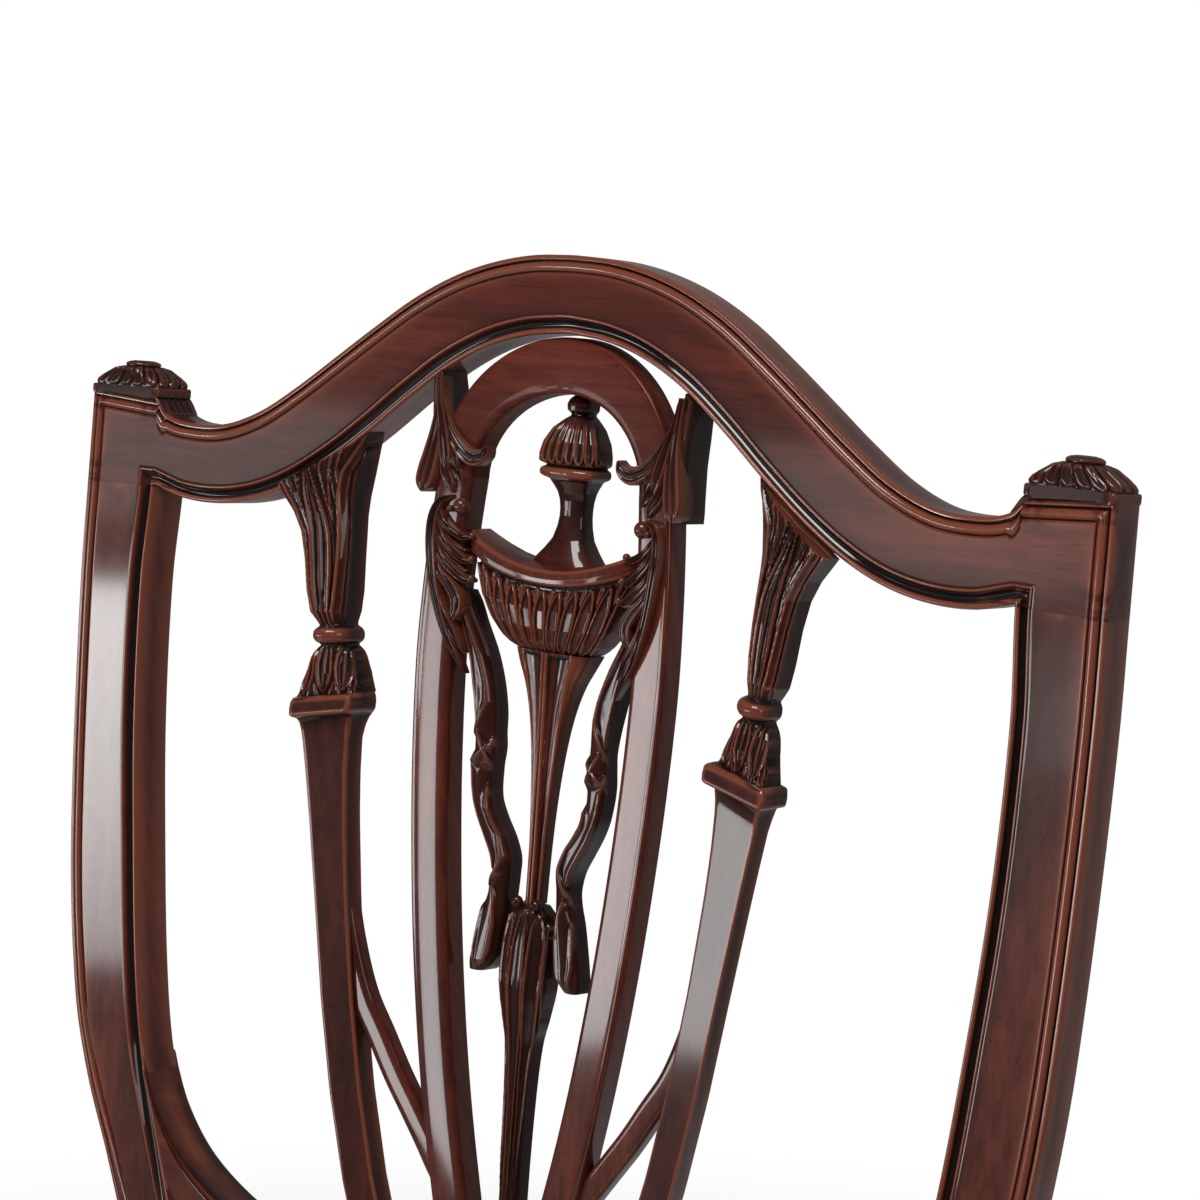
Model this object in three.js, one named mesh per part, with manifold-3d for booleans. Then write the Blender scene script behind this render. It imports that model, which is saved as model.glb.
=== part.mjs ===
// Shield back dining chair in mahogany, with a carved urn splat and a stuffed-over seat.
// Millimetres, +Z up. The front of the chair faces -Y, and left and right are as seen from the front.
// The origin is the middle of the chair's footprint, on the floor.

import * as THREE from 'three';
import { mergeVertices } from 'three/addons/utils/BufferGeometryUtils.js';
import Module from 'manifold-3d';

// Overall sizes
const RAIL_TOP = 432;
const RAIL_HEIGHT = 62;
const SHIELD_CLEARANCE = 93;
const SHIELD_DROP = 415;
const SHIELD_HALF_WIDTH = 256;
const CREST_RISE = 72;
const RAKE_DEGREES = 7.8;
const DISH = 15;
const SEAT_FRONT_WIDTH = 520;
const SEAT_DEPTH = 420;
const JOINT_GAP = 0.3;
const OVERRUN = 60;

// The moulding that the crest, the stiles and the base rail share
const FRAME_DEPTH = 22;
const STRIP_WIDTH = 2.6;
const STRIP_DROP = 1.4;
const QUIRK_WIDTH = 1.4;
const QUIRK_DEPTH = 1.9;
const BEAD_WIDTH = 4.8;
const BEAD_SHOULDER = 0.9;
const FACE_DROP = 0.9;
const COVE_WIDTH = 5.2;
const COVE_DEPTH = 3.2;
const LIP_WIDTH = 2.4;
const LIP_DROP = 1.4;
const LIP_FALL = 1.1;
const BACK_EASE = 2.5;
const MOULDING_POINTS = 11;
const BEAD_POINTS = 6;

// Crest rail: shares of the opening's half width across, and of the crest's rise up
const CREST_TOP_SHARES = [
  [0, 1], [0.0945, 0.985], [0.189, 0.93], [0.277, 0.84], [0.3687, 0.7], [0.46, 0.518], [0.554, 0.318],
  [0.645, 0.124], [0.737, -0.047], [0.829, -0.147], [0.921, -0.158], [0.975, -0.12], [1, -0.045],
];
const CREST_LOW_SHARES = [
  [0, 0.561], [0.0945, 0.53], [0.184, 0.45], [0.276, 0.308], [0.3687, 0.108], [0.46, -0.111],
  [0.553, -0.315], [0.645, -0.478], [0.737, -0.586], [0.829, -0.635], [0.921, -0.629], [1, -0.569],
];
const CREST_STATIONS = 24;
const EAR_FALL = 3;

// Ear caps
const CAP_SLAB = 4;
const CAP_SWEEP = 6;
const CAP_DOME = 9.5;
const CAP_BUTTON = 2.4;
const CAP_BUTTON_RADIUS = 7;
const CAP_SETBACK = 1.6;
const CAP_LEDGE_SHARE = 0.33;
const CAP_FOLLOW_SHARE = 0.5;
const CAP_DOME_SHARES = [[0.45, 0.3, 0.5, 0.3], [0.8, 0.65, 0.8, 0], [1, 1, 1, 0]];
const CAP_BUTTON_EASE = 0.8;
const CAP_SIDES = 16;
const CAP_SQUARENESS = 0.12;
const CAP_SPIGOT_RADIUS = 4;
const CAP_SPIGOT_LENGTH = 10;
const STILE_TENON_WIDTH = 18;
const STILE_TENON_DEPTH = 8;
const STILE_TENON_LENGTH = 18;

// Back posts: the stile and the rear leg are one length of wood.
// Rows hold the distance down as a share of the shield, and the way out to the shield's widest line.
const POST_HALF_WIDTH = 197;
const POST_WIDTH = 34;
const POST_DEPTH = 34;
const STILE_OUTER_SHARES = [
  [0, 0.98], [0.1, 0.99], [0.2, 1], [0.35, 0.98], [0.49, 0.939], [0.56, 0.9], [0.63, 0.839], [0.7, 0.749],
  [0.77, 0.588], [0.845, 0.358], [0.925, 0.146], [1.01, 0.032], [1.1, 0],
];
const STILE_INNER_SHARES = [
  [0, 0.915], [0.0988, 0.915], [0.2, 0.959], [0.35, 0.939], [0.49, 0.864], [0.63, 0.761], [0.723, 0.644],
  [0.8, 0.46], [0.877, 0.275], [0.96, 0.08], [1.05, 0.003], [1.1, 0],
];
const STILE_STATION_SHARES = [
  0.16, 0.23, 0.31, 0.4, 0.48, 0.55, 0.61, 0.67, 0.723, 0.77, 0.82, 0.877, 0.93, 0.99, 1.05, 1.1,
];
const MOULDING_STOP_SHARE = 0.72;
const MOULDING_FADE_SHARE = 0.2;
const POST_SHOULDER = 12;
const FOOT_WIDTH = 27;
const FOOT_DEPTH = 28;
const FOOT_SPLAY = 52;
const FOOT_CURVE_SHARE = 1.6;
const FOOT_STEPS = 5;

// Base rail of the shield: shares of its own half width across, and of the shield's drop down
const BASE_UPPER_SHARES = [
  [0, 0.93], [0.3, 0.918], [0.522, 0.899], [0.697, 0.873], [0.846, 0.831], [0.945, 0.776], [1, 0.723],
];
const BASE_LOWER_SHARES = [
  [0, 1], [0.251, 0.992], [0.502, 0.97], [0.725, 0.943], [0.893, 0.912], [1, 0.877],
];
const BASE_STATIONS = 20;
const BASE_RUN_IN = 5.5;
const BASE_TENON_HEIGHT = 26;
const BASE_TENON_DEPTH = 8;
const BASE_TENON_LENGTH = 18;
const BASE_TENON_PLACE_SHARE = 0.4;
const LUNETTE_RADIUS = 27;
const LUNETTE_PROUD = 3;
const LUNETTE_DEPTH = 15;
const LUNETTE_ROOT = 11;
const LUNETTE_STEPS = 12;

// The splat stands in a deeper curve than the frame
const SPLAT_SETBACK = 5.7;
const SPLAT_TURN_SHARE = 0.1;
const SPLAT_EASE = 15;
const CARVING_DEPTH = 17;
const CARVED_SIDES = 9;

// Outer ribs. Rows: distance down, place across, half width, rise in front, squareness, tilt.
const RIB_WIDTH = 31;
const RIB_DEPTH = 10.5;
const CAPITAL_DEPTH = 13.5;
const RIB_RISE = 2.5;
const RIB_TILT_DEGREES = 11;
const CAPITAL_SHARES = [
  [-0.06, 0.475, 0.92, 0.3, 0.7, 0], [0.024, 0.487, 0.81, 0.3, 0.7, 0], [0.06, 0.486, 0.725, 0.4, 0.8, 0],
  [0.087, 0.472, 0.553, 0.5, 0.8, 0], [0.106, 0.4584, 0.44, 0.5, 0.8, 0.1],
  [0.125, 0.449, 0.373, 0.6, 0.9, 0.2], [0.152, 0.4432, 0.34, 0.7, 0.9, 0.3],
  [0.186, 0.4385, 0.315, 0.7, 0.9, 0.4], [0.207, 0.4346, 0.266, 0.4, 0.9, 0.5],
  [0.22, 0.43, 0.19, -0.4, 1, 0.5], [0.2245, 0.4245, 0.23, 0.5, 1, 0.5], [0.231, 0.4235, 0.26, 0.9, 1, 0.5],
  [0.2375, 0.423, 0.23, 0.5, 1, 0.5], [0.242, 0.4225, 0.19, -0.4, 1, 0.5], [0.252, 0.422, 0.3, 0.3, 0.9, 0.6],
  [0.27, 0.4185, 0.365, 0.7, 0.8, 0.7], [0.29, 0.4177, 0.42, 0.7, 0.7, 0.9],
];
const BLOCK_SHARES = [[0.294, 0.4165, 0.51, 0.5, 0.12, 1], [0.3125, 0.4155, 0.51, 0.5, 0.12, 1]];
const SHAFT_SHARES = [
  [0.317, 0.4155, 0.42, 0, 0.12, 1], [0.335, 0.4145, 0.365, -0.2, 0.12, 0.9],
  [0.375, 0.408, 0.32, -0.2, 0.12, 0.8], [0.42, 0.399, 0.288, -0.2, 0.12, 0.8],
  [0.51, 0.379, 0.255, -0.2, 0.12, 0.8], [0.607, 0.3545, 0.25, -0.2, 0.12, 1],
  [0.7, 0.325, 0.245, -0.2, 0.12, 1.2], [0.79, 0.287, 0.24, -0.2, 0.12, 1.6],
  [0.87, 0.243, 0.235, -0.2, 0.12, 2], [0.95, 0.195, 0.23, -0.2, 0.12, 2.2],
];
const RIB_TENON_WIDTH = 10;
const RIB_TENON_DEPTH = 4;
const RIB_TENON_LENGTH = 8;
const TENON_COVER = 4;

// Branches that sweep from the outer ribs to the hoop: distance down, place across
const BRANCH_WIDTH = 11;
const BRANCH_DEPTH = 10;
const BRANCH_SETBACK = 0.5;
const BRANCH_SHARES = [
  [0.49, 0.376], [0.545, 0.353], [0.6, 0.319], [0.64, 0.278], [0.675, 0.242], [0.705, 0.207], [0.735, 0.172],
  [0.762, 0.142],
];

// Hoop: an arch over the urn and two long ribs below it
const HOOP_WIDTH = 17.5;
const HOOP_DEPTH = 12;
const HOOP_EASE = 1.4;
const ARCH_SPRING_DROP = 22;
const ARCH_INNER_RISE = 38;
const ARCH_OUTER_RISE = 61;
const ARCH_STEPS = 16;
const HOOP_RIB_SHARES = [
  [0.05, 0.1985], [0.1, 0.206], [0.16, 0.212], [0.235, 0.2152], [0.33, 0.2097], [0.42, 0.199],
  [0.513, 0.1835], [0.607, 0.1625], [0.69, 0.139], [0.77, 0.111], [0.85, 0.08], [0.93, 0.046],
];
const HOOP_STATIONS = 13;

// Urn. Rows: distance down its own length, half width, and the depths of its front and back.
const FINIAL_LENGTH = 71;
const FINIAL_HALF_WIDTH = 14.6;
const FINIAL_SHARES = [
  [0, 0.26, 0.55, 1], [0.018, 0.36, 0.4, 1], [0.081, 0.39, 0.34, 1], [0.108, 0.28, 0.5, 1],
  [0.135, 0.42, 0.38, 1], [0.19, 0.7, 0.22, 1], [0.27, 0.93, 0.06, 1], [0.36, 1, 0, 1],
  [0.397, 0.97, 0.03, 1], [0.406, 0.86, 0.12, 1], [0.416, 0.93, 0.05, 1], [0.446, 0.98, 0, 1],
  [0.476, 0.93, 0.05, 1], [0.487, 0.74, 0.2, 1], [0.532, 0.6, 0.32, 1], [0.604, 0.47, 0.45, 1],
  [0.676, 0.445, 0.48, 1], [0.757, 0.48, 0.45, 1], [0.83, 0.58, 0.38, 1], [0.9, 0.85, 0.25, 1],
  [1, 1.25, 0.08, 1],
];
const BOWL_HEIGHT = 33.5;
const BOWL_HALF_WIDTH = 46;
const BOWL_RISE = 5;
const BOWL_SMILE = 13.5;
const BOWL_SHARES = [
  [0, 0.93, 0.25], [0.02, 0.955, 0.08], [0.06, 0.965, 0.02], [0.12, 0.945, 0.02], [0.15, 0.86, 0.12],
  [0.3, 0.83, 0.02], [0.5, 0.76, -0.03], [0.72, 0.64, 0.01], [0.9, 0.5, 0.12], [1, 0.42, 0.26],
];
const STEM_LENGTH = 105;
const STEM_HALF_WIDTH = 19;
const STEM_SHARES = [
  [0, 1, 0, 1], [0.06, 0.86, 0.01, 0.9], [0.13, 0.68, 0.04, 0.82], [0.24, 0.5, 0.07, 0.75],
  [0.38, 0.37, 0.1, 0.7], [0.55, 0.28, 0.13, 0.66], [0.75, 0.22, 0.16, 0.64], [1, 0.2, 0.18, 0.62],
];
const CALYX_HALF_WIDTH = 11.6;
const CALYX_SHARES = [
  [0, 0.5, 0.16, 0.6], [0.02, 0.76, 0, 0.66], [0.06, 0.92, -0.1, 0.7], [0.12, 1, -0.16, 0.72],
  [0.18, 1, -0.16, 0.74], [0.245, 0.82, -0.08, 0.72], [0.31, 0.62, 0, 0.68], [0.42, 0.52, 0.06, 0.66],
  [0.6, 0.48, 0.1, 0.66], [0.8, 0.5, 0.12, 0.7], [1, 0.6, 0.12, 0.72], [1.15, 0.6, 0.12, 0.72],
];
const PEG_WIDTH = 5;
const PEG_LENGTH = 6;

const TRAIL_SQUARENESS = 0.9;

// Cloth swags. Rows: distance down, place across, half width.
const SWAG_HALF_WIDTH = 6;
const SWAG_FRONT = 2.6;
const SWAG_BACK = 12;
const SWAG_SHARES = [
  [0.17, 0.182, 0.6], [0.198, 0.161, 0.75], [0.2265, 0.14, 0.85], [0.2554, 0.127, 0.95],
  [0.2843, 0.1164, 0.92], [0.3133, 0.113, 0.9], [0.3422, 0.116, 0.95], [0.3711, 0.112, 0.88],
  [0.3904, 0.0996, 0.95],
  [0.4096, 0.0813, 1], [0.4289, 0.0664, 0.92], [0.4482, 0.0625, 0.83], [0.4723, 0.0664, 0.9],
  [0.494, 0.0746, 0.75], [0.5157, 0.0813, 0.5], [0.53, 0.0852, 0.3],
];

// Leaf sprays over the ends of the bowl, and husks above them. Rows as for the swags, then the rise in front.
const SPRAY_HALF_WIDTH = 9.5;
const SPRAY_RISE = 5;
const SPRAY_SHARES = [
  [0.078, 0.2, 0.3, 0.4], [0.09, 0.195, 0.65, 0.8], [0.115, 0.19, 0.95, 1], [0.14, 0.188, 1, 1],
  [0.165, 0.19, 0.85, 0.9], [0.19, 0.198, 0.55, 0.7], [0.212, 0.203, 0.3, 0.35],
];
const HUSK_HALF_WIDTH = 14;
const HUSK_RISE = 4.5;
const HUSK_TILT_DEGREES = 26;
const HUSK_SHARES = [
  [-0.1, 0.252, 0.2, 0.2], [-0.045, 0.25, 0.24, 0.4], [-0.015, 0.243, 0.36, 0.6], [0.012, 0.23, 0.56, 0.8],
  [0.035, 0.218, 0.82, 1], [0.05, 0.207, 0.9, 1], [0.06, 0.203, 0.62, 0.8], [0.066, 0.2, 0.3, 0.5],
];

// Seat frame
const RAIL_THICKNESS = 24;
const RAIL_SETBACK = 2;
const REAR_RAIL_SETBACK = 5;
const RAIL_TENON_THICKNESS = 10;
const RAIL_TENON_HEIGHT = 40;
const RAIL_TENON_LENGTH = 19;
const SIDE_REAR_TENON_LENGTH = 11;
const BLOCK_HEIGHT = 38;
const BLOCK_REACH = 68;
const SCREW_RADIUS = 2.2;
const SCREW_TIP_RADIUS = 1.1;
const SCREW_TIP_LENGTH = 4.4;
const SCREW_HEAD_RADIUS = 4.2;
const SCREW_HEAD_HEIGHT = 2.6;
const SCREW_BITE = 14;
const SCREW_SIDES = 8;
const SCREW_SINK = 1.5;
const SCREW_PLACE_SHARE = 0.4;

// Front legs with spade feet
const LEG_TOP = 42;
const LEG_ANKLE = 24;
const SPADE_HEIGHT = 50;
const SPADE_TOP = 34;
const SPADE_FOOT = 25;
const SPADE_SHOULDER = 5;

// Stretchers
const STRETCHER_HEIGHT = 24;
const STRETCHER_THICKNESS = 16;
const STRETCHER_LEVEL = 132;
const REAR_STRETCHER_LEVEL = 168;
const STRETCHER_TENON_THICKNESS = 7;
const STRETCHER_TENON_HEIGHT = 14;
const CROSS_PLACE_SHARE = 0.5;

// Glides under the feet
const GLIDE_RADIUS = 9;
const GLIDE_THICKNESS = 3.5;
const GLIDE_EASE = 1.3;
const GLIDE_PIN_RADIUS = 1.6;
const GLIDE_PIN_LENGTH = 10;
const GLIDE_SIDES = 16;

// Upholstery
const WEB_WIDTH = 50;
const WEB_THICKNESS = 2;
const WEB_GAPS = 4;
const HESSIAN_THICKNESS = 1;
const COVER_THICKNESS = 2;
const COVER_HEM = 12;
const PAD_RISE = 30;
const CROWN_RISE = 16;
const EDGE_ROUND = 18;
const SHOULDER_SWELL = 3;
const SIDE_DRAW = 3.5;
const DUST_THICKNESS = 1;
const DUST_INSET = 7;
const FRONT_STEPS = 5;
const SIDE_STEPS = 6;
const REAR_STEPS = 3;
const EDGE_RING_SHARES = [[0.3, 0, 0.8], [0.6, 0, 1], [0.85, 0.2, 0.6], [0.97, 0.55, 0], [1, 1, 0]];
const CROWN_RING_SHARES = [0.8, 0.55, 0.28];

// Finishes
const mahogany = { color: 0x4a1d12, roughness: 0.3, metalness: 0 };
const beech = { color: 0xb08a5c, roughness: 0.7, metalness: 0 };
const steel = { color: 0x8b8f94, roughness: 0.4, metalness: 0.9 };
const seatCloth = { color: 0xcdbb96, roughness: 0.9, metalness: 0 };
const foam = { color: 0xe6dcc0, roughness: 1, metalness: 0 };
const jute = { color: 0x9c8258, roughness: 1, metalness: 0 };
const blackCloth = { color: 0x26262a, roughness: 1, metalness: 0 };

const wasm = await Module();
wasm.setup();

// Helpers for closed bodies
function volumeOf(positions, faces) {
  const across = new THREE.Vector3();
  let total = 0;
  for (let i = 0; i < faces.length; i += 3) {
    across.copy(positions[faces[i + 1]]).cross(positions[faces[i + 2]]);
    total += positions[faces[i]].dot(across);
  }
  return total;
}

function geometryFrom(positions, faces) {
  const order = faces.slice();
  if (volumeOf(positions, faces) < 0) order.reverse();
  const geometry = new THREE.BufferGeometry();
  const numbers = positions.flatMap((p) => p.toArray());
  geometry.setAttribute('position', new THREE.Float32BufferAttribute(numbers, 3));
  geometry.setIndex(order);
  return geometry;
}

function middleOf(ring) {
  const sum = ring.reduce((total, p) => total.add(p), new THREE.Vector3());
  return sum.divideScalar(ring.length);
}

// A closed body through rings of equal counts. Each end is a fan to its tip.
function loft(rings, startTip = middleOf(rings[0]), endTip = middleOf(rings[rings.length - 1])) {
  const count = rings[0].length;
  const last = (rings.length - 1) * count;
  const positions = [...rings.flat(), startTip, endTip];
  const faces = [];
  for (let r = 0; r + 1 < rings.length; r += 1) {
    for (let i = 0; i < count; i += 1) {
      const a = r * count + i;
      const b = r * count + ((i + 1) % count);
      faces.push(a, b, b + count, a, b + count, a + count);
    }
  }
  for (let i = 0; i < count; i += 1) {
    const next = (i + 1) % count;
    faces.push(positions.length - 2, next, i);
    faces.push(positions.length - 1, last + i, last + next);
  }
  return geometryFrom(positions, faces);
}

function solid(geometry) {
  const bare = geometry.clone();
  bare.deleteAttribute('normal');
  bare.deleteAttribute('uv');
  const merged = mergeVertices(bare, 1e-4);
  return new wasm.Manifold(new wasm.Mesh({
    numProp: 3,
    vertProperties: new Float32Array(merged.attributes.position.array),
    triVerts: new Uint32Array(merged.index.array),
  }));
}

function geometryOf(body) {
  const mesh = body.getMesh();
  const geometry = new THREE.BufferGeometry();
  geometry.setAttribute('position', new THREE.BufferAttribute(mesh.vertProperties, 3));
  geometry.setIndex(new THREE.BufferAttribute(mesh.triVerts, 1));
  return geometry;
}

const join = (first, ...others) => others.reduce((body, other) => body.add(other), first);
const cut = (first, ...others) => others.reduce((body, other) => body.subtract(other), first);

// The same body on the other side of the chair
function mirrored(geometry) {
  const copy = geometry.clone();
  copy.applyMatrix4(new THREE.Matrix4().makeScale(-1, 1, 1));
  copy.setIndex([...copy.index.array].reverse());
  return copy;
}

const mirroredBody = (body) => solid(mirrored(geometryOf(body)));
const bothSides = (body) => [body, mirroredBody(body)];

function box(lowX, highX, lowY, highY, lowZ, highZ) {
  const geometry = new THREE.BoxGeometry(highX - lowX, highY - lowY, highZ - lowZ);
  geometry.translate((lowX + highX) / 2, (lowY + highY) / 2, (lowZ + highZ) / 2);
  return solid(geometry);
}

// A flat outline in plan, standing from one level to another
function slab(outline, low, high) {
  const shape = new THREE.Shape(outline.map(([x, y]) => new THREE.Vector2(x, y)));
  const geometry = new THREE.ExtrudeGeometry(shape, { depth: high - low, bevelEnabled: false });
  geometry.translate(0, 0, low);
  return solid(geometry);
}

// A straight bar in plan from one point to another
function plank(from, to, thickness, low, high) {
  const along = new THREE.Vector2(to[0] - from[0], to[1] - from[1]).normalize();
  const side = new THREE.Vector2(-along.y, along.x).multiplyScalar(thickness / 2);
  return slab([
    [from[0] + side.x, from[1] + side.y], [to[0] + side.x, to[1] + side.y],
    [to[0] - side.x, to[1] - side.y], [from[0] - side.x, from[1] - side.y],
  ], low, high);
}

// A smooth line through the first two columns of a table
function smooth(table, place) {
  const last = table.length - 1;
  const at = Math.min(Math.max(place, table[0][0]), table[last][0]);
  let i = 0;
  while (i < last - 1 && table[i + 1][0] < at) i += 1;
  const slope = (k) => {
    const before = table[Math.max(k - 1, 0)];
    const after = table[Math.min(k + 1, last)];
    return (after[1] - before[1]) / (after[0] - before[0]);
  };
  const span = table[i + 1][0] - table[i][0];
  const t = (at - table[i][0]) / span;
  const [t2, t3] = [t * t, t * t * t];
  return (2 * t3 - 3 * t2 + 1) * table[i][1] + (t3 - 2 * t2 + t) * span * slope(i)
    + (3 * t2 - 2 * t3) * table[i + 1][1] + (t3 - t2) * span * slope(i + 1);
}

const between = THREE.MathUtils.lerp;
const clampShare = (value) => THREE.MathUtils.clamp(value, 0, 1);

// The back leans and is slightly hollow: u runs across, v up along the lean, d into the wood
const RAKE = THREE.MathUtils.degToRad(RAKE_DEGREES);
const EAR_LEVEL = RAIL_TOP + SHIELD_CLEARANCE + SHIELD_DROP * Math.cos(RAKE);
const SEAT_V = -(EAR_LEVEL - RAIL_TOP) / Math.cos(RAKE);
const POST_INNER = POST_HALF_WIDTH - POST_WIDTH;
const hollow = (u) => DISH * (u / SHIELD_HALF_WIDTH) ** 2;
const BACK_Y = hollow(POST_HALF_WIDTH - POST_WIDTH / 2) - SEAT_V * Math.sin(RAKE);

function backPoint(u, v, d) {
  const y = BACK_Y + v * Math.sin(RAKE) + d * Math.cos(RAKE) - hollow(u);
  return new THREE.Vector3(u, y, EAR_LEVEL + v * Math.cos(RAKE) - d * Math.sin(RAKE));
}

function splatPoint(u, v, d) {
  return backPoint(u, v, d + SPLAT_SETBACK - SPLAT_TURN_SHARE * Math.hypot(u, SPLAT_EASE));
}

// A bar in the back's own directions, centred on u and v
function bar(point, u, v, halfWidth, halfHeight, front, back, tilt = 0) {
  const corner = (x, y, d) => point(
    u + x * Math.cos(tilt) + y * Math.sin(tilt),
    v - x * Math.sin(tilt) + y * Math.cos(tilt),
    d,
  );
  const ring = (d) => [
    corner(-halfWidth, -halfHeight, d), corner(halfWidth, -halfHeight, d),
    corner(halfWidth, halfHeight, d), corner(-halfWidth, halfHeight, d),
  ];
  return solid(loft([ring(front), ring(back)]));
}

// Points of the frame's section, from its outer edge inwards and round the back
function mouldedSection(width, depth, fullness, inner = 1) {
  const beadEnd = STRIP_WIDTH + QUIRK_WIDTH + BEAD_WIDTH;
  const coveStart = width - LIP_WIDTH - COVE_WIDTH;
  const sunk = (drop) => between(FACE_DROP, drop, inner);
  const front = [
    [0, STRIP_DROP], [STRIP_WIDTH, STRIP_DROP], [STRIP_WIDTH + QUIRK_WIDTH / 2, QUIRK_DEPTH],
    [STRIP_WIDTH + QUIRK_WIDTH, BEAD_SHOULDER], [beadEnd - BEAD_WIDTH / 2, 0], [beadEnd, FACE_DROP],
    [coveStart, FACE_DROP], [coveStart + COVE_WIDTH / 2, sunk(COVE_DEPTH)],
    [coveStart + COVE_WIDTH, sunk(COVE_DEPTH - LIP_FALL)], [width - LIP_WIDTH / 2, sunk(LIP_DROP)],
    [width, sunk(LIP_DROP + LIP_FALL)],
  ];
  const ease = BACK_EASE * fullness;
  return [
    ...front.map(([s, d]) => [s, d * fullness]),
    [width, depth - ease], [width - BACK_EASE, depth], [BACK_EASE, depth], [0, depth - ease],
  ];
}

// A point near the back of a moulded ring, from which the whole ring is seen
function hubOf(ring) {
  const back = ring[MOULDING_POINTS + 1].clone().add(ring[MOULDING_POINTS + 2]).multiplyScalar(0.5);
  return back.lerp(middleOf(ring), BACK_EASE / FRAME_DEPTH);
}

// Edges of the shield
const postSpread = SHIELD_HALF_WIDTH - POST_HALF_WIDTH;
const stileOuter = (v) => POST_HALF_WIDTH + smooth(STILE_OUTER_SHARES, -v / SHIELD_DROP) * postSpread;
const stileInner = (v) => POST_INNER + smooth(STILE_INNER_SHARES, -v / SHIELD_DROP) * postSpread;
const OPENING_DROP = -CREST_LOW_SHARES[CREST_LOW_SHARES.length - 1][1] * CREST_RISE;
const EAR_HALF_WIDTH = stileOuter(0);
const OPENING_HALF_WIDTH = stileInner(-OPENING_DROP);
const EAR_MIDDLE = (EAR_HALF_WIDTH + OPENING_HALF_WIDTH) / 2;
const EAR_WIDTH = EAR_HALF_WIDTH - OPENING_HALF_WIDTH;

function earTop(across) {
  return -EAR_FALL * (EAR_HALF_WIDTH - across) / EAR_WIDTH;
}

function crestTop(u) {
  const across = Math.abs(u);
  if (across > OPENING_HALF_WIDTH) return earTop(across);
  return smooth(CREST_TOP_SHARES, across / OPENING_HALF_WIDTH) * CREST_RISE;
}

function crestLow(u) {
  const across = Math.abs(u);
  if (across > OPENING_HALF_WIDTH) return -OPENING_DROP;
  return smooth(CREST_LOW_SHARES, across / OPENING_HALF_WIDTH) * CREST_RISE;
}

const baseTopV = -BASE_UPPER_SHARES[BASE_UPPER_SHARES.length - 1][1] * SHIELD_DROP;
const baseFootV = -BASE_LOWER_SHARES[BASE_LOWER_SHARES.length - 1][1] * SHIELD_DROP;
const BASE_TOP_HALF = stileInner(baseTopV);
const BASE_FOOT_HALF = stileInner(baseFootV);
const baseUpper = (u) => -smooth(BASE_UPPER_SHARES, Math.abs(u) / BASE_TOP_HALF) * SHIELD_DROP;
const baseLower = (u) => -smooth(BASE_LOWER_SHARES, Math.abs(u) / BASE_FOOT_HALF) * SHIELD_DROP;

// Crest rail with its ears
function crestRing(u, open) {
  const top = crestTop(u);
  const fromEdge = EAR_HALF_WIDTH - Math.abs(u);
  const section = mouldedSection(top - crestLow(u), FRAME_DEPTH, 1, open ? 1 : 0);
  const side = section.slice(0, BEAD_POINTS).find(([s]) => Math.abs(s - fromEdge) < JOINT_GAP);
  const sideDrop = side && !open ? side[1] : 0;
  return section.map(([s, d], i) => backPoint(u, top - s, i < MOULDING_POINTS ? Math.max(d, sideDrop) : d));
}

function crestGeometry() {
  const beadSection = mouldedSection(EAR_WIDTH, FRAME_DEPTH, 1).slice(0, BEAD_POINTS);
  const ear = beadSection.map(([s]) => EAR_HALF_WIDTH - s);
  const half = [...ear, OPENING_HALF_WIDTH + JOINT_GAP].map((u) => [u, false]);
  const middle = placesAcross(OPENING_HALF_WIDTH, CREST_STATIONS).map((u) => [u, true]);
  const other = half.map(([u, open]) => [-u, open]).reverse();
  const rings = [...half, ...middle, ...other].map(([u, open]) => crestRing(u, open));
  return loft(rings, hubOf(rings[0]), hubOf(rings[rings.length - 1]));
}

// All the space from an edge to a far level, at the given places across, to trim what meets the edge
function spaceFrom(places, edge, far) {
  const rings = places.map((u) => [
    backPoint(u, edge(u), -OVERRUN), backPoint(u, far, -OVERRUN),
    backPoint(u, far, OVERRUN), backPoint(u, edge(u), OVERRUN),
  ]);
  return solid(loft(rings));
}

function placesAcross(half, steps) {
  return Array.from({ length: steps + 1 }, (_, i) => half * Math.cos((Math.PI * i) / steps));
}

const overCrest = () => spaceFrom(
  placesAcross(OPENING_HALF_WIDTH, CREST_STATIONS), (u) => crestLow(u) - JOINT_GAP, CREST_RISE + OVERRUN,
);
const underCap = () => spaceFrom([
  ...placesAcross(OPENING_HALF_WIDTH, CREST_STATIONS).filter((u) => u > 0).reverse(),
  EAR_HALF_WIDTH, EAR_HALF_WIDTH + OVERRUN,
], (u) => crestTop(Math.min(u, EAR_HALF_WIDTH)) + JOINT_GAP, -OVERRUN);

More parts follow.
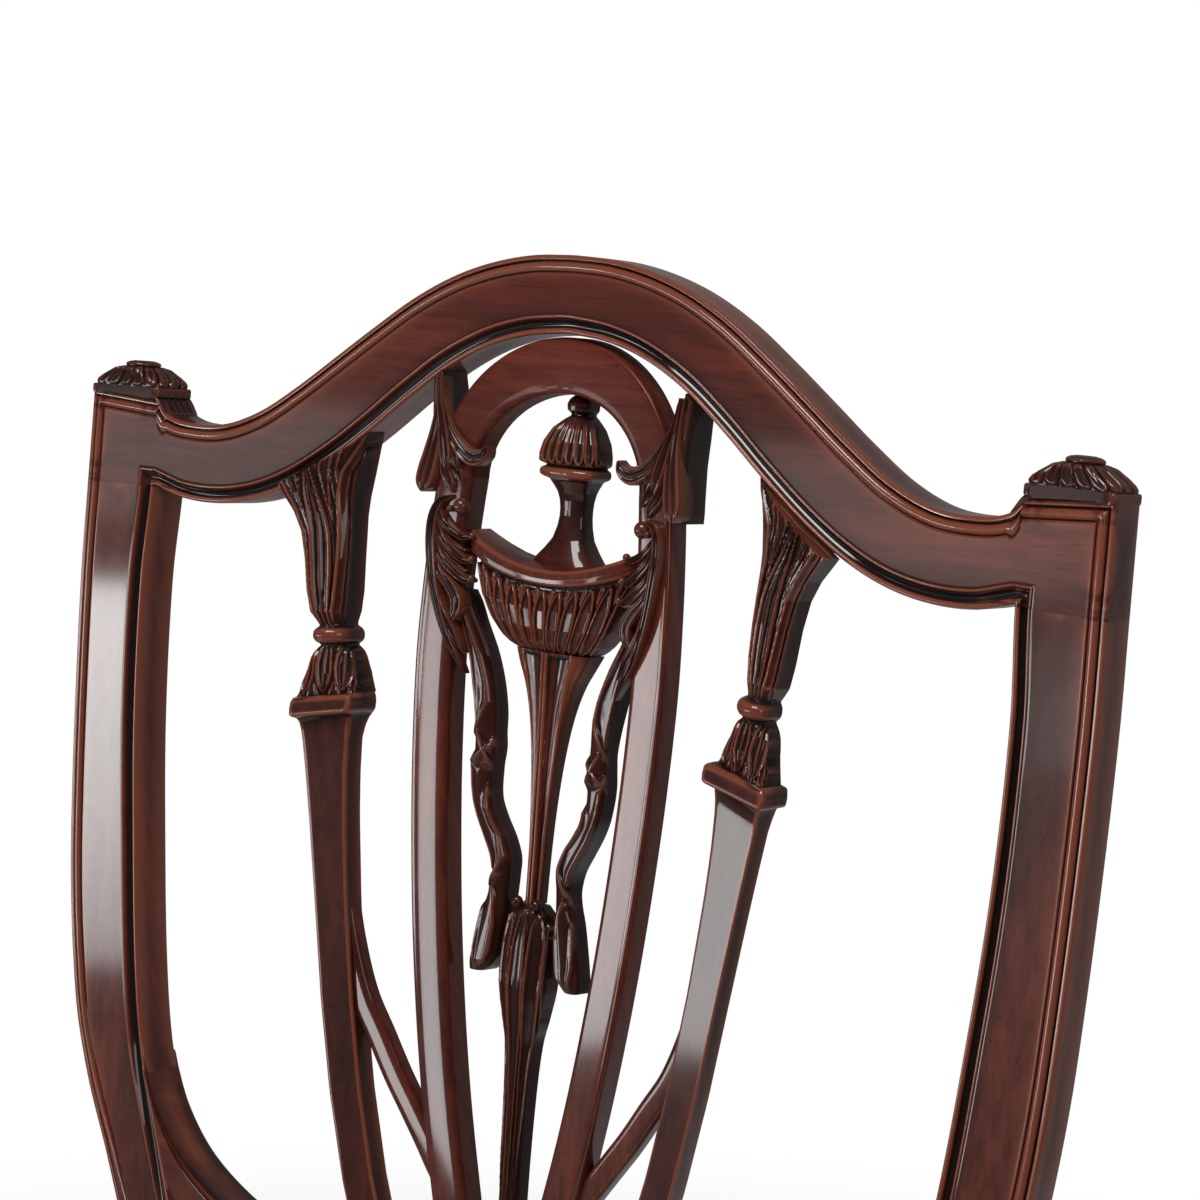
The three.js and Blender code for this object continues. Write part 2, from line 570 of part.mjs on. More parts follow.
// Ear caps: a thin slab, a low dome and a flat button, on a spigot
function earCapGeometry() {
  const halfDepth = FRAME_DEPTH / 2;
  const level = earTop(EAR_MIDDLE);
  const ring = (height, inset, squareness, sweep, followShare) => (
    Array.from({ length: CAP_SIDES }, (_, i) => {
      const angle = (2 * Math.PI * (i + 0.5)) / CAP_SIDES;
      const c = Math.sign(Math.cos(angle)) * Math.abs(Math.cos(angle)) ** squareness;
      const s = Math.sign(Math.sin(angle)) * Math.abs(Math.sin(angle)) ** squareness;
      const reach = EAR_WIDTH / 2 - inset;
      const u = EAR_MIDDLE + (c < 0 ? reach + sweep : reach) * c;
      const low = between(level, crestTop(u), followShare);
      return backPoint(u, low + JOINT_GAP + height, halfDepth + Math.min(halfDepth, reach) * s);
    }));
  const top = CAP_SLAB + CAP_DOME + CAP_BUTTON;
  const buttonInset = EAR_WIDTH / 2 - CAP_BUTTON_RADIUS;
  return loft([
    ring(-CAP_SLAB, 0, CAP_SQUARENESS, CAP_SWEEP, 1),
    ring(CAP_SLAB, 0, CAP_SQUARENESS, CAP_SWEEP * CAP_LEDGE_SHARE, CAP_FOLLOW_SHARE),
    ring(CAP_SLAB + CAP_BUTTON_EASE, CAP_SETBACK, CAP_SQUARENESS, 0, CAP_FOLLOW_SHARE),
    ...CAP_DOME_SHARES.map(([rise, inset, square, follow]) => (
      ring(CAP_SLAB + CAP_DOME * rise, buttonInset * inset, square, 0, follow))),
    ring(top - CAP_BUTTON_EASE, buttonInset, 1, 0, 0), ring(top, buttonInset + CAP_BUTTON_EASE, 1, 0, 0),
  ]);
}

// A round peg along the back's own height
function spigot(u, low, high, d, radius) {
  const ring = (v) => Array.from({ length: SCREW_SIDES }, (_, i) => {
    const angle = (2 * Math.PI * i) / SCREW_SIDES;
    return backPoint(u + radius * Math.cos(angle), v, d + radius * Math.sin(angle));
  });
  return solid(loft([ring(low), ring(high)]));
}

// Back post
const DEPTH_START_SHARE = STILE_STATION_SHARES[8];
const LAST_STATION_SHARE = STILE_STATION_SHARES[STILE_STATION_SHARES.length - 1];
const RAIL_LOW = RAIL_TOP - RAIL_HEIGHT;
const FOOT_LEVEL = GLIDE_THICKNESS + JOINT_GAP;

function rearLegAt(z) {
  const share = clampShare((RAIL_LOW - z) / RAIL_LOW);
  return {
    outer: POST_HALF_WIDTH,
    width: between(POST_WIDTH, FOOT_WIDTH, share),
    front: FOOT_SPLAY * share ** FOOT_CURVE_SHARE,
    depth: between(POST_DEPTH, FOOT_DEPTH, share),
  };
}

function backPostBody(grow, moulded) {
  const grown = ([s, d], width, depth) => [
    s < width / 2 ? s - grow : s + grow,
    d < depth / 2 ? d - grow : d + grow,
  ];
  const stile = [(OPENING_DROP + JOINT_GAP - grow) / SHIELD_DROP, ...STILE_STATION_SHARES].map((share) => {
    const v = -share * SHIELD_DROP;
    const width = stileOuter(v) - stileInner(v);
    const deeper = clampShare((share - DEPTH_START_SHARE) / (LAST_STATION_SHARE - DEPTH_START_SHARE));
    const depth = between(FRAME_DEPTH, POST_DEPTH, deeper);
    const fullness = moulded ? 1 - clampShare((share - MOULDING_STOP_SHARE) / MOULDING_FADE_SHARE) : 0;
    return mouldedSection(width, depth, fullness).map((p) => {
      const [s, d] = grown(p, width, depth);
      return backPoint(stileOuter(v) - s, v, d);
    });
  });
  const levels = [RAIL_TOP + POST_SHOULDER, RAIL_TOP];
  for (let i = 0; i <= FOOT_STEPS; i += 1) {
    levels.push(between(RAIL_LOW, FOOT_LEVEL - grow, i / FOOT_STEPS));
  }
  const leg = levels.map((z) => {
    const { outer, width, front, depth } = rearLegAt(z);
    return mouldedSection(width, depth, 0).map((p) => {
      const [s, d] = grown(p, width, depth);
      return new THREE.Vector3(outer - s, front + d, z);
    });
  });
  const rings = [...stile, ...leg];
  return solid(loft(rings, hubOf(rings[0]), hubOf(rings[rings.length - 1])));
}

// Base rail of the shield, with the lunette on which the splat stands
function baseRailBody() {
  const rings = Array.from({ length: BASE_STATIONS + 1 }, (_, i) => {
    const across = Math.sin(Math.PI * (i / BASE_STATIONS - 0.5));
    const lowU = across * (BASE_FOOT_HALF + BASE_RUN_IN);
    const highU = across * (BASE_TOP_HALF + BASE_RUN_IN);
    const low = new THREE.Vector2(lowU, baseLower(lowU));
    const high = new THREE.Vector2(highU, baseUpper(highU));
    const width = low.distanceTo(high);
    return mouldedSection(width, FRAME_DEPTH, 1).map(([s, d]) => {
      const at = low.clone().lerp(high, s / width);
      return backPoint(at.x, at.y, d);
    });
  });
  return solid(loft(rings, hubOf(rings[0]), hubOf(rings[rings.length - 1])));
}

function lunetteBody(grow) {
  const centre = baseUpper(0);
  const ring = (d) => Array.from({ length: LUNETTE_STEPS + 1 }, (_, i) => {
    const angle = (Math.PI * i) / LUNETTE_STEPS;
    const radius = LUNETTE_RADIUS + grow;
    return splatPoint(radius * Math.cos(angle), centre + radius * Math.sin(angle), d);
  }).concat([
    splatPoint(-LUNETTE_RADIUS, centre - LUNETTE_ROOT, d),
    splatPoint(LUNETTE_RADIUS, centre - LUNETTE_ROOT, d),
  ]);
  return solid(loft([ring(-LUNETTE_PROUD - grow), ring(LUNETTE_DEPTH + grow)]));
}

// All the space below the base rail's upper edge and inside the lunette, to trim what stands on it
const underBase = () => join(spaceFrom(
  placesAcross(BASE_TOP_HALF, BASE_STATIONS), (u) => baseUpper(u) + JOINT_GAP, -SHIELD_DROP - OVERRUN,
), lunetteBody(JOINT_GAP));

// A carved bar: round or square in front, flat behind
function carvedRing(u, v, halfWidth, front, back, squareness, tilt) {
  const middle = (front + back) / 2;
  const place = (x, d) => splatPoint(u + x * Math.cos(tilt), v - x * Math.sin(tilt), d);
  const arc = Array.from({ length: CARVED_SIDES }, (_, i) => {
    const angle = (Math.PI * i) / (CARVED_SIDES - 1);
    const c = Math.sign(Math.cos(angle)) * Math.abs(Math.cos(angle)) ** squareness;
    return place(-halfWidth * c, middle - (middle - front) * Math.abs(Math.sin(angle)) ** squareness);
  });
  return [...arc, place(halfWidth, back), place(-halfWidth, back)];
}

const RIB_TILT = THREE.MathUtils.degToRad(RIB_TILT_DEGREES);

function outerRibBody(grow) {
  const ringsOf = (rows, depth) => rows.map(([down, across, half, rise, squareness, tilt]) => carvedRing(
    across * SHIELD_HALF_WIDTH, -down * SHIELD_DROP, half * RIB_WIDTH + grow, -rise * RIB_RISE - grow,
    depth + grow, squareness, tilt * RIB_TILT,
  ));
  return solid(loft([
    ...ringsOf([...CAPITAL_SHARES, ...BLOCK_SHARES], CAPITAL_DEPTH), ...ringsOf(SHAFT_SHARES, RIB_DEPTH),
  ]));
}

function branchBody() {
  const rings = BRANCH_SHARES.map(([down, across], i) => {
    const before = BRANCH_SHARES[Math.max(i - 1, 0)];
    const after = BRANCH_SHARES[Math.min(i + 1, BRANCH_SHARES.length - 1)];
    const slope = new THREE.Vector2(
      (after[1] - before[1]) * SHIELD_HALF_WIDTH, (before[0] - after[0]) * SHIELD_DROP,
    ).normalize();
    const half = BRANCH_WIDTH / 2;
    const [u, v] = [across * SHIELD_HALF_WIDTH, -down * SHIELD_DROP];
    const edge = (x, d) => splatPoint(u - x * slope.y, v + x * slope.x, d);
    const back = BRANCH_SETBACK + BRANCH_DEPTH;
    return [edge(-half, BRANCH_SETBACK), edge(half, BRANCH_SETBACK), edge(half, back), edge(-half, back)];
  });
  return solid(loft(rings));
}

// Hoop
const ARCH_SPRING = -ARCH_SPRING_DROP;
const hoopMiddle = (v) => smooth(HOOP_RIB_SHARES, -v / SHIELD_DROP) * SHIELD_HALF_WIDTH;

function hoopRing(inner, outer, grow) {
  const along = outer.clone().sub(inner).normalize();
  const edge = (p, x, d) => splatPoint(p.x + along.x * x, p.y + along.y * x, d);
  const back = HOOP_DEPTH + grow;
  return [
    edge(inner, -grow, HOOP_EASE - grow), edge(inner, HOOP_EASE, -grow), edge(outer, -HOOP_EASE, -grow),
    edge(outer, grow, HOOP_EASE - grow), edge(outer, grow, back), edge(inner, -grow, back),
  ];
}

function archBody(grow) {
  const innerHalf = hoopMiddle(ARCH_SPRING) - HOOP_WIDTH / 2;
  const outerHalf = hoopMiddle(ARCH_SPRING) + HOOP_WIDTH / 2;
  const rings = Array.from({ length: ARCH_STEPS + 1 }, (_, i) => {
    const angle = (Math.PI * i) / ARCH_STEPS;
    const [c, s] = [Math.cos(angle), Math.sin(angle)];
    return hoopRing(
      new THREE.Vector2(innerHalf * c, ARCH_SPRING + ARCH_INNER_RISE * s),
      new THREE.Vector2(outerHalf * c, ARCH_SPRING + ARCH_OUTER_RISE * s), grow,
    );
  });
  return solid(loft(rings));
}

function hoopRibBody(grow) {
  const top = ARCH_SPRING - JOINT_GAP + grow;
  const rings = Array.from({ length: HOOP_STATIONS + 1 }, (_, i) => {
    const v = between(top, baseUpper(0), i / HOOP_STATIONS);
    const middle = hoopMiddle(v);
    return hoopRing(
      new THREE.Vector2(middle - HOOP_WIDTH / 2, v), new THREE.Vector2(middle + HOOP_WIDTH / 2, v), grow,
    );
  });
  return solid(loft(rings));
}

// Urn, in three carved lengths, and the calyx and stalk below it
const KNOB_TOP = ARCH_SPRING + ARCH_INNER_RISE - JOINT_GAP;
const BOWL_TOP = KNOB_TOP - FINIAL_LENGTH - JOINT_GAP;
const STEM_TOP = BOWL_TOP - BOWL_HEIGHT - JOINT_GAP;
const CALYX_TOP = STEM_TOP - STEM_LENGTH - JOINT_GAP;
const CALYX_LENGTH = CALYX_TOP - baseUpper(0);

function urnRings(rows, top, length, halfWidth, grow) {
  return rows.map(([down, half, front, back]) => carvedRing(
    0, top - down * length, half * halfWidth + grow,
    front * CARVING_DEPTH - grow, back * CARVING_DEPTH + grow, 1, 0,
  ));
}

function bowlBody(grow) {
  const rings = BOWL_SHARES.map(([down, half, setback]) => {
    const smile = BOWL_SMILE * (1 - down);
    const front = setback * CARVING_DEPTH - BOWL_RISE - grow;
    const v = BOWL_TOP - down * BOWL_HEIGHT + (down === 0 ? grow : 0);
    const halfWidth = half * BOWL_HALF_WIDTH + grow;
    const middle = (front + CARVING_DEPTH) / 2;
    const place = (x, d) => splatPoint(x, v + smile * (x / BOWL_HALF_WIDTH) ** 2, d);
    const arc = Array.from({ length: CARVED_SIDES * 2 - 1 }, (_, i) => {
      const angle = (Math.PI * i) / (CARVED_SIDES * 2 - 2);
      return place(-halfWidth * Math.cos(angle), middle - (middle - front) * Math.sin(angle));
    });
    const back = [1, 0.5, 0, -0.5, -1].map((share) => place(share * halfWidth, CARVING_DEPTH + grow));
    return [...arc, ...back];
  });
  return solid(loft(rings));
}

// Carved pieces given by a table of places: swags, sprays and husks
function trailBody(rows, halfWidth, frontOf, back, tilt) {
  return solid(loft(rows.map(([down, across, half, height]) => carvedRing(
    across * SHIELD_HALF_WIDTH, -down * SHIELD_DROP, half * halfWidth, frontOf(height), back,
    TRAIL_SQUARENESS, tilt,
  ))));
}

// Front leg, with its outer corner straight and its spade foot standing proud
function legAt(z) {
  const share = clampShare((RAIL_LOW - z) / (RAIL_LOW - SPADE_HEIGHT - SPADE_SHOULDER));
  return between(LEG_TOP, LEG_ANKLE, share);
}

const LEG_CORNER_X = SEAT_FRONT_WIDTH / 2;
const LEG_CORNER_Y = -SEAT_DEPTH;

function frontLegBody(grow) {
  const square = (z, centreX, centreY, size) => {
    const half = size / 2 + grow;
    const corners = [[-half, -half], [half, -half], [half, half], [-half, half]];
    return corners.map(([x, y]) => new THREE.Vector3(centreX + x, centreY + y, z));
  };
  const taper = (z, size) => square(z, LEG_CORNER_X - size / 2, LEG_CORNER_Y + size / 2, size);
  const ankleX = LEG_CORNER_X - LEG_ANKLE / 2;
  const ankleY = LEG_CORNER_Y + LEG_ANKLE / 2;
  return solid(loft([
    taper(RAIL_TOP + grow, LEG_TOP), taper(RAIL_LOW, LEG_TOP),
    taper(SPADE_HEIGHT + SPADE_SHOULDER, LEG_ANKLE),
    square(SPADE_HEIGHT, ankleX, ankleY, SPADE_TOP), square(FOOT_LEVEL - grow, ankleX, ankleY, SPADE_FOOT),
  ]));
}

// Seat rails, in plan
const RAIL_MIDDLE = (RAIL_TOP + RAIL_LOW) / 2;
const FRONT_RAIL_FACE = LEG_CORNER_Y + RAIL_SETBACK;
const FRONT_RAIL_INNER = FRONT_RAIL_FACE + RAIL_THICKNESS;
const LEG_BACK = LEG_CORNER_Y + LEG_TOP;
const LEG_INNER = LEG_CORNER_X - LEG_TOP;
const SIDE_FRONT_X = LEG_CORNER_X - RAIL_SETBACK;
const SIDE_REAR_X = POST_HALF_WIDTH - RAIL_SETBACK;
const sideOuter = (y) => between(SIDE_REAR_X, SIDE_FRONT_X, y / LEG_BACK);
const sideInner = (y) => sideOuter(y) - RAIL_THICKNESS;
const REAR_RAIL_BACK = REAR_RAIL_SETBACK + RAIL_THICKNESS;
const TENON_LOW = RAIL_MIDDLE - RAIL_TENON_HEIGHT / 2;
const TENON_HIGH = RAIL_MIDDLE + RAIL_TENON_HEIGHT / 2;

function tenonBox(x, y, halfX, halfY, grow) {
  const [wide, deep] = [halfX + grow, halfY + grow];
  return box(x - wide, x + wide, y - deep, y + deep, TENON_LOW - grow, TENON_HIGH + grow);
}

function frontRailTenon(grow) {
  const middle = (FRONT_RAIL_FACE + FRONT_RAIL_INNER) / 2;
  return tenonBox(LEG_INNER, middle, RAIL_TENON_LENGTH, RAIL_TENON_THICKNESS / 2, grow);
}

function rearRailTenon(grow) {
  const middle = (REAR_RAIL_SETBACK + REAR_RAIL_BACK) / 2;
  return tenonBox(POST_INNER, middle, RAIL_TENON_LENGTH, RAIL_TENON_THICKNESS / 2, grow);
}

function sideFrontTenon(grow) {
  const x = sideOuter(LEG_BACK) - RAIL_THICKNESS / 2;
  return tenonBox(x, LEG_BACK, RAIL_TENON_THICKNESS / 2, RAIL_TENON_LENGTH, grow);
}

function sideRearTenon(grow) {
  const x = sideOuter(0) - RAIL_THICKNESS / 2;
  return tenonBox(x, 0, RAIL_TENON_THICKNESS / 2, SIDE_REAR_TENON_LENGTH, grow);
}

const mirrorOutline = (half) => [...half, ...half.slice().reverse().map(([x, y]) => [-x, y])];

// Corner blocks and their screws
const BLOCK_LOW = RAIL_MIDDLE - BLOCK_HEIGHT / 2;
const BLOCK_TOP = RAIL_MIDDLE + BLOCK_HEIGHT / 2;
const FRONT_BLOCK_Y = FRONT_RAIL_INNER + JOINT_GAP;
const REAR_BLOCK_Y = REAR_RAIL_SETBACK - JOINT_GAP;

function frontBlockOutline() {
  const sideY = FRONT_BLOCK_Y + BLOCK_REACH;
  return [
    [LEG_INNER - BLOCK_REACH, FRONT_BLOCK_Y], [LEG_INNER - JOINT_GAP, FRONT_BLOCK_Y],
    [LEG_INNER - JOINT_GAP, LEG_BACK + JOINT_GAP],
    [sideInner(LEG_BACK) - JOINT_GAP * 2, LEG_BACK + JOINT_GAP], [sideInner(sideY) - JOINT_GAP, sideY],
  ];
}

function rearBlockOutline() {
  const sideY = REAR_BLOCK_Y - BLOCK_REACH;
  return [
    [POST_INNER - BLOCK_REACH, REAR_BLOCK_Y], [sideInner(sideY) - JOINT_GAP, sideY],
    [sideInner(0) - JOINT_GAP, -JOINT_GAP * 2], [POST_INNER - JOINT_GAP, -JOINT_GAP * 2],
    [POST_INNER - JOINT_GAP, REAR_BLOCK_Y],
  ];
}

// Screw places: a point on the block's slanting face and the way the screw drives
function screwPlaces() {
  const front = frontBlockOutline();
  const rear = rearBlockOutline();
  const along = (from, to, share) => [between(from[0], to[0], share), between(from[1], to[1], share)];
  const onFront = (share) => along(front[0], front[front.length - 1], share);
  const onRear = (share) => along(rear[0], rear[1], share);
  const place = ([x, y], way, reach) => ({ x, y, way, length: reach + SCREW_BITE });
  const near = SCREW_PLACE_SHARE;
  const far = 1 - SCREW_PLACE_SHARE;
  const [fn, ff, rn, rf] = [onFront(near), onFront(far), onRear(near), onRear(far)];
  return {
    front_block_screw_a: place(fn, [0, -1], fn[1] - FRONT_RAIL_INNER),
    front_block_screw_b: place(ff, [1, 0], sideInner(ff[1]) - ff[0]),
    rear_block_screw_a: place(rn, [0, 1], REAR_RAIL_SETBACK - rn[1]),
    rear_block_screw_b: place(rf, [1, 0], sideInner(rf[1]) - rf[0]),
  };
}

function screwGeometry({ x, y, way, length }, grow) {
  const end = -length - grow;
  const profile = [
    [0, end], [SCREW_TIP_RADIUS + grow, end], [SCREW_RADIUS + grow, SCREW_TIP_LENGTH - length],
    [SCREW_RADIUS + grow, -SCREW_HEAD_HEIGHT - SCREW_SINK], [SCREW_HEAD_RADIUS + grow, -SCREW_SINK],
  ];
  if (grow > 0) profile.push([SCREW_HEAD_RADIUS + grow, OVERRUN]);
  profile.push([0, profile[profile.length - 1][1]]);
  const geometry = new THREE.LatheGeometry(profile.map(([r, h]) => new THREE.Vector2(r, h)), SCREW_SIDES);
  const toWay = new THREE.Quaternion().setFromUnitVectors(
    new THREE.Vector3(0, -1, 0), new THREE.Vector3(way[0], way[1], 0),
  );
  geometry.applyQuaternion(toWay);
  geometry.translate(x, y, RAIL_MIDDLE);
  return geometry;
}

// Stretchers
const STRETCHER_LOW = STRETCHER_LEVEL - STRETCHER_HEIGHT / 2;
const STRETCHER_HIGH = STRETCHER_LEVEL + STRETCHER_HEIGHT / 2;

function legCentre(z) {
  const half = legAt(z) / 2;
  return [LEG_CORNER_X - half, LEG_CORNER_Y + half];
}

function rearLegCentre(z) {
  const { outer, width, front, depth } = rearLegAt(z);
  return [outer - width / 2, front + depth / 2];
}

function tenonPlank(from, to, level, grow) {
  const thickness = STRETCHER_TENON_THICKNESS + 2 * grow;
  const half = STRETCHER_TENON_HEIGHT / 2 + grow;
  const along = new THREE.Vector2(to[0] - from[0], to[1] - from[1]).normalize().multiplyScalar(grow);
  const start = [from[0] - along.x, from[1] - along.y];
  return plank(start, [to[0] + along.x, to[1] + along.y], thickness, level - half, level + half);
}

const sideEnds = [legCentre(STRETCHER_LEVEL), rearLegCentre(STRETCHER_LEVEL)];
const crossPlace = [0, 1].map((i) => between(sideEnds[0][i], sideEnds[1][i], CROSS_PLACE_SHARE));
const crossEnds = [[-crossPlace[0], crossPlace[1]], crossPlace];
const rearEnd = rearLegCentre(REAR_STRETCHER_LEVEL);
const rearEnds = [[-rearEnd[0], rearEnd[1]], rearEnd];

function sideStretcherBlank(grow) {
  return plank(...sideEnds, STRETCHER_THICKNESS + 2 * grow, STRETCHER_LOW - grow, STRETCHER_HIGH + grow);
}

// Glides: a flat disc and a pin
function glideGeometry(x, y, grow) {
  const top = GLIDE_THICKNESS + GLIDE_PIN_LENGTH + grow;
  const geometry = new THREE.LatheGeometry([
    [0, 0], [GLIDE_RADIUS - GLIDE_EASE + grow, 0], [GLIDE_RADIUS + grow, GLIDE_EASE],
    [GLIDE_RADIUS + grow, GLIDE_THICKNESS], [GLIDE_PIN_RADIUS + grow, GLIDE_THICKNESS],
    [GLIDE_PIN_RADIUS + grow, top], [0, top],
  ].map(([r, h]) => new THREE.Vector2(r, h)), GLIDE_SIDES);
  geometry.rotateX(Math.PI / 2);
  geometry.translate(x, y, 0);
  return geometry;
}

// Upholstery. The seat's outline follows the rails and steps in round the back posts.
const SEAT_CENTRE = new THREE.Vector2(0, -SEAT_DEPTH / 2);

function seatOutline(grow) {
  const front = LEG_CORNER_Y - JOINT_GAP - grow;
  const side = LEG_CORNER_X + JOINT_GAP + grow;
  const rear = POST_HALF_WIDTH + JOINT_GAP + grow;
  const notchY = -JOINT_GAP - COVER_THICKNESS + grow;
  const notchX = POST_INNER - JOINT_GAP - COVER_THICKNESS + grow;
  const back = REAR_RAIL_BACK + JOINT_GAP + grow;
  return { front, side, rear, notchY, notchX, back };
}

function seatPlan(grow) {
  const { front, side, rear, notchY, notchX, back } = seatOutline(grow);
  return mirrorOutline([[side, front], [side, LEG_BACK], [rear, notchY], [notchX, notchY], [notchX, back]]);
}

// Points round the outline, each with how far it may swell and how far it is drawn in
function seatRim(grow) {
  const { front, side, rear, notchY, notchX, back } = seatOutline(grow);
  const half = [];
  for (let i = 0; i <= FRONT_STEPS; i += 1) {
    half.push([side * (i / FRONT_STEPS), front, Math.cos((Math.PI / 2) * (i / FRONT_STEPS)), 1]);
  }
  for (let i = 0; i < SIDE_STEPS; i += 1) {
    const share = i / SIDE_STEPS;
    half.push([between(side, rear, share), between(LEG_BACK, notchY, share), Math.sin(Math.PI * share), 1]);
  }
  half.push([rear, notchY, 0, 0], [between(rear, notchX, 0.5), notchY, 0, 0], [notchX, notchY, 0, 0]);
  for (let i = 0; i <= REAR_STEPS; i += 1) {
    half.push([notchX * (1 - i / REAR_STEPS), back, 0, i === 0 ? 0 : 1]);
  }
  const other = half.slice(1, -1).reverse().map(([x, y, draw, swell]) => [-x, y, draw, swell]);
  return [...half, ...other];
}

// Rings of the stuffed seat, from its lowest level up to the middle of its crown
function seatRings(grow, lowest, lift) {
  const rim = seatRim(grow);
  const place = ([x, y, draw, swell], z, inset, out) => {
    const at = new THREE.Vector2(x, y);
    const way = SEAT_CENTRE.clone().sub(at).normalize();
    at.addScaledVector(way, inset * EDGE_ROUND + out * (SIDE_DRAW * draw - SHOULDER_SWELL * swell));
    return new THREE.Vector3(at.x, at.y, z);
  };
  const top = RAIL_TOP + PAD_RISE + lift;
  const walls = lowest.map((z) => rim.map((p) => place(p, z, 0, 0)));
  const edges = EDGE_RING_SHARES.map(([height, inset, out]) => (
    rim.map((p) => place(p, between(RAIL_TOP, top, height), inset, out))));
  const crowns = CROWN_RING_SHARES.map((scale) => rim.map((p) => {
    const edge = place(p, top, 1, 0);
    const at = SEAT_CENTRE.clone().lerp(new THREE.Vector2(edge.x, edge.y), scale);
    return new THREE.Vector3(at.x, at.y, top + CROWN_RISE * (1 - scale ** 2));
  }));
  return [...walls, ...edges, ...crowns];
}

const seatTip = (lift) => (
  new THREE.Vector3(SEAT_CENTRE.x, SEAT_CENTRE.y, RAIL_TOP + PAD_RISE + CROWN_RISE + lift));
const HEM_LEVEL = RAIL_LOW + COVER_HEM;
const PAD_LOW = RAIL_TOP + WEB_THICKNESS + HESSIAN_THICKNESS + 3 * JOINT_GAP;

function coverBody() {
  const outer = seatRings(COVER_THICKNESS, [HEM_LEVEL, RAIL_TOP], 0);
  const inner = seatRings(0, [HEM_LEVEL, RAIL_TOP], -COVER_THICKNESS);
  const rings = [...outer.reverse(), ...inner];
  const body = solid(loft(rings, seatTip(0), seatTip(-COVER_THICKNESS)));
  const { front, side, rear, back } = seatOutline(0);
  const frameSpace = slab(
    mirrorOutline([[side, front], [side, LEG_BACK], [rear, -JOINT_GAP], [rear, back]]),
    RAIL_LOW, RAIL_TOP + JOINT_GAP,
  );
  return cut(body, frameSpace, ...bothSides(backPostBody(JOINT_GAP, false)));
}

function padBody() {
  const rings = seatRings(-JOINT_GAP, [PAD_LOW], -COVER_THICKNESS - JOINT_GAP);
  return solid(loft(rings, undefined, seatTip(-COVER_THICKNESS - JOINT_GAP)));
}

function webbingBody() {
  const { front, side, rear } = seatOutline(-COVER_THICKNESS);
  const low = RAIL_TOP + JOINT_GAP;
  const holes = [];
  const pitch = 1 / WEB_GAPS;
  const depth = -front;
  const halfAt = (y) => between(rear, side, y / front);
  const margin = WEB_WIDTH / 2;
  for (let i = 0; i < WEB_GAPS; i += 1) {
    for (let j = 0; j < WEB_GAPS; j += 1) {
      const lowY = -depth * (j + 1) * pitch + margin;
      const highY = -depth * j * pitch - margin;
      const left = (y) => [halfAt(y) * (2 * i * pitch - 1) + margin, y];
      const right = (y) => [halfAt(y) * (2 * (i + 1) * pitch - 1) - margin, y];
      const hole = [left(lowY), right(lowY), right(highY), left(highY)];
      holes.push(slab(hole, low - OVERRUN, low + OVERRUN));
    }
  }
  return cut(slab(seatPlan(-JOINT_GAP), low, low + WEB_THICKNESS), ...holes);
}

function hessianBody() {
  const low = RAIL_TOP + WEB_THICKNESS + 2 * JOINT_GAP;
  return slab(seatPlan(-JOINT_GAP), low, low + HESSIAN_THICKNESS);
}

function dustCoverBody() {
  const inset = DUST_INSET;
  const high = RAIL_LOW - JOINT_GAP;
  return slab(mirrorOutline([
    [LEG_INNER - inset, FRONT_RAIL_FACE + inset], [LEG_INNER - inset, LEG_BACK + inset],
    [sideOuter(LEG_BACK + inset) - inset, LEG_BACK + inset], [sideOuter(-inset) - inset, -inset],
    [POST_INNER - inset, -inset], [POST_INNER - inset, REAR_RAIL_BACK - inset],
  ]), high - DUST_THICKNESS, high);
}

// Assembly
const group = new THREE.Group();

function add(name, body, finish) {
  const geometry = body.isBufferGeometry ? body : geometryOf(body);
  const mesh = new THREE.Mesh(geometry, new THREE.MeshStandardMaterial(finish));
  mesh.name = name;
  group.add(mesh);
}

function addPair(name, body, finish) {
  const geometry = body.isBufferGeometry ? body : geometryOf(body);
  add(`${name}_right`, geometry, finish);
  add(`${name}_left`, mirrored(geometry), finish);
}

const post = backPostBody(0, true);
const postSpace = backPostBody(JOINT_GAP, false);
const leg = frontLegBody(0);
const legSpace = frontLegBody(JOINT_GAP);
const crestSpace = overCrest();
const baseSpace = underBase();
const ribSpace = outerRibBody(JOINT_GAP);
const hoopSpaces = [...bothSides(hoopRibBody(JOINT_GAP)), archBody(JOINT_GAP)];

// Joints of the back
const stileTenon = (grow) => bar(
  backPoint, EAR_MIDDLE, -OPENING_DROP, STILE_TENON_WIDTH / 2 + grow, STILE_TENON_LENGTH + grow,
  (FRAME_DEPTH - STILE_TENON_DEPTH) / 2 - grow, (FRAME_DEPTH + STILE_TENON_DEPTH) / 2 + grow,
);
const capSpigot = (grow) => spigot(
  EAR_MIDDLE, earTop(EAR_MIDDLE) - CAP_SPIGOT_LENGTH - grow, earTop(EAR_MIDDLE) + CAP_SLAB,
  FRAME_DEPTH / 2, CAP_SPIGOT_RADIUS + grow,
);
const baseSlant = Math.atan2(BASE_TOP_HALF - BASE_FOOT_HALF, baseTopV - baseFootV);
const baseTenonReach = BASE_TENON_LENGTH / 2 - TENON_COVER;
const baseTenon = (grow) => bar(
  backPoint,
  between(BASE_FOOT_HALF, BASE_TOP_HALF, BASE_TENON_PLACE_SHARE) + baseTenonReach * Math.cos(baseSlant),
  between(baseFootV, baseTopV, BASE_TENON_PLACE_SHARE) - baseTenonReach * Math.sin(baseSlant),
  BASE_TENON_LENGTH / 2 + grow, BASE_TENON_HEIGHT / 2 + grow,
  (FRAME_DEPTH - BASE_TENON_DEPTH) / 2 - grow, (FRAME_DEPTH + BASE_TENON_DEPTH) / 2 + grow, baseSlant,
);
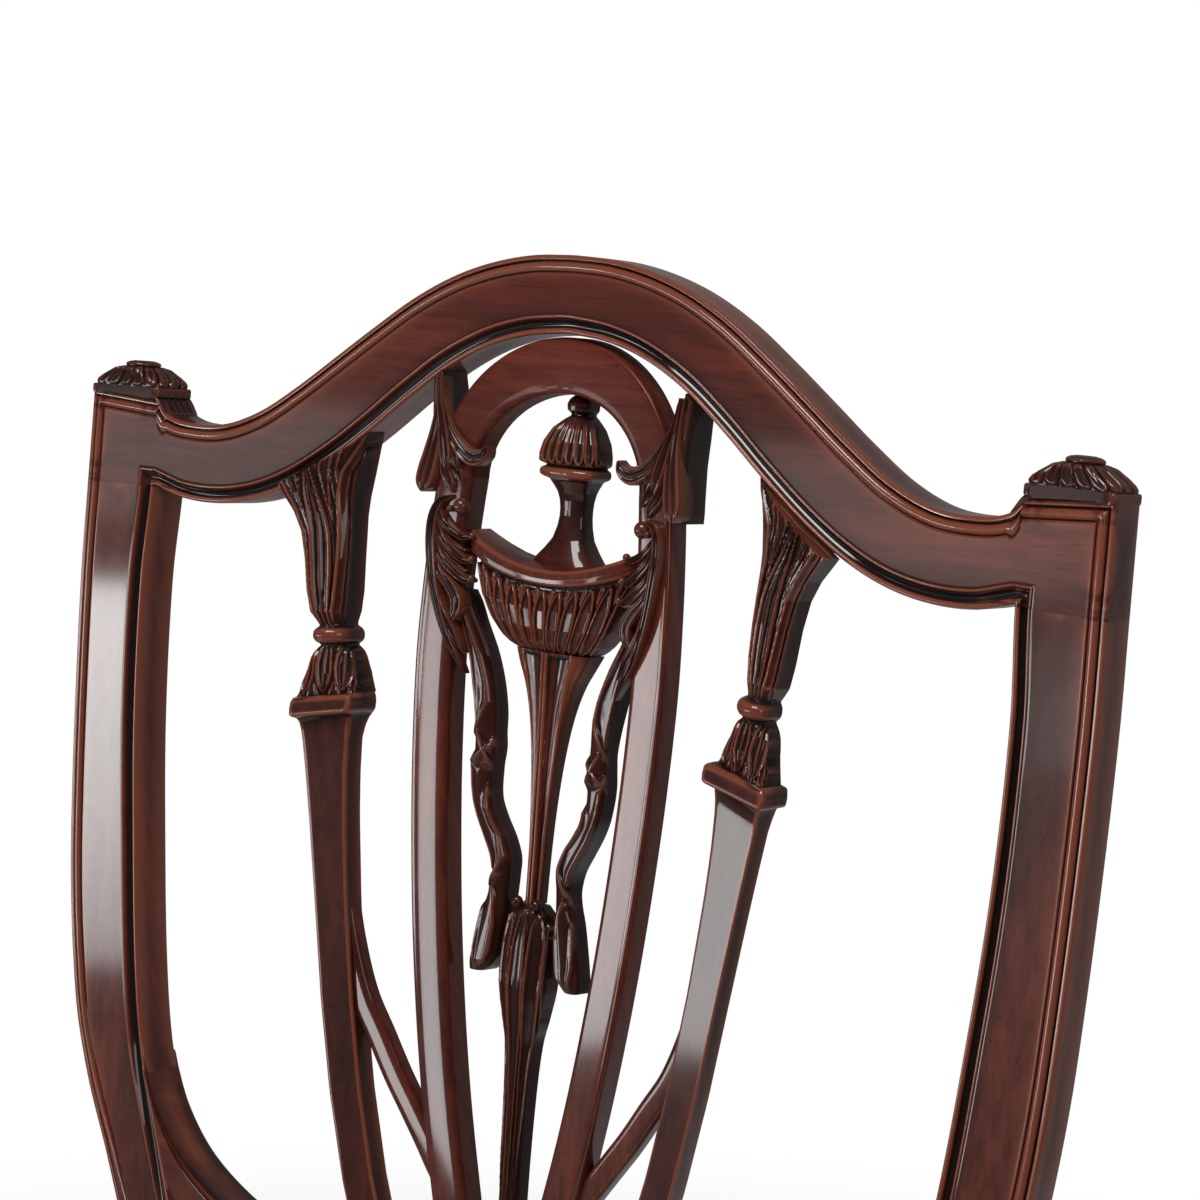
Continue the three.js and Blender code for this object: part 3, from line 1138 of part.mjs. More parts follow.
const ribU = CAPITAL_SHARES[0][1] * SHIELD_HALF_WIDTH;
const ribTenon = (grow) => bar(
  backPoint, ribU, crestLow(ribU), RIB_TENON_WIDTH / 2 + grow, RIB_TENON_LENGTH + grow,
  TENON_COVER - grow, TENON_COVER + RIB_TENON_DEPTH + grow,
);
const archTenon = (grow) => bar(
  splatPoint, 0, crestLow(0), RIB_TENON_WIDTH / 2 + grow, RIB_TENON_LENGTH + grow,
  TENON_COVER - grow, TENON_COVER + RIB_TENON_DEPTH + grow,
);
const hoopTongue = (grow) => bar(
  splatPoint, hoopMiddle(ARCH_SPRING), ARCH_SPRING, RIB_TENON_WIDTH / 2 + grow, RIB_TENON_LENGTH + grow,
  TENON_COVER - grow, TENON_COVER + RIB_TENON_DEPTH + grow,
);
const urnPeg = (v, grow) => bar(
  splatPoint, 0, v, PEG_WIDTH / 2 + grow, PEG_LENGTH + grow,
  (CARVING_DEPTH - PEG_WIDTH) / 2 - grow, (CARVING_DEPTH + PEG_WIDTH) / 2 + grow,
);

// Crest, ears, posts and base
add('crest_rail', cut(
  solid(crestGeometry()), ...bothSides(stileTenon(JOINT_GAP)), ...bothSides(capSpigot(JOINT_GAP)),
  ...bothSides(ribTenon(JOINT_GAP)), archTenon(JOINT_GAP),
), mahogany);
addPair('ear_cap', join(cut(solid(earCapGeometry()), underCap()), capSpigot(0)), mahogany);
const rearGlideAt = rearLegCentre(FOOT_LEVEL);
const frontGlideAt = [LEG_CORNER_X - LEG_ANKLE / 2, LEG_CORNER_Y + LEG_ANKLE / 2];
const glideSpace = ([x, y]) => solid(glideGeometry(x, y, JOINT_GAP));
addPair('back_post', cut(
  join(post, stileTenon(0)), baseTenon(JOINT_GAP), rearRailTenon(JOINT_GAP), sideRearTenon(JOINT_GAP),
  tenonPlank(...sideEnds, STRETCHER_LEVEL, JOINT_GAP),
  tenonPlank(...rearEnds, REAR_STRETCHER_LEVEL, JOINT_GAP), glideSpace(rearGlideAt),
), mahogany);
add('shield_base_rail', join(
  cut(join(baseRailBody(), lunetteBody(0)), ...bothSides(postSpace)), ...bothSides(baseTenon(0)),
), mahogany);

// Splat
addPair('outer_rib', join(cut(outerRibBody(0), crestSpace, baseSpace), ribTenon(0)), mahogany);
addPair('rib_branch', cut(branchBody(), ribSpace, ...hoopSpaces), mahogany);
add('hoop_arch', cut(
  join(cut(archBody(0), crestSpace), archTenon(0), ...bothSides(hoopTongue(0))), urnPeg(KNOB_TOP, JOINT_GAP),
), mahogany);
addPair('hoop_rib', cut(hoopRibBody(0), baseSpace, hoopTongue(JOINT_GAP)), mahogany);
const bowlSpace = bowlBody(JOINT_GAP);
const finialRings = urnRings(FINIAL_SHARES, KNOB_TOP, FINIAL_LENGTH + JOINT_GAP, FINIAL_HALF_WIDTH, 0);
add('urn_finial', join(
  cut(solid(loft(finialRings)), bowlSpace), urnPeg(KNOB_TOP, 0), urnPeg(BOWL_TOP, 0),
), mahogany);
add('urn_bowl', cut(
  bowlBody(0), ...hoopSpaces, urnPeg(BOWL_TOP, JOINT_GAP), urnPeg(STEM_TOP, JOINT_GAP),
), mahogany);
add('urn_stem', join(
  solid(loft(urnRings(STEM_SHARES, STEM_TOP, STEM_LENGTH, STEM_HALF_WIDTH, 0))), urnPeg(STEM_TOP, 0),
), mahogany);
const calyxRings = (grow) => urnRings(CALYX_SHARES, CALYX_TOP, CALYX_LENGTH, CALYX_HALF_WIDTH, grow);
const calyxSpace = solid(loft(calyxRings(JOINT_GAP)));
add('calyx_stalk', cut(solid(loft(calyxRings(0))), baseSpace), mahogany);
addPair('cloth_swag', cut(
  trailBody(SWAG_SHARES, SWAG_HALF_WIDTH, () => SWAG_FRONT, SWAG_BACK, 0),
  ...hoopSpaces, calyxSpace, bowlSpace,
), mahogany);
addPair('leaf_spray', cut(
  trailBody(SPRAY_SHARES, SPRAY_HALF_WIDTH, (rise) => -rise * SPRAY_RISE, -JOINT_GAP, 0), bowlSpace,
), mahogany);
addPair('husk_drop', cut(
  trailBody(
    HUSK_SHARES, HUSK_HALF_WIDTH, (rise) => -rise * HUSK_RISE, CARVING_DEPTH,
    THREE.MathUtils.degToRad(HUSK_TILT_DEGREES),
  ), ...hoopSpaces, crestSpace,
), mahogany);

// Seat frame
const screws = Object.entries(screwPlaces());
const screwSpaces = screws.map(([, at]) => solid(screwGeometry(at, JOINT_GAP)));
const allScrewSpaces = screwSpaces.flatMap(bothSides);
const frontRailEnd = LEG_INNER - JOINT_GAP;
const rearRailEnd = POST_INNER - JOINT_GAP;
add('front_rail', cut(join(
  box(-frontRailEnd, frontRailEnd, FRONT_RAIL_FACE, FRONT_RAIL_INNER, RAIL_LOW, RAIL_TOP),
  ...bothSides(frontRailTenon(0)),
), ...allScrewSpaces), beech);
add('rear_rail', cut(join(
  box(-rearRailEnd, rearRailEnd, REAR_RAIL_SETBACK, REAR_RAIL_BACK, RAIL_LOW, RAIL_TOP),
  ...bothSides(rearRailTenon(0)),
), ...allScrewSpaces), beech);
const [sideFrontY, sideRearY] = [LEG_BACK + JOINT_GAP, -JOINT_GAP];
addPair('side_rail', cut(join(
  slab([
    [sideInner(sideFrontY), sideFrontY], [sideOuter(sideFrontY), sideFrontY],
    [sideOuter(sideRearY), sideRearY], [sideInner(sideRearY), sideRearY],
  ], RAIL_LOW, RAIL_TOP), sideFrontTenon(0), sideRearTenon(0),
), ...screwSpaces), beech);

screws.forEach(([name, at]) => addPair(name, screwGeometry(at, 0), steel));
addPair('front_corner_block', cut(slab(frontBlockOutline(), BLOCK_LOW, BLOCK_TOP), ...screwSpaces), beech);
addPair('rear_corner_block', cut(slab(rearBlockOutline(), BLOCK_LOW, BLOCK_TOP), ...screwSpaces), beech);

// Legs, stretchers and glides
addPair('front_leg', cut(
  leg, frontRailTenon(JOINT_GAP), sideFrontTenon(JOINT_GAP),
  tenonPlank(...sideEnds, STRETCHER_LEVEL, JOINT_GAP), glideSpace(frontGlideAt),
), mahogany);
addPair('side_stretcher', cut(
  join(cut(sideStretcherBlank(0), legSpace, postSpace), tenonPlank(...sideEnds, STRETCHER_LEVEL, 0)),
  tenonPlank(...crossEnds, STRETCHER_LEVEL, JOINT_GAP),
), mahogany);
add('cross_stretcher', join(
  cut(
    plank(...crossEnds, STRETCHER_THICKNESS, STRETCHER_LOW, STRETCHER_HIGH),
    ...bothSides(sideStretcherBlank(JOINT_GAP)),
  ), tenonPlank(...crossEnds, STRETCHER_LEVEL, 0),
), mahogany);
const rearLow = REAR_STRETCHER_LEVEL - STRETCHER_HEIGHT / 2;
add('rear_stretcher', join(
  cut(
    plank(...rearEnds, STRETCHER_THICKNESS, rearLow, rearLow + STRETCHER_HEIGHT), ...bothSides(postSpace),
  ), tenonPlank(...rearEnds, REAR_STRETCHER_LEVEL, 0),
), mahogany);
addPair('front_glide', glideGeometry(...frontGlideAt, 0), steel);
addPair('rear_glide', glideGeometry(...rearGlideAt, 0), steel);

// Upholstery
add('seat_webbing', webbingBody(), jute);
add('hessian', hessianBody(), jute);
add('seat_pad', padBody(), foam);
add('seat_cover', coverBody(), seatCloth);
add('dust_cover', dustCoverBody(), blackCloth);

// The middle of the footprint goes to the origin
const extent = new THREE.Box3().setFromObject(group);
const shift = -(extent.min.y + extent.max.y) / 2;
group.children.forEach((mesh) => {
  mesh.geometry.translate(0, shift, 0);
  mesh.geometry.computeVertexNormals();
});

export default group;
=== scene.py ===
# %% [markdown]
# # A mahogany shield back chair, dressed piece by piece
# The plain solids of the chair come in as a fixed frame. Each cell below takes one piece, says what it is
# on the real chair, and gives it the fine shape and the finish that the plain solid lacks.
# Lengths in the tables are in millimetres, and the scene itself is in metres.

# %% Load the frame
import math
from contextlib import contextmanager

import bpy
import numpy as np
from mathutils import Matrix, Vector
from mathutils.bvhtree import BVHTree


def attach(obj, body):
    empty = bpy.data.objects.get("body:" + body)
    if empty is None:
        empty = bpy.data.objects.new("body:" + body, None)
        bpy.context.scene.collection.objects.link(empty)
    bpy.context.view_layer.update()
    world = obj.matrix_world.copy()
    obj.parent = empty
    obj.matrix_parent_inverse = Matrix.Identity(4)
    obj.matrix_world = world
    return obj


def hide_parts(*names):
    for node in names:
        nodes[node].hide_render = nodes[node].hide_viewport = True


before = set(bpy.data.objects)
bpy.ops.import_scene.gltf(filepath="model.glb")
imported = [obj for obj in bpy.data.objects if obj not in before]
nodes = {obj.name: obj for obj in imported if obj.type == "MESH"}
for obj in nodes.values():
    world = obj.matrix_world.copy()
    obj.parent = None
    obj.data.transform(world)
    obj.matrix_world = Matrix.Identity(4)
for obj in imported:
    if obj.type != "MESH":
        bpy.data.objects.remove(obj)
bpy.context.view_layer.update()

MM = 0.001
print("solids in the frame:", len(nodes))

# %% [markdown]
# ## Camera
# The photograph looks down at the back from the chair's front right, from about a metre and a half away.
# The camera's place and lens were fitted to matching points of the two halves of the back, so the
# pieces fall where they do in the photograph.

# %% Camera
camera_data = bpy.data.cameras.new("photo_camera")
camera_data.sensor_width = 36
camera_data.lens = 81.44
camera_data.clip_start, camera_data.clip_end = 0.05, 60
camera = bpy.data.objects.new("photo_camera", camera_data)
bpy.context.scene.collection.objects.link(camera)
camera.location = (0.6644, -0.62535, 1.0951)
camera.rotation_euler = (math.radians(90 - 11.83), 0, math.radians(36.73))
bpy.context.scene.camera = camera
print("camera lens", camera_data.lens)

# %% [markdown]
# ## Smooth lines from a few places
# A chair maker draws a curve through a few marked points with a bent lath. The same is done here: a table
# holds the marked places, and `lath` gives the smooth line through them at any other place.

# %% Lath
def lath(table, place, column=1):
    """The smooth line through a table's first column and another one."""
    marks = np.array([row[0] for row in table], float)
    values = np.array([row[column] for row in table], float)
    at = np.clip(place, marks[0], marks[-1])
    i = np.clip(np.searchsorted(marks, at, side="left") - 1, 0, len(marks) - 2)
    before, after = np.maximum(np.arange(len(marks)) - 1, 0), np.minimum(np.arange(len(marks)) + 1, len(marks) - 1)
    slope = (values[after] - values[before]) / (marks[after] - marks[before])
    span = marks[i + 1] - marks[i]
    t = (at - marks[i]) / span
    return ((2 * t**3 - 3 * t**2 + 1) * values[i] + (t**3 - 2 * t**2 + t) * span * slope[i]
            + (3 * t**2 - 2 * t**3) * values[i + 1] + (t**3 - t**2) * span * slope[i + 1])


# %% [markdown]
# ## The leaning, hollow back
# The back leans by a few degrees and is slightly hollow, so that it fits a sitter. It is easiest to draw
# flat: `u` runs across, `v` up along the lean, and `d` into the wood. `on_back` lays a flat drawing on the
# leaning, hollow surface, and `on_splat` does the same for the splat, which stands in a deeper curve.

# %% From the drawing board to the chair
RAKE = math.radians(7.8)
RAIL_TOP, RAIL_LOW = 432.0, 370.0
SHIELD_FOOT, SHIELD_DROP, SHIELD_HALF, CREST_RISE = 93.0, 415.0, 256.0, 72.0
EAR_LEVEL = RAIL_TOP + SHIELD_FOOT + SHIELD_DROP * math.cos(RAKE)
SEAT_TO_BACK = 158.647
BACK_Y = 76.477 + SEAT_TO_BACK
POST_HALF, POST_WIDTH, FRAME_DEPTH = 197.0, 34.0, 22.0
BACK_HOLLOW, SPLAT_SET, SPLAT_CURVE, SPLAT_ROUND = 15.0, 5.7, 0.1, 15.0


def on_back(u, v, d):
    y = BACK_Y + v * math.sin(RAKE) + d * math.cos(RAKE) - BACK_HOLLOW * (u / SHIELD_HALF) ** 2
    return np.stack([u + 0 * y, y, EAR_LEVEL + v * math.cos(RAKE) - d * math.sin(RAKE)], -1)


def on_splat(u, v, d):
    return on_back(u, v, d + SPLAT_SET - SPLAT_CURVE * np.hypot(u, SPLAT_ROUND))


def drawn_level(x, y, z):
    """The level v on the drawing of a place on the chair."""
    flat_y = y - BACK_Y + BACK_HOLLOW * (x / SHIELD_HALF) ** 2
    return (z - EAR_LEVEL) * math.cos(RAKE) + flat_y * math.sin(RAKE)


print("ears stand at", round(EAR_LEVEL), "mm")

# %% [markdown]
# ## Turning a drawing into wood
# Most pieces of this back are long and curved, with a section that changes along the way. Extruding such
# a piece step by step would mean hundreds of small moves, so `skin` starts from a grid, lays each row of the
# grid on one section of the piece, and then does what one would do by hand in edit mode: it merges the
# seam and the ends, and turns the faces outwards. `both_sides` gives the chair's left side the mirrored piece.

# %% Skin, mirror and join
def only(*pieces):
    """Selects these pieces alone."""
    bpy.ops.object.select_all(action="DESELECT")
    for piece in pieces:
        piece.select_set(True)
    bpy.context.view_layer.objects.active = pieces[0]


@contextmanager
def edited(piece):
    """Edit mode, with the whole of one piece selected."""
    only(piece)
    bpy.ops.object.mode_set(mode="EDIT")
    bpy.ops.mesh.select_all(action="SELECT")
    yield
    bpy.ops.object.mode_set(mode="OBJECT")


def named(piece, name):
    piece.name = piece.data.name = name
    return piece


def added(name, add, **settings):
    """A new primitive under its own name."""
    bpy.ops.object.select_all(action="DESELECT")
    add(**settings)
    return named(bpy.context.object, name)


def points_of(piece):
    flat = np.empty(len(piece.data.vertices) * 3)
    piece.data.vertices.foreach_get("co", flat)
    return flat.reshape(-1, 3)


def keep_values(piece, name, values):
    """Keeps one number on each point of a piece."""
    piece.data.attributes.new(name, "FLOAT", "POINT").data.foreach_set("value", values.astype(np.float32))


def skin(name, rings, first=None, last=None, crease=35, depth=None):
    """A closed piece through rings, an array of rows, points and three numbers in millimetres."""
    rows, points = rings.shape[:2]
    sheet = np.empty((rows + 2, points + 1, 3))
    sheet[1:-1, :-1], sheet[1:-1, -1] = rings, rings[:, 0]
    sheet[0] = rings[0].mean(0) if first is None else first
    sheet[-1] = rings[-1].mean(0) if last is None else last
    piece = added(name, bpy.ops.mesh.primitive_grid_add, x_subdivisions=points, y_subdivisions=rows + 1, size=2)
    net = points_of(piece).round(4)
    order = np.lexsort((net[:, 0], net[:, 1]))
    net[order] = sheet.reshape(-1, 3) * MM
    piece.data.vertices.foreach_set("co", net.ravel())
    if depth is not None:
        deep = np.pad(depth, ((1, 1), (0, 1)), "edge")
        ordered = np.empty(deep.size)
        ordered[order] = deep.ravel()
        keep_values(piece, "deep", ordered)
    with edited(piece):
        bpy.ops.mesh.remove_doubles(threshold=2e-6)
        bpy.ops.mesh.normals_make_consistent(inside=False)
    bpy.ops.object.shade_smooth_by_angle(angle=math.radians(crease))
    return piece


def joined(name, pieces):
    only(*pieces)
    bpy.ops.object.join()
    return named(bpy.context.object, name)


def settle(piece, material, slot, *stands_for):
    """Gives a piece its finish, its place in the frame and the solids that it stands for."""
    piece.data.materials.clear()
    piece.data.materials.append(material)
    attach(piece, "root")
    if stands_for:
        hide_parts(*stands_for)


def both_sides(right, material):
    """Settles a piece of the right side, and its mirrored twin with its own mesh on the left."""
    only(right)
    bpy.ops.object.duplicate()
    left = named(bpy.context.object, right.name.replace("right", "left"))
    with edited(left):
        bpy.ops.transform.resize(value=(-1, 1, 1), center_override=(0, 0, 0))
        bpy.ops.mesh.normals_make_consistent(inside=False)
    for piece in (right, left):
        settle(piece, material, "mahogany", piece.name.removesuffix("_dressed"))


print("helpers ready")

# %% [markdown]
# ## Painted shade in the hollows, painted highlight on the high places
# Near-black painted shade lies in the hollows of the carving and the mouldings, where shade falls, and on deep sides
# that turn away. The high places get an orange-red that is partly wear of the lacquer and partly painted highlight.
# The function below measures on each point how far it lies below or above the smoothed surface round it, and
# keeps that as two attributes that the mahogany reads. The seam between an ear and its post keeps none, so that
# it doesn't show as a dark line.

# %% Painted shade and highlight
# The first is the strongest painted shade on deep parts, and the second the share of it kept on faces that turn to the
# back.
SHADE_FULL, SHADE_BEHIND = 0.92, 0.3
SEAM_DROP, SEAM_NEAR, SEAM_OUT = 41, 0.5, 200


def paint_shade_and_highlight(piece, rounds=12, reach=0.1, blur=2, dark=None, least=0.0):
    """dark, where given, is the depth at which painted shade of deep parts begins and the depth at which it is
    full; least is the darkening that lies everywhere, which also narrows the painted highlight."""
    mesh = piece.data
    count = len(mesh.vertices)
    at = points_of(piece) / MM
    way = np.empty(count * 3)
    mesh.vertex_normals.foreach_get("vector", way)
    way = way.reshape(-1, 3)
    pairs = np.empty(len(mesh.edges) * 2, int)
    mesh.edges.foreach_get("vertices", pairs)
    a, b = pairs.reshape(-1, 2).T
    weight = 1 / (((at[a] - at[b]) ** 2).sum(1) + 0.02)
    total = np.maximum(np.bincount(a, weight, count) + np.bincount(b, weight, count), 1e-9)

    def smoothed(values, times):
        """Each point takes the mean of its neighbours, the near ones counting most."""
        for _ in range(times):
            near = [np.bincount(a, weight * values[b, i], count) + np.bincount(b, weight * values[a, i], count)
                    for i in range(values.shape[1])]
            values = np.stack(near, -1) / total[:, None]
        return values

    # How far each point lies under the smoothed surface: hollows get painted shade, and high places painted highlight.
    below = ((smoothed(at, rounds) - at) * way).sum(1)[:, None] / reach
    below = smoothed(below, blur)[:, 0]
    hollow = np.clip(below, least, 1)
    # Deep parts, such as sides that turn away from the front, get painted shade by their depth, and faces turned to
    # the back keep less of it.
    if dark:
        deep = np.empty(count, np.float32)
        mesh.attributes["deep"].data.foreach_get("value", deep)
        turned_back = way[:, 1] * math.cos(RAKE) - way[:, 2] * math.sin(RAKE)
        kept = np.interp(turned_back, [0.6, 0.9], [1, SHADE_BEHIND])
        hollow = np.maximum(hollow, np.interp(deep, dark, [0, SHADE_FULL]) * kept)
    seam = (np.abs(drawn_level(*at.T) + SEAM_DROP) < SEAM_NEAR) & (np.abs(at[:, 0]) > SEAM_OUT)
    # The first attribute carries painted shade, and the second painted highlight that is partly wear.
    for name, values in (("hollow", hollow), ("worn_and_highlit", -below - least)):
        keep_values(piece, name, np.clip(values * ~seam, 0, 1))


print("stain ready")

# %% [markdown]
# ## Mahogany
# Mahogany shows long streaks, short dark pores and a slow change from brown to red. All of it runs along the
# board, so each length of wood needs its own grain direction. The finish is a polished lacquer, so a clear coat
# lies over the wood. A photograph of wood would repeat and needs a file, so noise textures draw it here.

# %% Node helpers
def new_material(name, roughness, coat=0.0, coat_roughness=0.1, specular=0.5):
    material = bpy.data.materials.new(name)
    material.use_nodes = True
    shader = material.node_tree.nodes["Principled BSDF"]
    shader.inputs["Roughness"].default_value = roughness
    shader.inputs["Coat Weight"].default_value = coat
    shader.inputs["Coat Roughness"].default_value = coat_roughness
    shader.inputs["Specular IOR Level"].default_value = specular
    return material, material.node_tree, shader


def step(tree, kind, inputs=None, **settings):
    """Adds a node, sets its choices, and sets or links its inputs."""
    made = tree.nodes.new(kind)
    for key, value in settings.items():
        setattr(made, key, value)
    for key, value in (inputs or {}).items():
        if isinstance(value, bpy.types.NodeSocket):
            tree.links.new(value, made.inputs[key])
        else:
            made.inputs[key].default_value = value
    return made


def streaks(tree, scale, stretch, turn=0.0, detail=4.0, roughness=0.55, distortion=0.0):
    """Noise that is drawn out along one axis, as stretch says."""
    place = step(tree, "ShaderNodeTexCoord").outputs["Object"]
    turned = step(tree, "ShaderNodeMapping", {"Vector": place, "Rotation": (turn, 0, 0)}).outputs["Vector"]
    stretched = step(tree, "ShaderNodeMapping", {"Vector": turned, "Scale": stretch}).outputs["Vector"]
    return step(tree, "ShaderNodeTexNoise", {
        "Vector": stretched, "Scale": scale, "Detail": detail, "Roughness": roughness, "Distortion": distortion,
    }).outputs["Fac"]


def drawn_out(axis, slow):
    """The stretch of a grain that runs along one axis."""
    return tuple(slow if letter == axis else 1 for letter in "xyz")


def bumped(tree, shader, height, strength, distance):
    bump = step(tree, "ShaderNodeBump", {"Height": height, "Strength": strength, "Distance": distance})
    tree.links.new(bump.outputs["Normal"], shader.inputs["Normal"])


def ramp(tree, value, stops):
    made = step(tree, "ShaderNodeValToRGB", {"Fac": value})
    elements = made.color_ramp.elements
    while len(elements) < len(stops):
        elements.new(0.5)
    for element, (place, colour) in zip(elements, stops):
        element.position = place
        element.color = (*colour, 1)
    return made.outputs["Color"]


def mix(tree, factor, a, b, blend="MIX"):
    made = step(tree, "ShaderNodeMix", data_type="RGBA", blend_type=blend)
    for socket, value in ((made.inputs[0], factor), (made.inputs[6], a), (made.inputs[7], b)):
        if isinstance(value, bpy.types.NodeSocket):
            tree.links.new(value, socket)
        else:
            socket.default_value = (*value, 1) if isinstance(value, tuple) else value
    return made.outputs[2]


def sums(tree, operation, a, b, clamp=False):
    return step(tree, "ShaderNodeMath", {0: a, 1: b}, operation=operation, use_clamp=clamp).outputs[0]


# %% Mahogany
WOOD_TONES = (0.036, 0.0066, 0.0042), (0.086, 0.0155, 0.0083), (0.165, 0.033, 0.016)
# Orange-red for the high places, partly wear and partly painted highlight, and near-black painted shade for hollows
# and deep sides.
WORN_AND_HIGHLIGHT_TONE, PAINTED_SHADE_TONE = (0.21, 0.056, 0.028), (0.006, 0.0032, 0.0028)


def mahogany(name, axis, lean=0.0, light=1.0, coat=1.0):
    """Lacquered mahogany whose grain runs along one axis, and leans with the back."""
    material, tree, shader = new_material(name, 0.4, coat=coat, coat_roughness=0.07, specular=0.12)
    figure = streaks(tree, 26, drawn_out(axis, 0.045), lean, 3, 0.5, 0.4)
    fibre = streaks(tree, 240, drawn_out(axis, 0.045), lean, 5, 0.6)
    pores = streaks(tree, 900, drawn_out(axis, 0.035), lean, 2, 0.5)
    brown, middle, red = (tuple(light * c for c in tone) for tone in WOOD_TONES)
    board = ramp(tree, figure, [(0.25, brown), (0.52, middle), (0.8, red)])
    threads = ramp(tree, fibre, [(0.3, (0.62, 0.58, 0.56)), (0.7, (1.18, 1.16, 1.15))])
    grained = mix(tree, 1.0, board, threads, "MULTIPLY")
    dots = ramp(tree, pores, [(0.6, (1, 1, 1)), (0.72, (0.45, 0.4, 0.38))])
    grained = mix(tree, 0.8, grained, dots, "MULTIPLY")
    # The two attributes from the shade pass: painted highlight, partly wear, on high places, and painted shade in
    # hollows and on deep sides.
    marks = [step(tree, "ShaderNodeAttribute", attribute_name=key) for key in ("worn_and_highlit", "hollow")]
    worn_and_highlit, hollow = (mark.outputs["Fac"] for mark in marks)
    high = sums(tree, "MULTIPLY", sums(tree, "MULTIPLY", worn_and_highlit, worn_and_highlit), 0.8)
    worn_and_lit = mix(tree, high, grained, WORN_AND_HIGHLIGHT_TONE)
    shaded = mix(tree, sums(tree, "MULTIPLY", hollow, 0.95), worn_and_lit, PAINTED_SHADE_TONE)
    tree.links.new(shaded, shader.inputs["Base Color"])
    gloss = ramp(tree, fibre, [(0.3, (0.46, 0.46, 0.46)), (0.75, (0.36, 0.36, 0.36))])
    dull = mix(tree, sums(tree, "MULTIPLY", hollow, 0.7), gloss, (0.62, 0.62, 0.62))
    tree.links.new(dull, shader.inputs["Roughness"])
    bumped(tree, shader, sums(tree, "ADD", fibre, sums(tree, "MULTIPLY", pores, -0.6)), 0.1, 0.0002)
    return material


across_wood = mahogany("mahogany_across", "x", light=1.05)
upright_wood = mahogany("mahogany_upright", "z", -RAKE)
leg_wood = mahogany("mahogany_leg", "z")
side_wood = mahogany("mahogany_side", "y")
# The carved pieces take a darker copy of the wood, which paints the shade of the deep carving over them.
shaded_carved_wood = mahogany("mahogany_carved_shaded", "z", -RAKE, 0.62, 0.8)
arch_wood = mahogany("mahogany_arch", "x", light=1.1, coat=0.2)
urn_wood = mahogany("mahogany_urn", "z", -RAKE, 1.2, 0.6)
print("mahogany cuts:", sum(material.name.startswith("mahogany") for material in bpy.data.materials))

# %% [markdown]
# ## The shield's moulding
# A fine moulding runs round the shield. On the outer edge there is a narrow strip, a dark quirk and a round
# bead, and on the inner edge a fillet, a dark cove and a small lip. A moulding plane cuts the same profile
# all round, so the profile is drawn once, as depth against the distance from the edge, and at each point the
# nearer edge says how deep the wood is. That also mitres the corners by itself.

# %% Moulding profiles
OUTER_MOULD = [
    (0, 2.4), (0.12, 1.9), (0.35, 1.55), (0.7, 1.4), (1.6, 1.35), (2.1, 1.4), (2.4, 1.7), (2.6, 2.3), (2.9, 2.6),
    (3.2, 2.4), (3.4, 1.8), (3.7, 1.2), (4.2, 0.6), (4.8, 0.2), (5.6, 0), (6.4, 0.14), (7.0, 0.45), (7.6, 0.9),
    (8.0, 1.4), (8.2, 1.62), (8.4, 1.45), (8.6, 1.1), (9.0, 0.95),
]
INNER_MOULD = [
    (0, 3.3), (0.12, 2.6), (0.4, 1.95), (0.8, 1.6), (1.3, 1.5), (1.8, 1.7), (2.2, 2.2), (2.45, 3.0), (2.7, 3.7),
    (3.4, 4.1), (4.2, 4.0), (5.0, 3.4), (5.7, 2.5), (6.2, 1.6), (6.5, 0.9), (6.7, 0.55), (7.0, 0.4), (7.4, 0.42),
    (7.65, 0.6), (7.85, 0.9), (8.3, 0.95),
]
FACE_LEVEL, BACK_EASE, OUTER_SCALE = 0.95, 2.5, 0.85
FACE_SHARES = np.array([0.02, 0.08, 0.3, 0.5, 0.7, 0.92, 0.98])
outer_steps = OUTER_SCALE * np.array([s for s, _ in OUTER_MOULD])
inner_steps = np.array([s for s, _ in INNER_MOULD])


def mould_depth(from_outer, from_inner):
    outer = np.interp(from_outer, outer_steps, [d for _, d in OUTER_MOULD])
    inner = np.interp(from_inner, inner_steps, [d for _, d in INNER_MOULD])
    return np.where(from_inner < inner_steps[-1], inner, np.where(from_outer < outer_steps[-1], outer, FACE_LEVEL))


def round_the_back(depth_outer, depth_inner, width, depth):
    """Places across and depths for the inner side, the back and the outer side of a member."""
    side, straight = np.linspace(0.15, 1, 4), depth - BACK_EASE
    turns = np.linspace(0, np.pi / 2, 5)[1:]
    corner = [(BACK_EASE * (1 - np.cos(turn)), depth - BACK_EASE * (1 - np.sin(turn))) for turn in turns]
    across = [width for _ in side] + [width - s for s, _ in corner]
    deep = [depth_inner + (straight - depth_inner) * share for share in side] + [d for _, d in corner]
    across += [BACK_EASE + (width - 2 * BACK_EASE) * share for share in (0.66, 0.33)]
    deep += [depth + 0 * width] * 2
    across += [s for s, _ in corner[::-1]] + [0 * width for _ in side]
    deep += [d for _, d in corner[::-1]] + [depth_outer + (straight - depth_outer) * share for share in side[::-1]]
    return across, deep


print("profile points:", len(OUTER_MOULD) + len(INNER_MOULD))

# %% [markdown]
# ## Edges of the shield
# These tables hold the lines of the crest, the stiles and the base, as shares of the shield's own sizes.

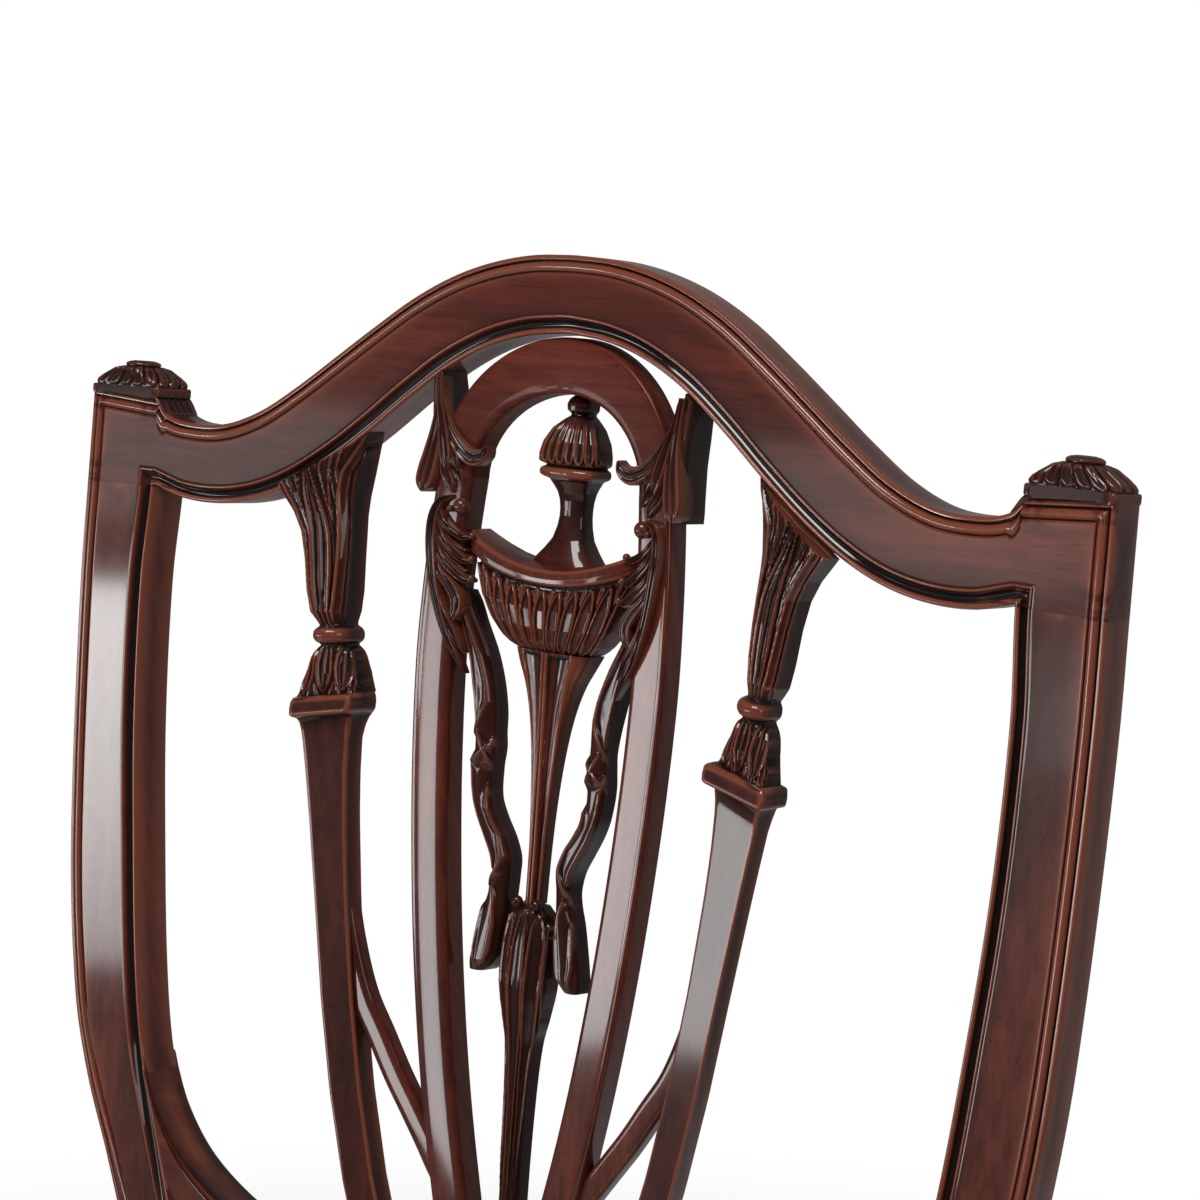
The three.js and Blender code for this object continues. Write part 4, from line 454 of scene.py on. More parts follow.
# %% Edge lines
CREST_TOP = [
    (0, 1), (0.0945, 0.985), (0.189, 0.93), (0.277, 0.84), (0.3687, 0.7), (0.46, 0.518), (0.554, 0.318),
    (0.645, 0.124), (0.737, -0.047), (0.829, -0.147), (0.921, -0.158), (0.975, -0.12), (1, -0.045),
]
CREST_LOW = [
    (0, 0.561), (0.0945, 0.53), (0.184, 0.45), (0.276, 0.308), (0.3687, 0.108), (0.46, -0.111),
    (0.553, -0.315), (0.645, -0.478), (0.737, -0.586), (0.829, -0.635), (0.921, -0.629), (1, -0.569),
]
STILE_OUTER = [
    (0, 0.98), (0.1, 0.99), (0.2, 1), (0.35, 0.98), (0.49, 0.939), (0.56, 0.9), (0.63, 0.839), (0.7, 0.749),
    (0.77, 0.588), (0.845, 0.358), (0.925, 0.146), (1.01, 0.032), (1.1, 0),
]
STILE_INNER = [
    (0, 0.915), (0.0988, 0.915), (0.2, 0.959), (0.35, 0.939), (0.49, 0.864), (0.63, 0.761), (0.723, 0.644),
    (0.8, 0.46), (0.877, 0.275), (0.96, 0.08), (1.05, 0.003), (1.1, 0),
]
BASE_UPPER = [
    (0, 0.93), (0.3, 0.918), (0.522, 0.899), (0.697, 0.873), (0.846, 0.831), (0.945, 0.776), (1, 0.723),
]
BASE_LOWER = [(0, 1), (0.251, 0.992), (0.502, 0.97), (0.725, 0.943), (0.893, 0.912), (1, 0.877)]
SPREAD = SHIELD_HALF - POST_HALF


def stile_outer(v):
    return POST_HALF + lath(STILE_OUTER, -v / SHIELD_DROP) * SPREAD


def stile_inner(v):
    return POST_HALF - POST_WIDTH + lath(STILE_INNER, -v / SHIELD_DROP) * SPREAD


OPENING_DROP = -CREST_LOW[-1][1] * CREST_RISE
EAR_HALF = float(stile_outer(0.0))
OPENING_HALF = float(stile_inner(-OPENING_DROP))
EAR_MIDDLE, EAR_WIDTH = (EAR_HALF + OPENING_HALF) / 2, EAR_HALF - OPENING_HALF
BASE_TOP_V, BASE_FOOT_V = -BASE_UPPER[-1][1] * SHIELD_DROP, -BASE_LOWER[-1][1] * SHIELD_DROP
BASE_TOP_HALF, BASE_FOOT_HALF = float(stile_inner(BASE_TOP_V)), float(stile_inner(BASE_FOOT_V))


def crest_top(u):
    across = np.abs(u)
    ear = -3 * (EAR_HALF - across) / EAR_WIDTH
    return np.where(across > OPENING_HALF, ear, lath(CREST_TOP, across / OPENING_HALF) * CREST_RISE)


def crest_low(u):
    across = np.abs(u)
    return np.where(across > OPENING_HALF, -OPENING_DROP, lath(CREST_LOW, across / OPENING_HALF) * CREST_RISE)


def base_upper(u):
    return -lath(BASE_UPPER, np.abs(u) / BASE_TOP_HALF) * SHIELD_DROP


def base_lower(u):
    return -lath(BASE_LOWER, np.abs(u) / BASE_FOOT_HALF) * SHIELD_DROP


print("shield opening half width", round(OPENING_HALF, 1))

# %% [markdown]
# ## Crest rail
# The crest is one board, sawn to a double curve, with a square ear at each end. Its top bead turns the ear's
# corner and runs down the stile, and its lower lip turns into the opening. It could be a swept curve, but the
# face between the two mouldings changes in width, so each section is laid out from both edges.

# %% Crest rail
EAR_HEART = 12.0


def crest_stations():
    start, end = EAR_HALF - outer_steps[-1], OPENING_HALF + inner_steps[-1]
    half = [*(EAR_HALF - outer_steps), *(start + (end - start) * FACE_SHARES), *(OPENING_HALF + inner_steps[::-1])]
    middle = OPENING_HALF * np.cos(np.linspace(0, np.pi, 170))[1:-1]
    return np.array([*half, *middle, *(-u for u in half[::-1])])


def crest_rings():
    u = crest_stations()
    top, low = crest_top(u), crest_low(u)
    inside = np.abs(u) < OPENING_HALF
    top_slope = np.hypot(1, np.where(inside, np.gradient(top, u), 0))
    low_slope = np.hypot(1, np.where(inside, np.gradient(low, u), 0))
    columns = [top - s * top_slope for s in outer_steps]
    end_top, end_low = columns[-1], low + inner_steps[-1] * low_slope
    columns += [end_top + (end_low - end_top) * share for share in FACE_SHARES]
    columns += [low + s * low_slope for s in inner_steps[::-1]]
    side = EAR_HALF - np.abs(u)
    inwards = np.abs(u) - OPENING_HALF
    points = []
    for v in columns:
        from_outer = np.minimum((top - v) / top_slope, side)
        from_inner = np.maximum((v - low) / low_slope, inwards)
        points.append((v, mould_depth(from_outer, from_inner)))
    width = top - low
    across, deep = round_the_back(points[0][1], points[-1][1], width, FRAME_DEPTH)
    points += [(top - s, d + 0 * u) for s, d in zip(across, deep)]
    v = np.stack([p[0] for p in points], 1)
    d = np.stack([p[1] + 0 * u for p in points], 1)
    corner = np.clip(side / BACK_EASE, 0, 1)
    d = np.minimum(d, (FRAME_DEPTH - BACK_EASE * (1 - np.sqrt(1 - (1 - corner) ** 2)))[:, None])
    wide = np.repeat(u[:, None], v.shape[1], 1)
    share = np.clip((np.abs(wide) - OPENING_HALF) / EAR_WIDTH, 0, 1)
    wide = wide + np.sign(wide) * share * (stile_outer(np.minimum(v, 0)) - EAR_HALF)
    return on_back(wide, v, d)


ear_ends = [on_back(sign * EAR_HALF, np.array(-OPENING_DROP / 2), EAR_HEART) for sign in (1, -1)]
crest = skin("crest_rail_dressed", crest_rings(), *ear_ends)
paint_shade_and_highlight(crest, 4, 0.2, 0)
settle(crest, across_wood, "mahogany", "crest_rail")
print("crest faces", len(crest.data.polygons))

# %% [markdown]
# ## Back posts
# Stile and rear leg are one length of wood. The moulding fades out below the shield, where the post turns
# square, and the leg sweeps back to the foot. It is laid out in sections like the crest, first square to the
# leaning back, and then level, down to the foot.

# %% Back posts
POST_DEPTH, FOOT_WIDTH, FOOT_DEPTH, FOOT_SPLAY, FOOT_LEVEL = 34.0, 27.0, 28.0, 52.0, 3.8
MOULD_END, MOULD_FADE, DEEPER_FROM, DEEPER_TO = 0.72, 0.2, 0.723, 1.1
LEAST_FACE, FAR_OFF = 4, 99.0


def within(share):
    return min(max(share, 0), 1)


def post_section(width, depth, fullness, slope):
    """Places in from the outer edge and depths, for one section of the post."""
    reach_outer, reach_inner = outer_steps * slope, inner_steps * slope
    room = width / (reach_outer[-1] + reach_inner[-1] + LEAST_FACE)
    if room < 1:
        reach_outer, reach_inner = reach_outer * room, reach_inner * room
    face = reach_outer[-1] + (width - reach_inner[-1] - reach_outer[-1]) * FACE_SHARES
    front = [*reach_outer, *face, *(width - reach_inner[::-1])]
    moulded = [*mould_depth(outer_steps, FAR_OFF), *[FACE_LEVEL] * len(FACE_SHARES)]
    moulded += [*mould_depth(FAR_OFF, inner_steps[::-1])]
    plain = [0.9, 0.5, 0.2] + [0.0] * (len(moulded) - 6) + [0.2, 0.5, 0.9]
    deep_front = [d * fullness + p * (1 - fullness) for d, p in zip(moulded, plain)]
    across, deep = round_the_back(deep_front[0], deep_front[-1], width, depth)
    return np.array(front + across), np.array(deep_front + deep)


def rear_leg(z):
    """Front, width and depth of the rear leg at a level."""
    share = within((RAIL_LOW - z) / RAIL_LOW)
    width, depth = POST_WIDTH + (FOOT_WIDTH - POST_WIDTH) * share, POST_DEPTH + (FOOT_DEPTH - POST_DEPTH) * share
    return SEAT_TO_BACK + FOOT_SPLAY * share**1.6, width, depth


def post_rings():
    rings = []
    for v in -np.concatenate([[OPENING_DROP + 0.06], np.linspace(OPENING_DROP + 1, DEEPER_TO * SHIELD_DROP, 110)]):
        share = -v / SHIELD_DROP
        outer, inner = float(stile_outer(v)), float(stile_inner(v))
        slope = math.hypot(1, (float(stile_outer(v + 1)) - float(stile_outer(v - 1))) / 2)
        deeper = within((share - DEEPER_FROM) / (DEEPER_TO - DEEPER_FROM))
        fullness = 1 - within((share - MOULD_END) / MOULD_FADE)
        s, d = post_section(outer - inner, FRAME_DEPTH + (POST_DEPTH - FRAME_DEPTH) * deeper, fullness, slope)
        rings.append(on_back(outer - s, np.full(len(s), v), d))
    for z in [RAIL_TOP + 12, RAIL_TOP, *np.linspace(RAIL_LOW, FOOT_LEVEL, 40)]:
        front, width, depth = rear_leg(z)
        s, d = post_section(width, depth, 0, 1)
        rings.append(np.stack([POST_HALF - s, front + d, np.full(len(s), z)], -1))
    return np.stack(rings)


post = skin("back_post_right_dressed", post_rings())
paint_shade_and_highlight(post, 4, 0.2, 0)
both_sides(post, upright_wood)
print("post faces", len(post.data.polygons))

# %% [markdown]
# ## Base rail and lunette
# The shield closes at the foot with a curved rail that carries the same moulding upside down: the bead runs
# along its lower edge and the lip along its upper one. A half-round block on it, the lunette, holds the splat.

# %% Base rail
def base_rings():
    rings = []
    for turn in np.linspace(-np.pi / 2, np.pi / 2, 121):
        share = math.sin(turn)
        low = np.array([share * BASE_FOOT_HALF, float(base_lower(share * BASE_FOOT_HALF))])
        high = np.array([share * BASE_TOP_HALF, float(base_upper(share * BASE_TOP_HALF))])
        width = float(np.hypot(*(high - low)))
        s, d = post_section(width, FRAME_DEPTH, 1, 1)
        at = low + (high - low) * (s / width)[:, None]
        reach = np.sign(share) * (stile_inner(at[:, 1]) + 0.4) - at[:, 0]
        rings.append(on_back(at[:, 0] + reach * abs(share) ** 12, at[:, 1], d))
    return np.stack(rings)


base = skin("shield_base_dressed", base_rings())
paint_shade_and_highlight(base, 4, 0.2, 0)

LUNETTE_RADIUS, LUNETTE_PROUD, LUNETTE_DEPTH, LUNETTE_ROOT = 27.0, 3.0, 15.0, 11
LUNETTE_ROUND = [
    (0, 3.2), (0.6, 3.0), (1.5, 2.7), (2.6, 2.6), (3.6, 2.8), (4.2, 3.4), (4.8, 4.2), (5.4, 3.6), (6.0, 1.8),
    (7.4, 0.6), (9.5, 0), (11.5, 0.6), (13, 2.0), (13.6, 3.0), (14.4, 3.3), (27, 2.4),
]


def lunette_rings():
    """Each ring runs round the half circle and back along its root, one step in from the edge after another."""
    centre = float(base_upper(0.0))
    angles = np.linspace(0, np.pi, 73)

    def outline(inset, d):
        radius = LUNETTE_RADIUS - inset
        reed = 0.35 * np.abs(np.sin(angles * 9)) ** 0.6 * np.interp(radius, [0, 6, 12, 13.4], [0, 1, 1, 0])
        root = np.linspace(-radius, radius, 25)[1:-1]
        root_level = np.full(len(root), centre - LUNETTE_ROOT + min(inset, 6))
        u = np.append(radius * np.cos(angles), root)
        v = np.append(centre + radius * np.sin(angles), root_level)
        return on_splat(u, v, np.append(d - reed, np.full(len(root), d)))

    steps = [(0.5, LUNETTE_DEPTH), (0, LUNETTE_DEPTH - 0.5)]
    steps += [(inset, drop - LUNETTE_PROUD) for inset, drop in LUNETTE_ROUND[:-1]]
    steps += [(inset, float(np.interp(inset, *zip(*LUNETTE_ROUND))) - LUNETTE_PROUD) for inset in (18, 22, 25)]
    return np.stack([outline(inset, d) for inset, d in steps])


lunette = skin("lunette", lunette_rings())
paint_shade_and_highlight(lunette, 4, 0.2)
base = joined("shield_base_dressed", [base, lunette])
settle(base, across_wood, "mahogany", "shield_base_rail")
print("base faces", len(base.data.polygons))

# %% [markdown]
# ## Front legs
# The front legs are square and taper on their two inner sides, down to a spade foot that stands proud of the
# ankle. This is made as by hand: a cube is the head of the leg, its lower face is extruded and scaled level by
# level, and at the end all long edges are eased with a small bevel, as a scraper does.

# %% Front legs
SEAT_FRONT, SEAT_DEPTH = 260.0, 420.0
LEG_TOP, LEG_ANKLE, SPADE_TOP, SPADE_FOOT, SPADE_HEIGHT = 42.0, 24.0, 34.0, 25.0, 50.0


def block(name, low, high):
    """A cube primitive at its size and place, its place kept in the mesh."""
    piece = added(name, bpy.ops.mesh.primitive_cube_add, size=1)
    with edited(piece):
        bpy.ops.transform.resize(value=[(h - l) * MM for l, h in zip(low, high)], center_override=(0, 0, 0))
        bpy.ops.transform.translate(value=[(h + l) / 2 * MM for l, h in zip(low, high)])
    return piece


def shaped(piece, name, kind, **settings):
    """Adds a modifier with its settings, and applies it."""
    modifier = piece.modifiers.new(name, kind)
    for key, value in settings.items():
        setattr(modifier, key, value)
    only(piece)
    bpy.ops.object.modifier_apply(modifier=modifier.name)


def ease(piece, width):
    """Bevels every sharp edge, as a scraper takes off an arris."""
    shaped(piece, "ease", "BEVEL", width=width * MM, segments=3, limit_method="ANGLE",
           angle_limit=math.radians(30), harden_normals=False)
    bpy.ops.object.shade_smooth_by_angle(angle=math.radians(40))


def front_leg(name):
    """The right front leg: head, taper, ankle, spade foot."""
    back = -SEAT_DEPTH + SEAT_TO_BACK
    leg = block(name, (SEAT_FRONT - LEG_TOP, back, RAIL_LOW), (SEAT_FRONT, back + LEG_TOP, RAIL_TOP))
    with edited(leg):
        bpy.ops.mesh.select_mode(type="FACE")
        bpy.ops.mesh.select_all(action="DESELECT")
    for face in leg.data.polygons:
        face.select = face.normal.z < -0.9
    bpy.ops.object.mode_set(mode="EDIT")
    corner = (SEAT_FRONT * MM, back * MM, 0)
    ankle = ((SEAT_FRONT - LEG_ANKLE / 2) * MM, (back + LEG_ANKLE / 2) * MM, 0)
    steps = [
        (SPADE_HEIGHT + 9, LEG_ANKLE / LEG_TOP, corner), (SPADE_HEIGHT + 6, 1.0, ankle),
        (SPADE_HEIGHT + 4, 1.16, ankle), (SPADE_HEIGHT + 1, SPADE_TOP / (LEG_ANKLE * 1.16), ankle),
        (SPADE_HEIGHT - 2, 1.0, ankle), (4, SPADE_FOOT / SPADE_TOP, ankle),
    ]
    level = RAIL_LOW
    for z, scale, centre in steps:
        bpy.ops.mesh.extrude_region_move(TRANSFORM_OT_translate={"value": (0, 0, (z - level) * MM)})
        bpy.ops.transform.resize(value=(scale, scale, 1), center_override=(centre[0], centre[1], z * MM))
        level = z
    bpy.ops.object.mode_set(mode="OBJECT")
    ease(leg, 1.1)
    return leg


leg = front_leg("front_leg_right_dressed")
both_sides(leg, leg_wood)
print("leg faces", len(leg.data.polygons))

# %% [markdown]
# ## Stretchers
# Four thin boards tie the legs: one on each side, one across the middle and one between the rear legs. Each
# is a cube laid between its two ends, with its long edges eased. They are moved in edit mode, so that the
# object stays at the origin as the solids do.

# %% Stretchers
STRETCHER_HEIGHT, STRETCHER_THICK, STRETCHER_LEVEL, REAR_LEVEL = 24.0, 16.0, 132.0, 168.0


def front_leg_middle(z):
    share = within((RAIL_LOW - z) / (RAIL_LOW - SPADE_HEIGHT - 5))
    half = (LEG_TOP + (LEG_ANKLE - LEG_TOP) * share) / 2
    return np.array([SEAT_FRONT - half, SEAT_TO_BACK - SEAT_DEPTH + half])


def rear_leg_middle(z):
    front, width, depth = rear_leg(z)
    return np.array([POST_HALF - width / 2, front + depth / 2])


def board(name, start, end, level, trim):
    """A board between two places in plan, cut short at both ends."""
    way = end - start
    size = np.array([float(np.hypot(*way)) - 2 * trim, STRETCHER_THICK, STRETCHER_HEIGHT])
    piece = block(name, -size / 2, size / 2)
    ease(piece, 1.2)
    piece.data.transform(Matrix.Rotation(math.atan2(way[1], way[0]), 4, "Z"))
    middle = (start + end) / 2
    with edited(piece):
        bpy.ops.transform.translate(value=(middle[0] * MM, middle[1] * MM, level * MM))
    return piece


front_end, back_end = front_leg_middle(STRETCHER_LEVEL), rear_leg_middle(STRETCHER_LEVEL)
both_sides(board("side_stretcher_right_dressed", front_end, back_end, STRETCHER_LEVEL, 13.5), side_wood)
half_way, rear_end = (front_end + back_end) / 2, rear_leg_middle(REAR_LEVEL)
across = [
    ("cross_stretcher", half_way, STRETCHER_LEVEL, STRETCHER_THICK / 2),
    ("rear_stretcher", rear_end, REAR_LEVEL, 15.0),
]
for name, end, level, trim in across:
    settle(board(name + "_dressed", end * (-1, 1), end, level, trim), across_wood, "mahogany", name)
print("stretchers:", 2 + len(across))

# %% [markdown]
# ## Carving tools
# The splat's pieces are sawn with a flat back, shaped round on the front, and then carved. `carve` does the
# same: it lays a round front over each level of the piece, measures along it, and raises or lowers the surface
# by a relief function. `leaf` is the relief of one leaf, with a raised rim and a midrib. `trimmed` cuts a
# piece's end to the line of its neighbour. Sculpting by hand would give the same marks, but never twice alike.

# %% Carve, leaf and trim
LEAF_AT = [0, 0.1, 0.28, 0.5, 0.7, 0.84, 1.0, 1.12]
LEAF_UP = [0.85, 0.5, 0.12, 0.22, 0.8, 1, 0.35, 0]
LOBE_UP = [0.5, 0.5, 0.45, 0.5, 0.8, 1, 0.3, 0]
JOINT_GAP, CARVING_DEPTH = 0.3, 17.0


def between(table, place):
    """Straight lines through a table: one value for each column after the first."""
    return [np.interp(place, [row[0] for row in table], [row[i] for row in table]) for i in range(1, len(table[0]))]


def value_at(table, place):
    return between(table, place)[0]


def rows_at(table, places):
    return [(place, *between(table, place)) for place in places]


def leaf(across, centre, half, height=1.0, section=LEAF_UP):
    """One leaf of this half width round centre: a raised rim, and a midrib."""
    if half <= 0.02:
        return 0 * across
    return height * min(half / 0.9, 1) * np.interp(np.abs(across - centre) / half, LEAF_AT, section)


def rimmed(across, centre, half, rim=0.45, floor=0.25):
    """A leaf whose raised rim is equally wide everywhere, so that both rims meet at its tip."""
    if half <= 0.05:
        return 0 * across
    inside = half - np.abs(across - centre)
    edge = np.interp(inside, [-0.4, 0, rim, 2.2 * rim, 3.4 * rim], [0, 0.9, 1, floor + 0.1, floor])
    return edge * min(half / 0.5, 1)


def squared(wave, power):
    """A round wave drawn out to a squarer one, the more the smaller the power."""
    return np.sign(wave) * np.abs(wave) ** power


def run_along(x, y):
    """The way along a line from its first point to each of its points."""
    return np.concatenate([[0], np.cumsum(np.hypot(np.diff(x), np.diff(y)))])


def carve(rows, relief, count=121, behind=3):
    """A grid of (u, v, d) for rows of (down, u, half, front, back, squareness, tilt, turn)."""
    angle = np.linspace(0, np.pi, 721)
    grid = []
    for down, u, half, front, back, square, tilt, turn in rows:
        x = -half * squared(np.cos(angle), square)
        d = (front + back) / 2 - (back - front) / 2 * squared(np.sin(angle), square)
        run = run_along(x, d)
        at = np.linspace(0, run[-1], count)
        x, d = np.interp(at, run, x), np.interp(at, run, d)
        dx, dd = np.gradient(x), np.gradient(d)
        size = np.hypot(dx, dd) + 1e-9
        lift = relief(at - run[-1] / 2, at / run[-1] - 0.5, down)
        x = np.append(x + lift * dd / size, np.linspace(half, -half, behind + 2))
        d = np.append(d - lift * dx / size, np.full(behind + 2, back))
        lean = math.radians(tilt)
        grid.append(np.stack([u + x * math.cos(lean), -down - x * math.sin(lean), d - turn * x], -1))
    return np.stack(grid)


def trimmed(grid, limit, hold, upper=True):
    """Shortens the columns of a grid, so that its upper or lower end lies on a line."""
    work = grid if upper else grid[::-1]
    sign = 1 if upper else -1
    result = work.copy()
    for c in range(work.shape[1]):
        over = sign * (work[:, c, 1] - limit(work[:, c, 0]))
        beyond = np.nonzero(over > 0)[0]
        if len(beyond) and beyond[-1] + 1 < len(work):
            k = beyond[-1]
            start = k + over[k] / (over[k] - over[k + 1])
            at = start + (hold - start) * np.arange(hold + 1) / hold
            for axis in range(3):
                result[:hold + 1, c, axis] = np.interp(at, np.arange(len(work)), work[:, c, axis])
    return result if upper else result[::-1]


def laid(grid):
    return on_splat(grid[..., 0], grid[..., 1], grid[..., 2])


def carved(name, grid, dark, least=0.0, shaded=True):
    """Closes a carved grid to a piece, with painted shade and highlight; the last argument limits shade by depth."""
    piece = skin(name, laid(grid), crease=40, depth=grid[..., 2] * shaded)
    paint_shade_and_highlight(piece, dark=dark, least=least)
    return piece


def levels(*spans):
    """Levels in spans of (from, to, step), from the top down."""
    return np.concatenate([np.arange(a, b, s) for a, b, s in spans])


def under_crest(u):
    return crest_low(u) - JOINT_GAP


def over_base(u):
    reach = LUNETTE_RADIUS + JOINT_GAP
    round_top = float(base_upper(0.0)) + np.sqrt(np.maximum(reach**2 - u**2, 0))
    return np.maximum(base_upper(u) + JOINT_GAP, round_top)


print("carving tools ready")

# %% [markdown]
# ## Outer ribs
# Each outer rib is one length: a capital like a closed tulip under the crest, a ring, a small vase of
# hanging leaves, a square block with a rounded face, and a tapering square shaft down to the base rail. The
# section changes from round to square on the way, which the squareness column says. Its front turns a little
# towards the middle of the chair. The plain part below the block gets no painted shade by depth.

# %% Outer ribs
BLOCK_FOOT, VASE_TOP, VASE_FOOT, CAPITAL_FOOT = 131, 100.6, 121.4, 91.5
RIB_ROWS = [
    (-25, 121.6, 28.5, -0.7, 13.5, 0.7, 0, 0.1), (10, 124.7, 25.1, -0.8, 13.5, 0.7, 0, 0.12),
    (25, 124.4, 22.5, -0.9, 13.5, 0.7, 0, 0.14), (36, 120.8, 17.4, -1.2, 13.5, 0.75, 0.3, 0.16),
    (44, 117.5, 13.9, -1.3, 13.5, 0.8, 1.2, 0.16), (52, 115.1, 11.9, -1.5, 13.5, 0.85, 2.2, 0.16),
    (63, 113.5, 10.6, -1.8, 13.5, 0.85, 3.3, 0.16), (77, 112.2, 9.8, -1.8, 13.5, 0.85, 4.4, 0.16),
    (86, 111.3, 8.5, -1.2, 13.5, 0.9, 5.5, 0.15), (90.3, 110.2, 6.6, 0.4, 13.5, 1, 5.5, 0.1),
    (91.8, 109.6, 6.0, 0.9, 13.5, 1, 5.5, 0.1), (92.3, 109.1, 6.4, 0, 13.5, 1, 5.5, 0.1),
    (93.2, 108.8, 7.5, -1.6, 13.5, 1, 5.5, 0.1), (94.3, 108.6, 8.2, -2.4, 13.5, 1, 5.5, 0.1),
    (95.9, 108.4, 8.4, -2.7, 13.5, 1, 5.5, 0.1), (97.4, 108.3, 8.2, -2.4, 13.5, 1, 5.5, 0.1),
    (98.6, 108.2, 7.5, -1.5, 13.5, 1, 5.5, 0.1), (99.5, 108.2, 6.3, 0, 13.5, 1, 5.5, 0.1),
    (100.3, 108.2, 5.9, 0.9, 13.5, 1, 5.5, 0.1), (101.2, 108.1, 6.8, 0.3, 13.5, 0.95, 6, 0.12),
    (103, 108, 8.5, -0.6, 13.5, 0.9, 6.6, 0.13), (105.5, 107.9, 9.7, -1.2, 13.5, 0.9, 6.6, 0.14),
    (109, 107.6, 10.6, -1.7, 13.5, 0.85, 7, 0.15), (112, 107.2, 11.3, -2, 13.5, 0.8, 7.7, 0.16),
    (116, 107, 12.2, -2.1, 13.5, 0.65, 8.5, 0.16), (119.5, 106.9, 13.1, -2.1, 13.5, 0.4, 10, 0.16),
    (121.3, 106.8, 13.6, -1.9, 13.5, 0.2, 11, 0.16), (121.7, 106.8, 14.3, -2.6, 13.5, 0.12, 11, 0.06),
    (122.3, 106.7, 15.1, -3.7, 13.5, 0.12, 11, -0.03), (123.3, 106.6, 15.6, -4.3, 13.5, 0.12, 11, -0.03),
    (126, 106.5, 15.9, -4.6, 13.5, 0.12, 11, -0.03), (128.7, 106.4, 15.6, -4.95, 13.5, 0.12, 11, -0.03),
    (129.6, 106.4, 15.1, -4.4, 13.5, 0.12, 11, -0.02), (130.2, 106.4, 14.3, -2.8, 13.4, 0.12, 11, 0.02),
    (130.7, 106.4, 13.1, -0.6, 13, 0.1, 11, 0.12), (132.4, 106.3, 12.4, -0.2, 12.5, 0.1, 11, 0.08),
    (136, 106.2, 11.7, 0.2, 11.5, 0.1, 11, 0.06), (141, 105.9, 11.1, 0.4, 10.5, 0.1, 10, 0.05),
    (155.6, 104.4, 9.9, 0.5, 10.5, 0.1, 9, 0.05), (174.3, 102.1, 8.93, 0.5, 10.5, 0.1, 9, 0.05),
    (211.7, 97, 7.9, 0.5, 10.5, 0.1, 9, 0.05), (251.9, 90.75, 7.75, 0.5, 10.5, 0.1, 11, 0.05),
    (290.5, 83.2, 7.6, 0.5, 10.5, 0.1, 13, 0.05), (327.9, 73.5, 7.44, 0.5, 10.5, 0.1, 18, 0.05),
    (361, 62.2, 7.3, 0.5, 10.5, 0.1, 22, 0.05), (400, 47, 7.1, 0.5, 10.5, 0.1, 25, 0),
]
RIB_LEVELS = levels((-3, 12, 1.2), (12, 91, 0.6), (91, 121, 0.45), (121, 131, 0.3), (131, 142, 1.2), (142, 398, 6))
CENTRE_LEAF = [
    (21, 0), (24, 1), (30, 2.4), (38, 3.8), (48, 4.9), (58, 5.2), (70, 4.9), (80, 4.1), (87, 3.1), (92, 2.5),
]
CORNER_EDGE = [
    (8, 26), (14, 22), (20, 18.4), (27, 14.4), (34, 11.6), (42, 9.3), (50, 7.9), (58, 7.1), (66, 6.4), (74, 5.6),
    (81, 4.7), (86, 3.6), (92, 2.6),
]
BUD = [(16, 0), (17.5, 1.8), (20, 2.7), (24, 2.9), (29, 2.3), (35, 1.4), (41, 0.8), (50, 0)]
VASE_LEAF = [(100.8, 2.4), (104, 3.6), (108, 4.2), (112, 4.1), (116, 3), (119, 1.3), (120.6, 0)]
VASE_SIDE = [(100.8, 3), (105, 4.3), (110, 4.9), (114, 4.4), (118, 2.4), (120.6, 0)]
VASE_DART = [(112.5, 0), (116, 0.9), (119, 1.8), (121.3, 2.4)]


def rib_relief(across, share, down):
    side = np.abs(across)
    if down < CAPITAL_FOOT:
        half, edge, bud = (value_at(table, down) for table in (CENTRE_LEAF, CORNER_EDGE, BUD))
        corner = np.interp(side - edge, [-0.5, 0.1, 0.8, 1.7, 3, 4.6, 5.3, 6.2, 7.4, 9, 14],
                           [0, 1.4, 1.75, 1.25, 1.1, 1.0, 0.2, 1.0, 0.8, 0.6, 0.3])
        made = [leaf(across, 0, half, 1.9), corner, leaf(side, (half + edge) / 2 - 0.4, bud, 1.5, LOBE_UP)]
        if down < 40:
            made.append(leaf(side, (half + edge) / 2 + 3.6, min(bud, 1.7), 1.0, LOBE_UP))
        return (np.maximum.reduce(made) - 1.5) * np.interp(down, [80, 91], [1, 0.35])
    if VASE_TOP < down < VASE_FOOT:
        half, beside, dart = (value_at(table, down) for table in (VASE_LEAF, VASE_SIDE, VASE_DART))
        made = [leaf(across, 0, half, 1.6), leaf(side, 8.9, beside, 1.4), leaf(side, 17, beside, 1.2),
                leaf(side, 4.9, dart, 1.1, LOBE_UP), leaf(side, 13, dart, 1.0, LOBE_UP)]
        return (np.maximum.reduce(made) - 1.2) * np.interp(down, [VASE_TOP, 103], [0.3, 1])
    return 0 * across


rib_grid = carve(rows_at(RIB_ROWS, RIB_LEVELS), rib_relief)
rib_grid = trimmed(rib_grid, under_crest, int(np.searchsorted(RIB_LEVELS, 46)))
rib_grid = trimmed(rib_grid, over_base, 6, upper=False)
rib = carved("outer_rib_right_dressed", rib_grid, (1.5, 7), shaded=rib_grid[..., 1] > -BLOCK_FOOT)
both_sides(rib, shaded_carved_wood)
print("outer rib faces", len(rib.data.polygons))

# %% [markdown]
# ## Hoop and branches
# The two inner ribs run up from the base rail and are joined by an arch below the crest. Their section is a
# bar with crisp edges and a face that is only slightly rounded. A thinner bar branches off each outer rib.

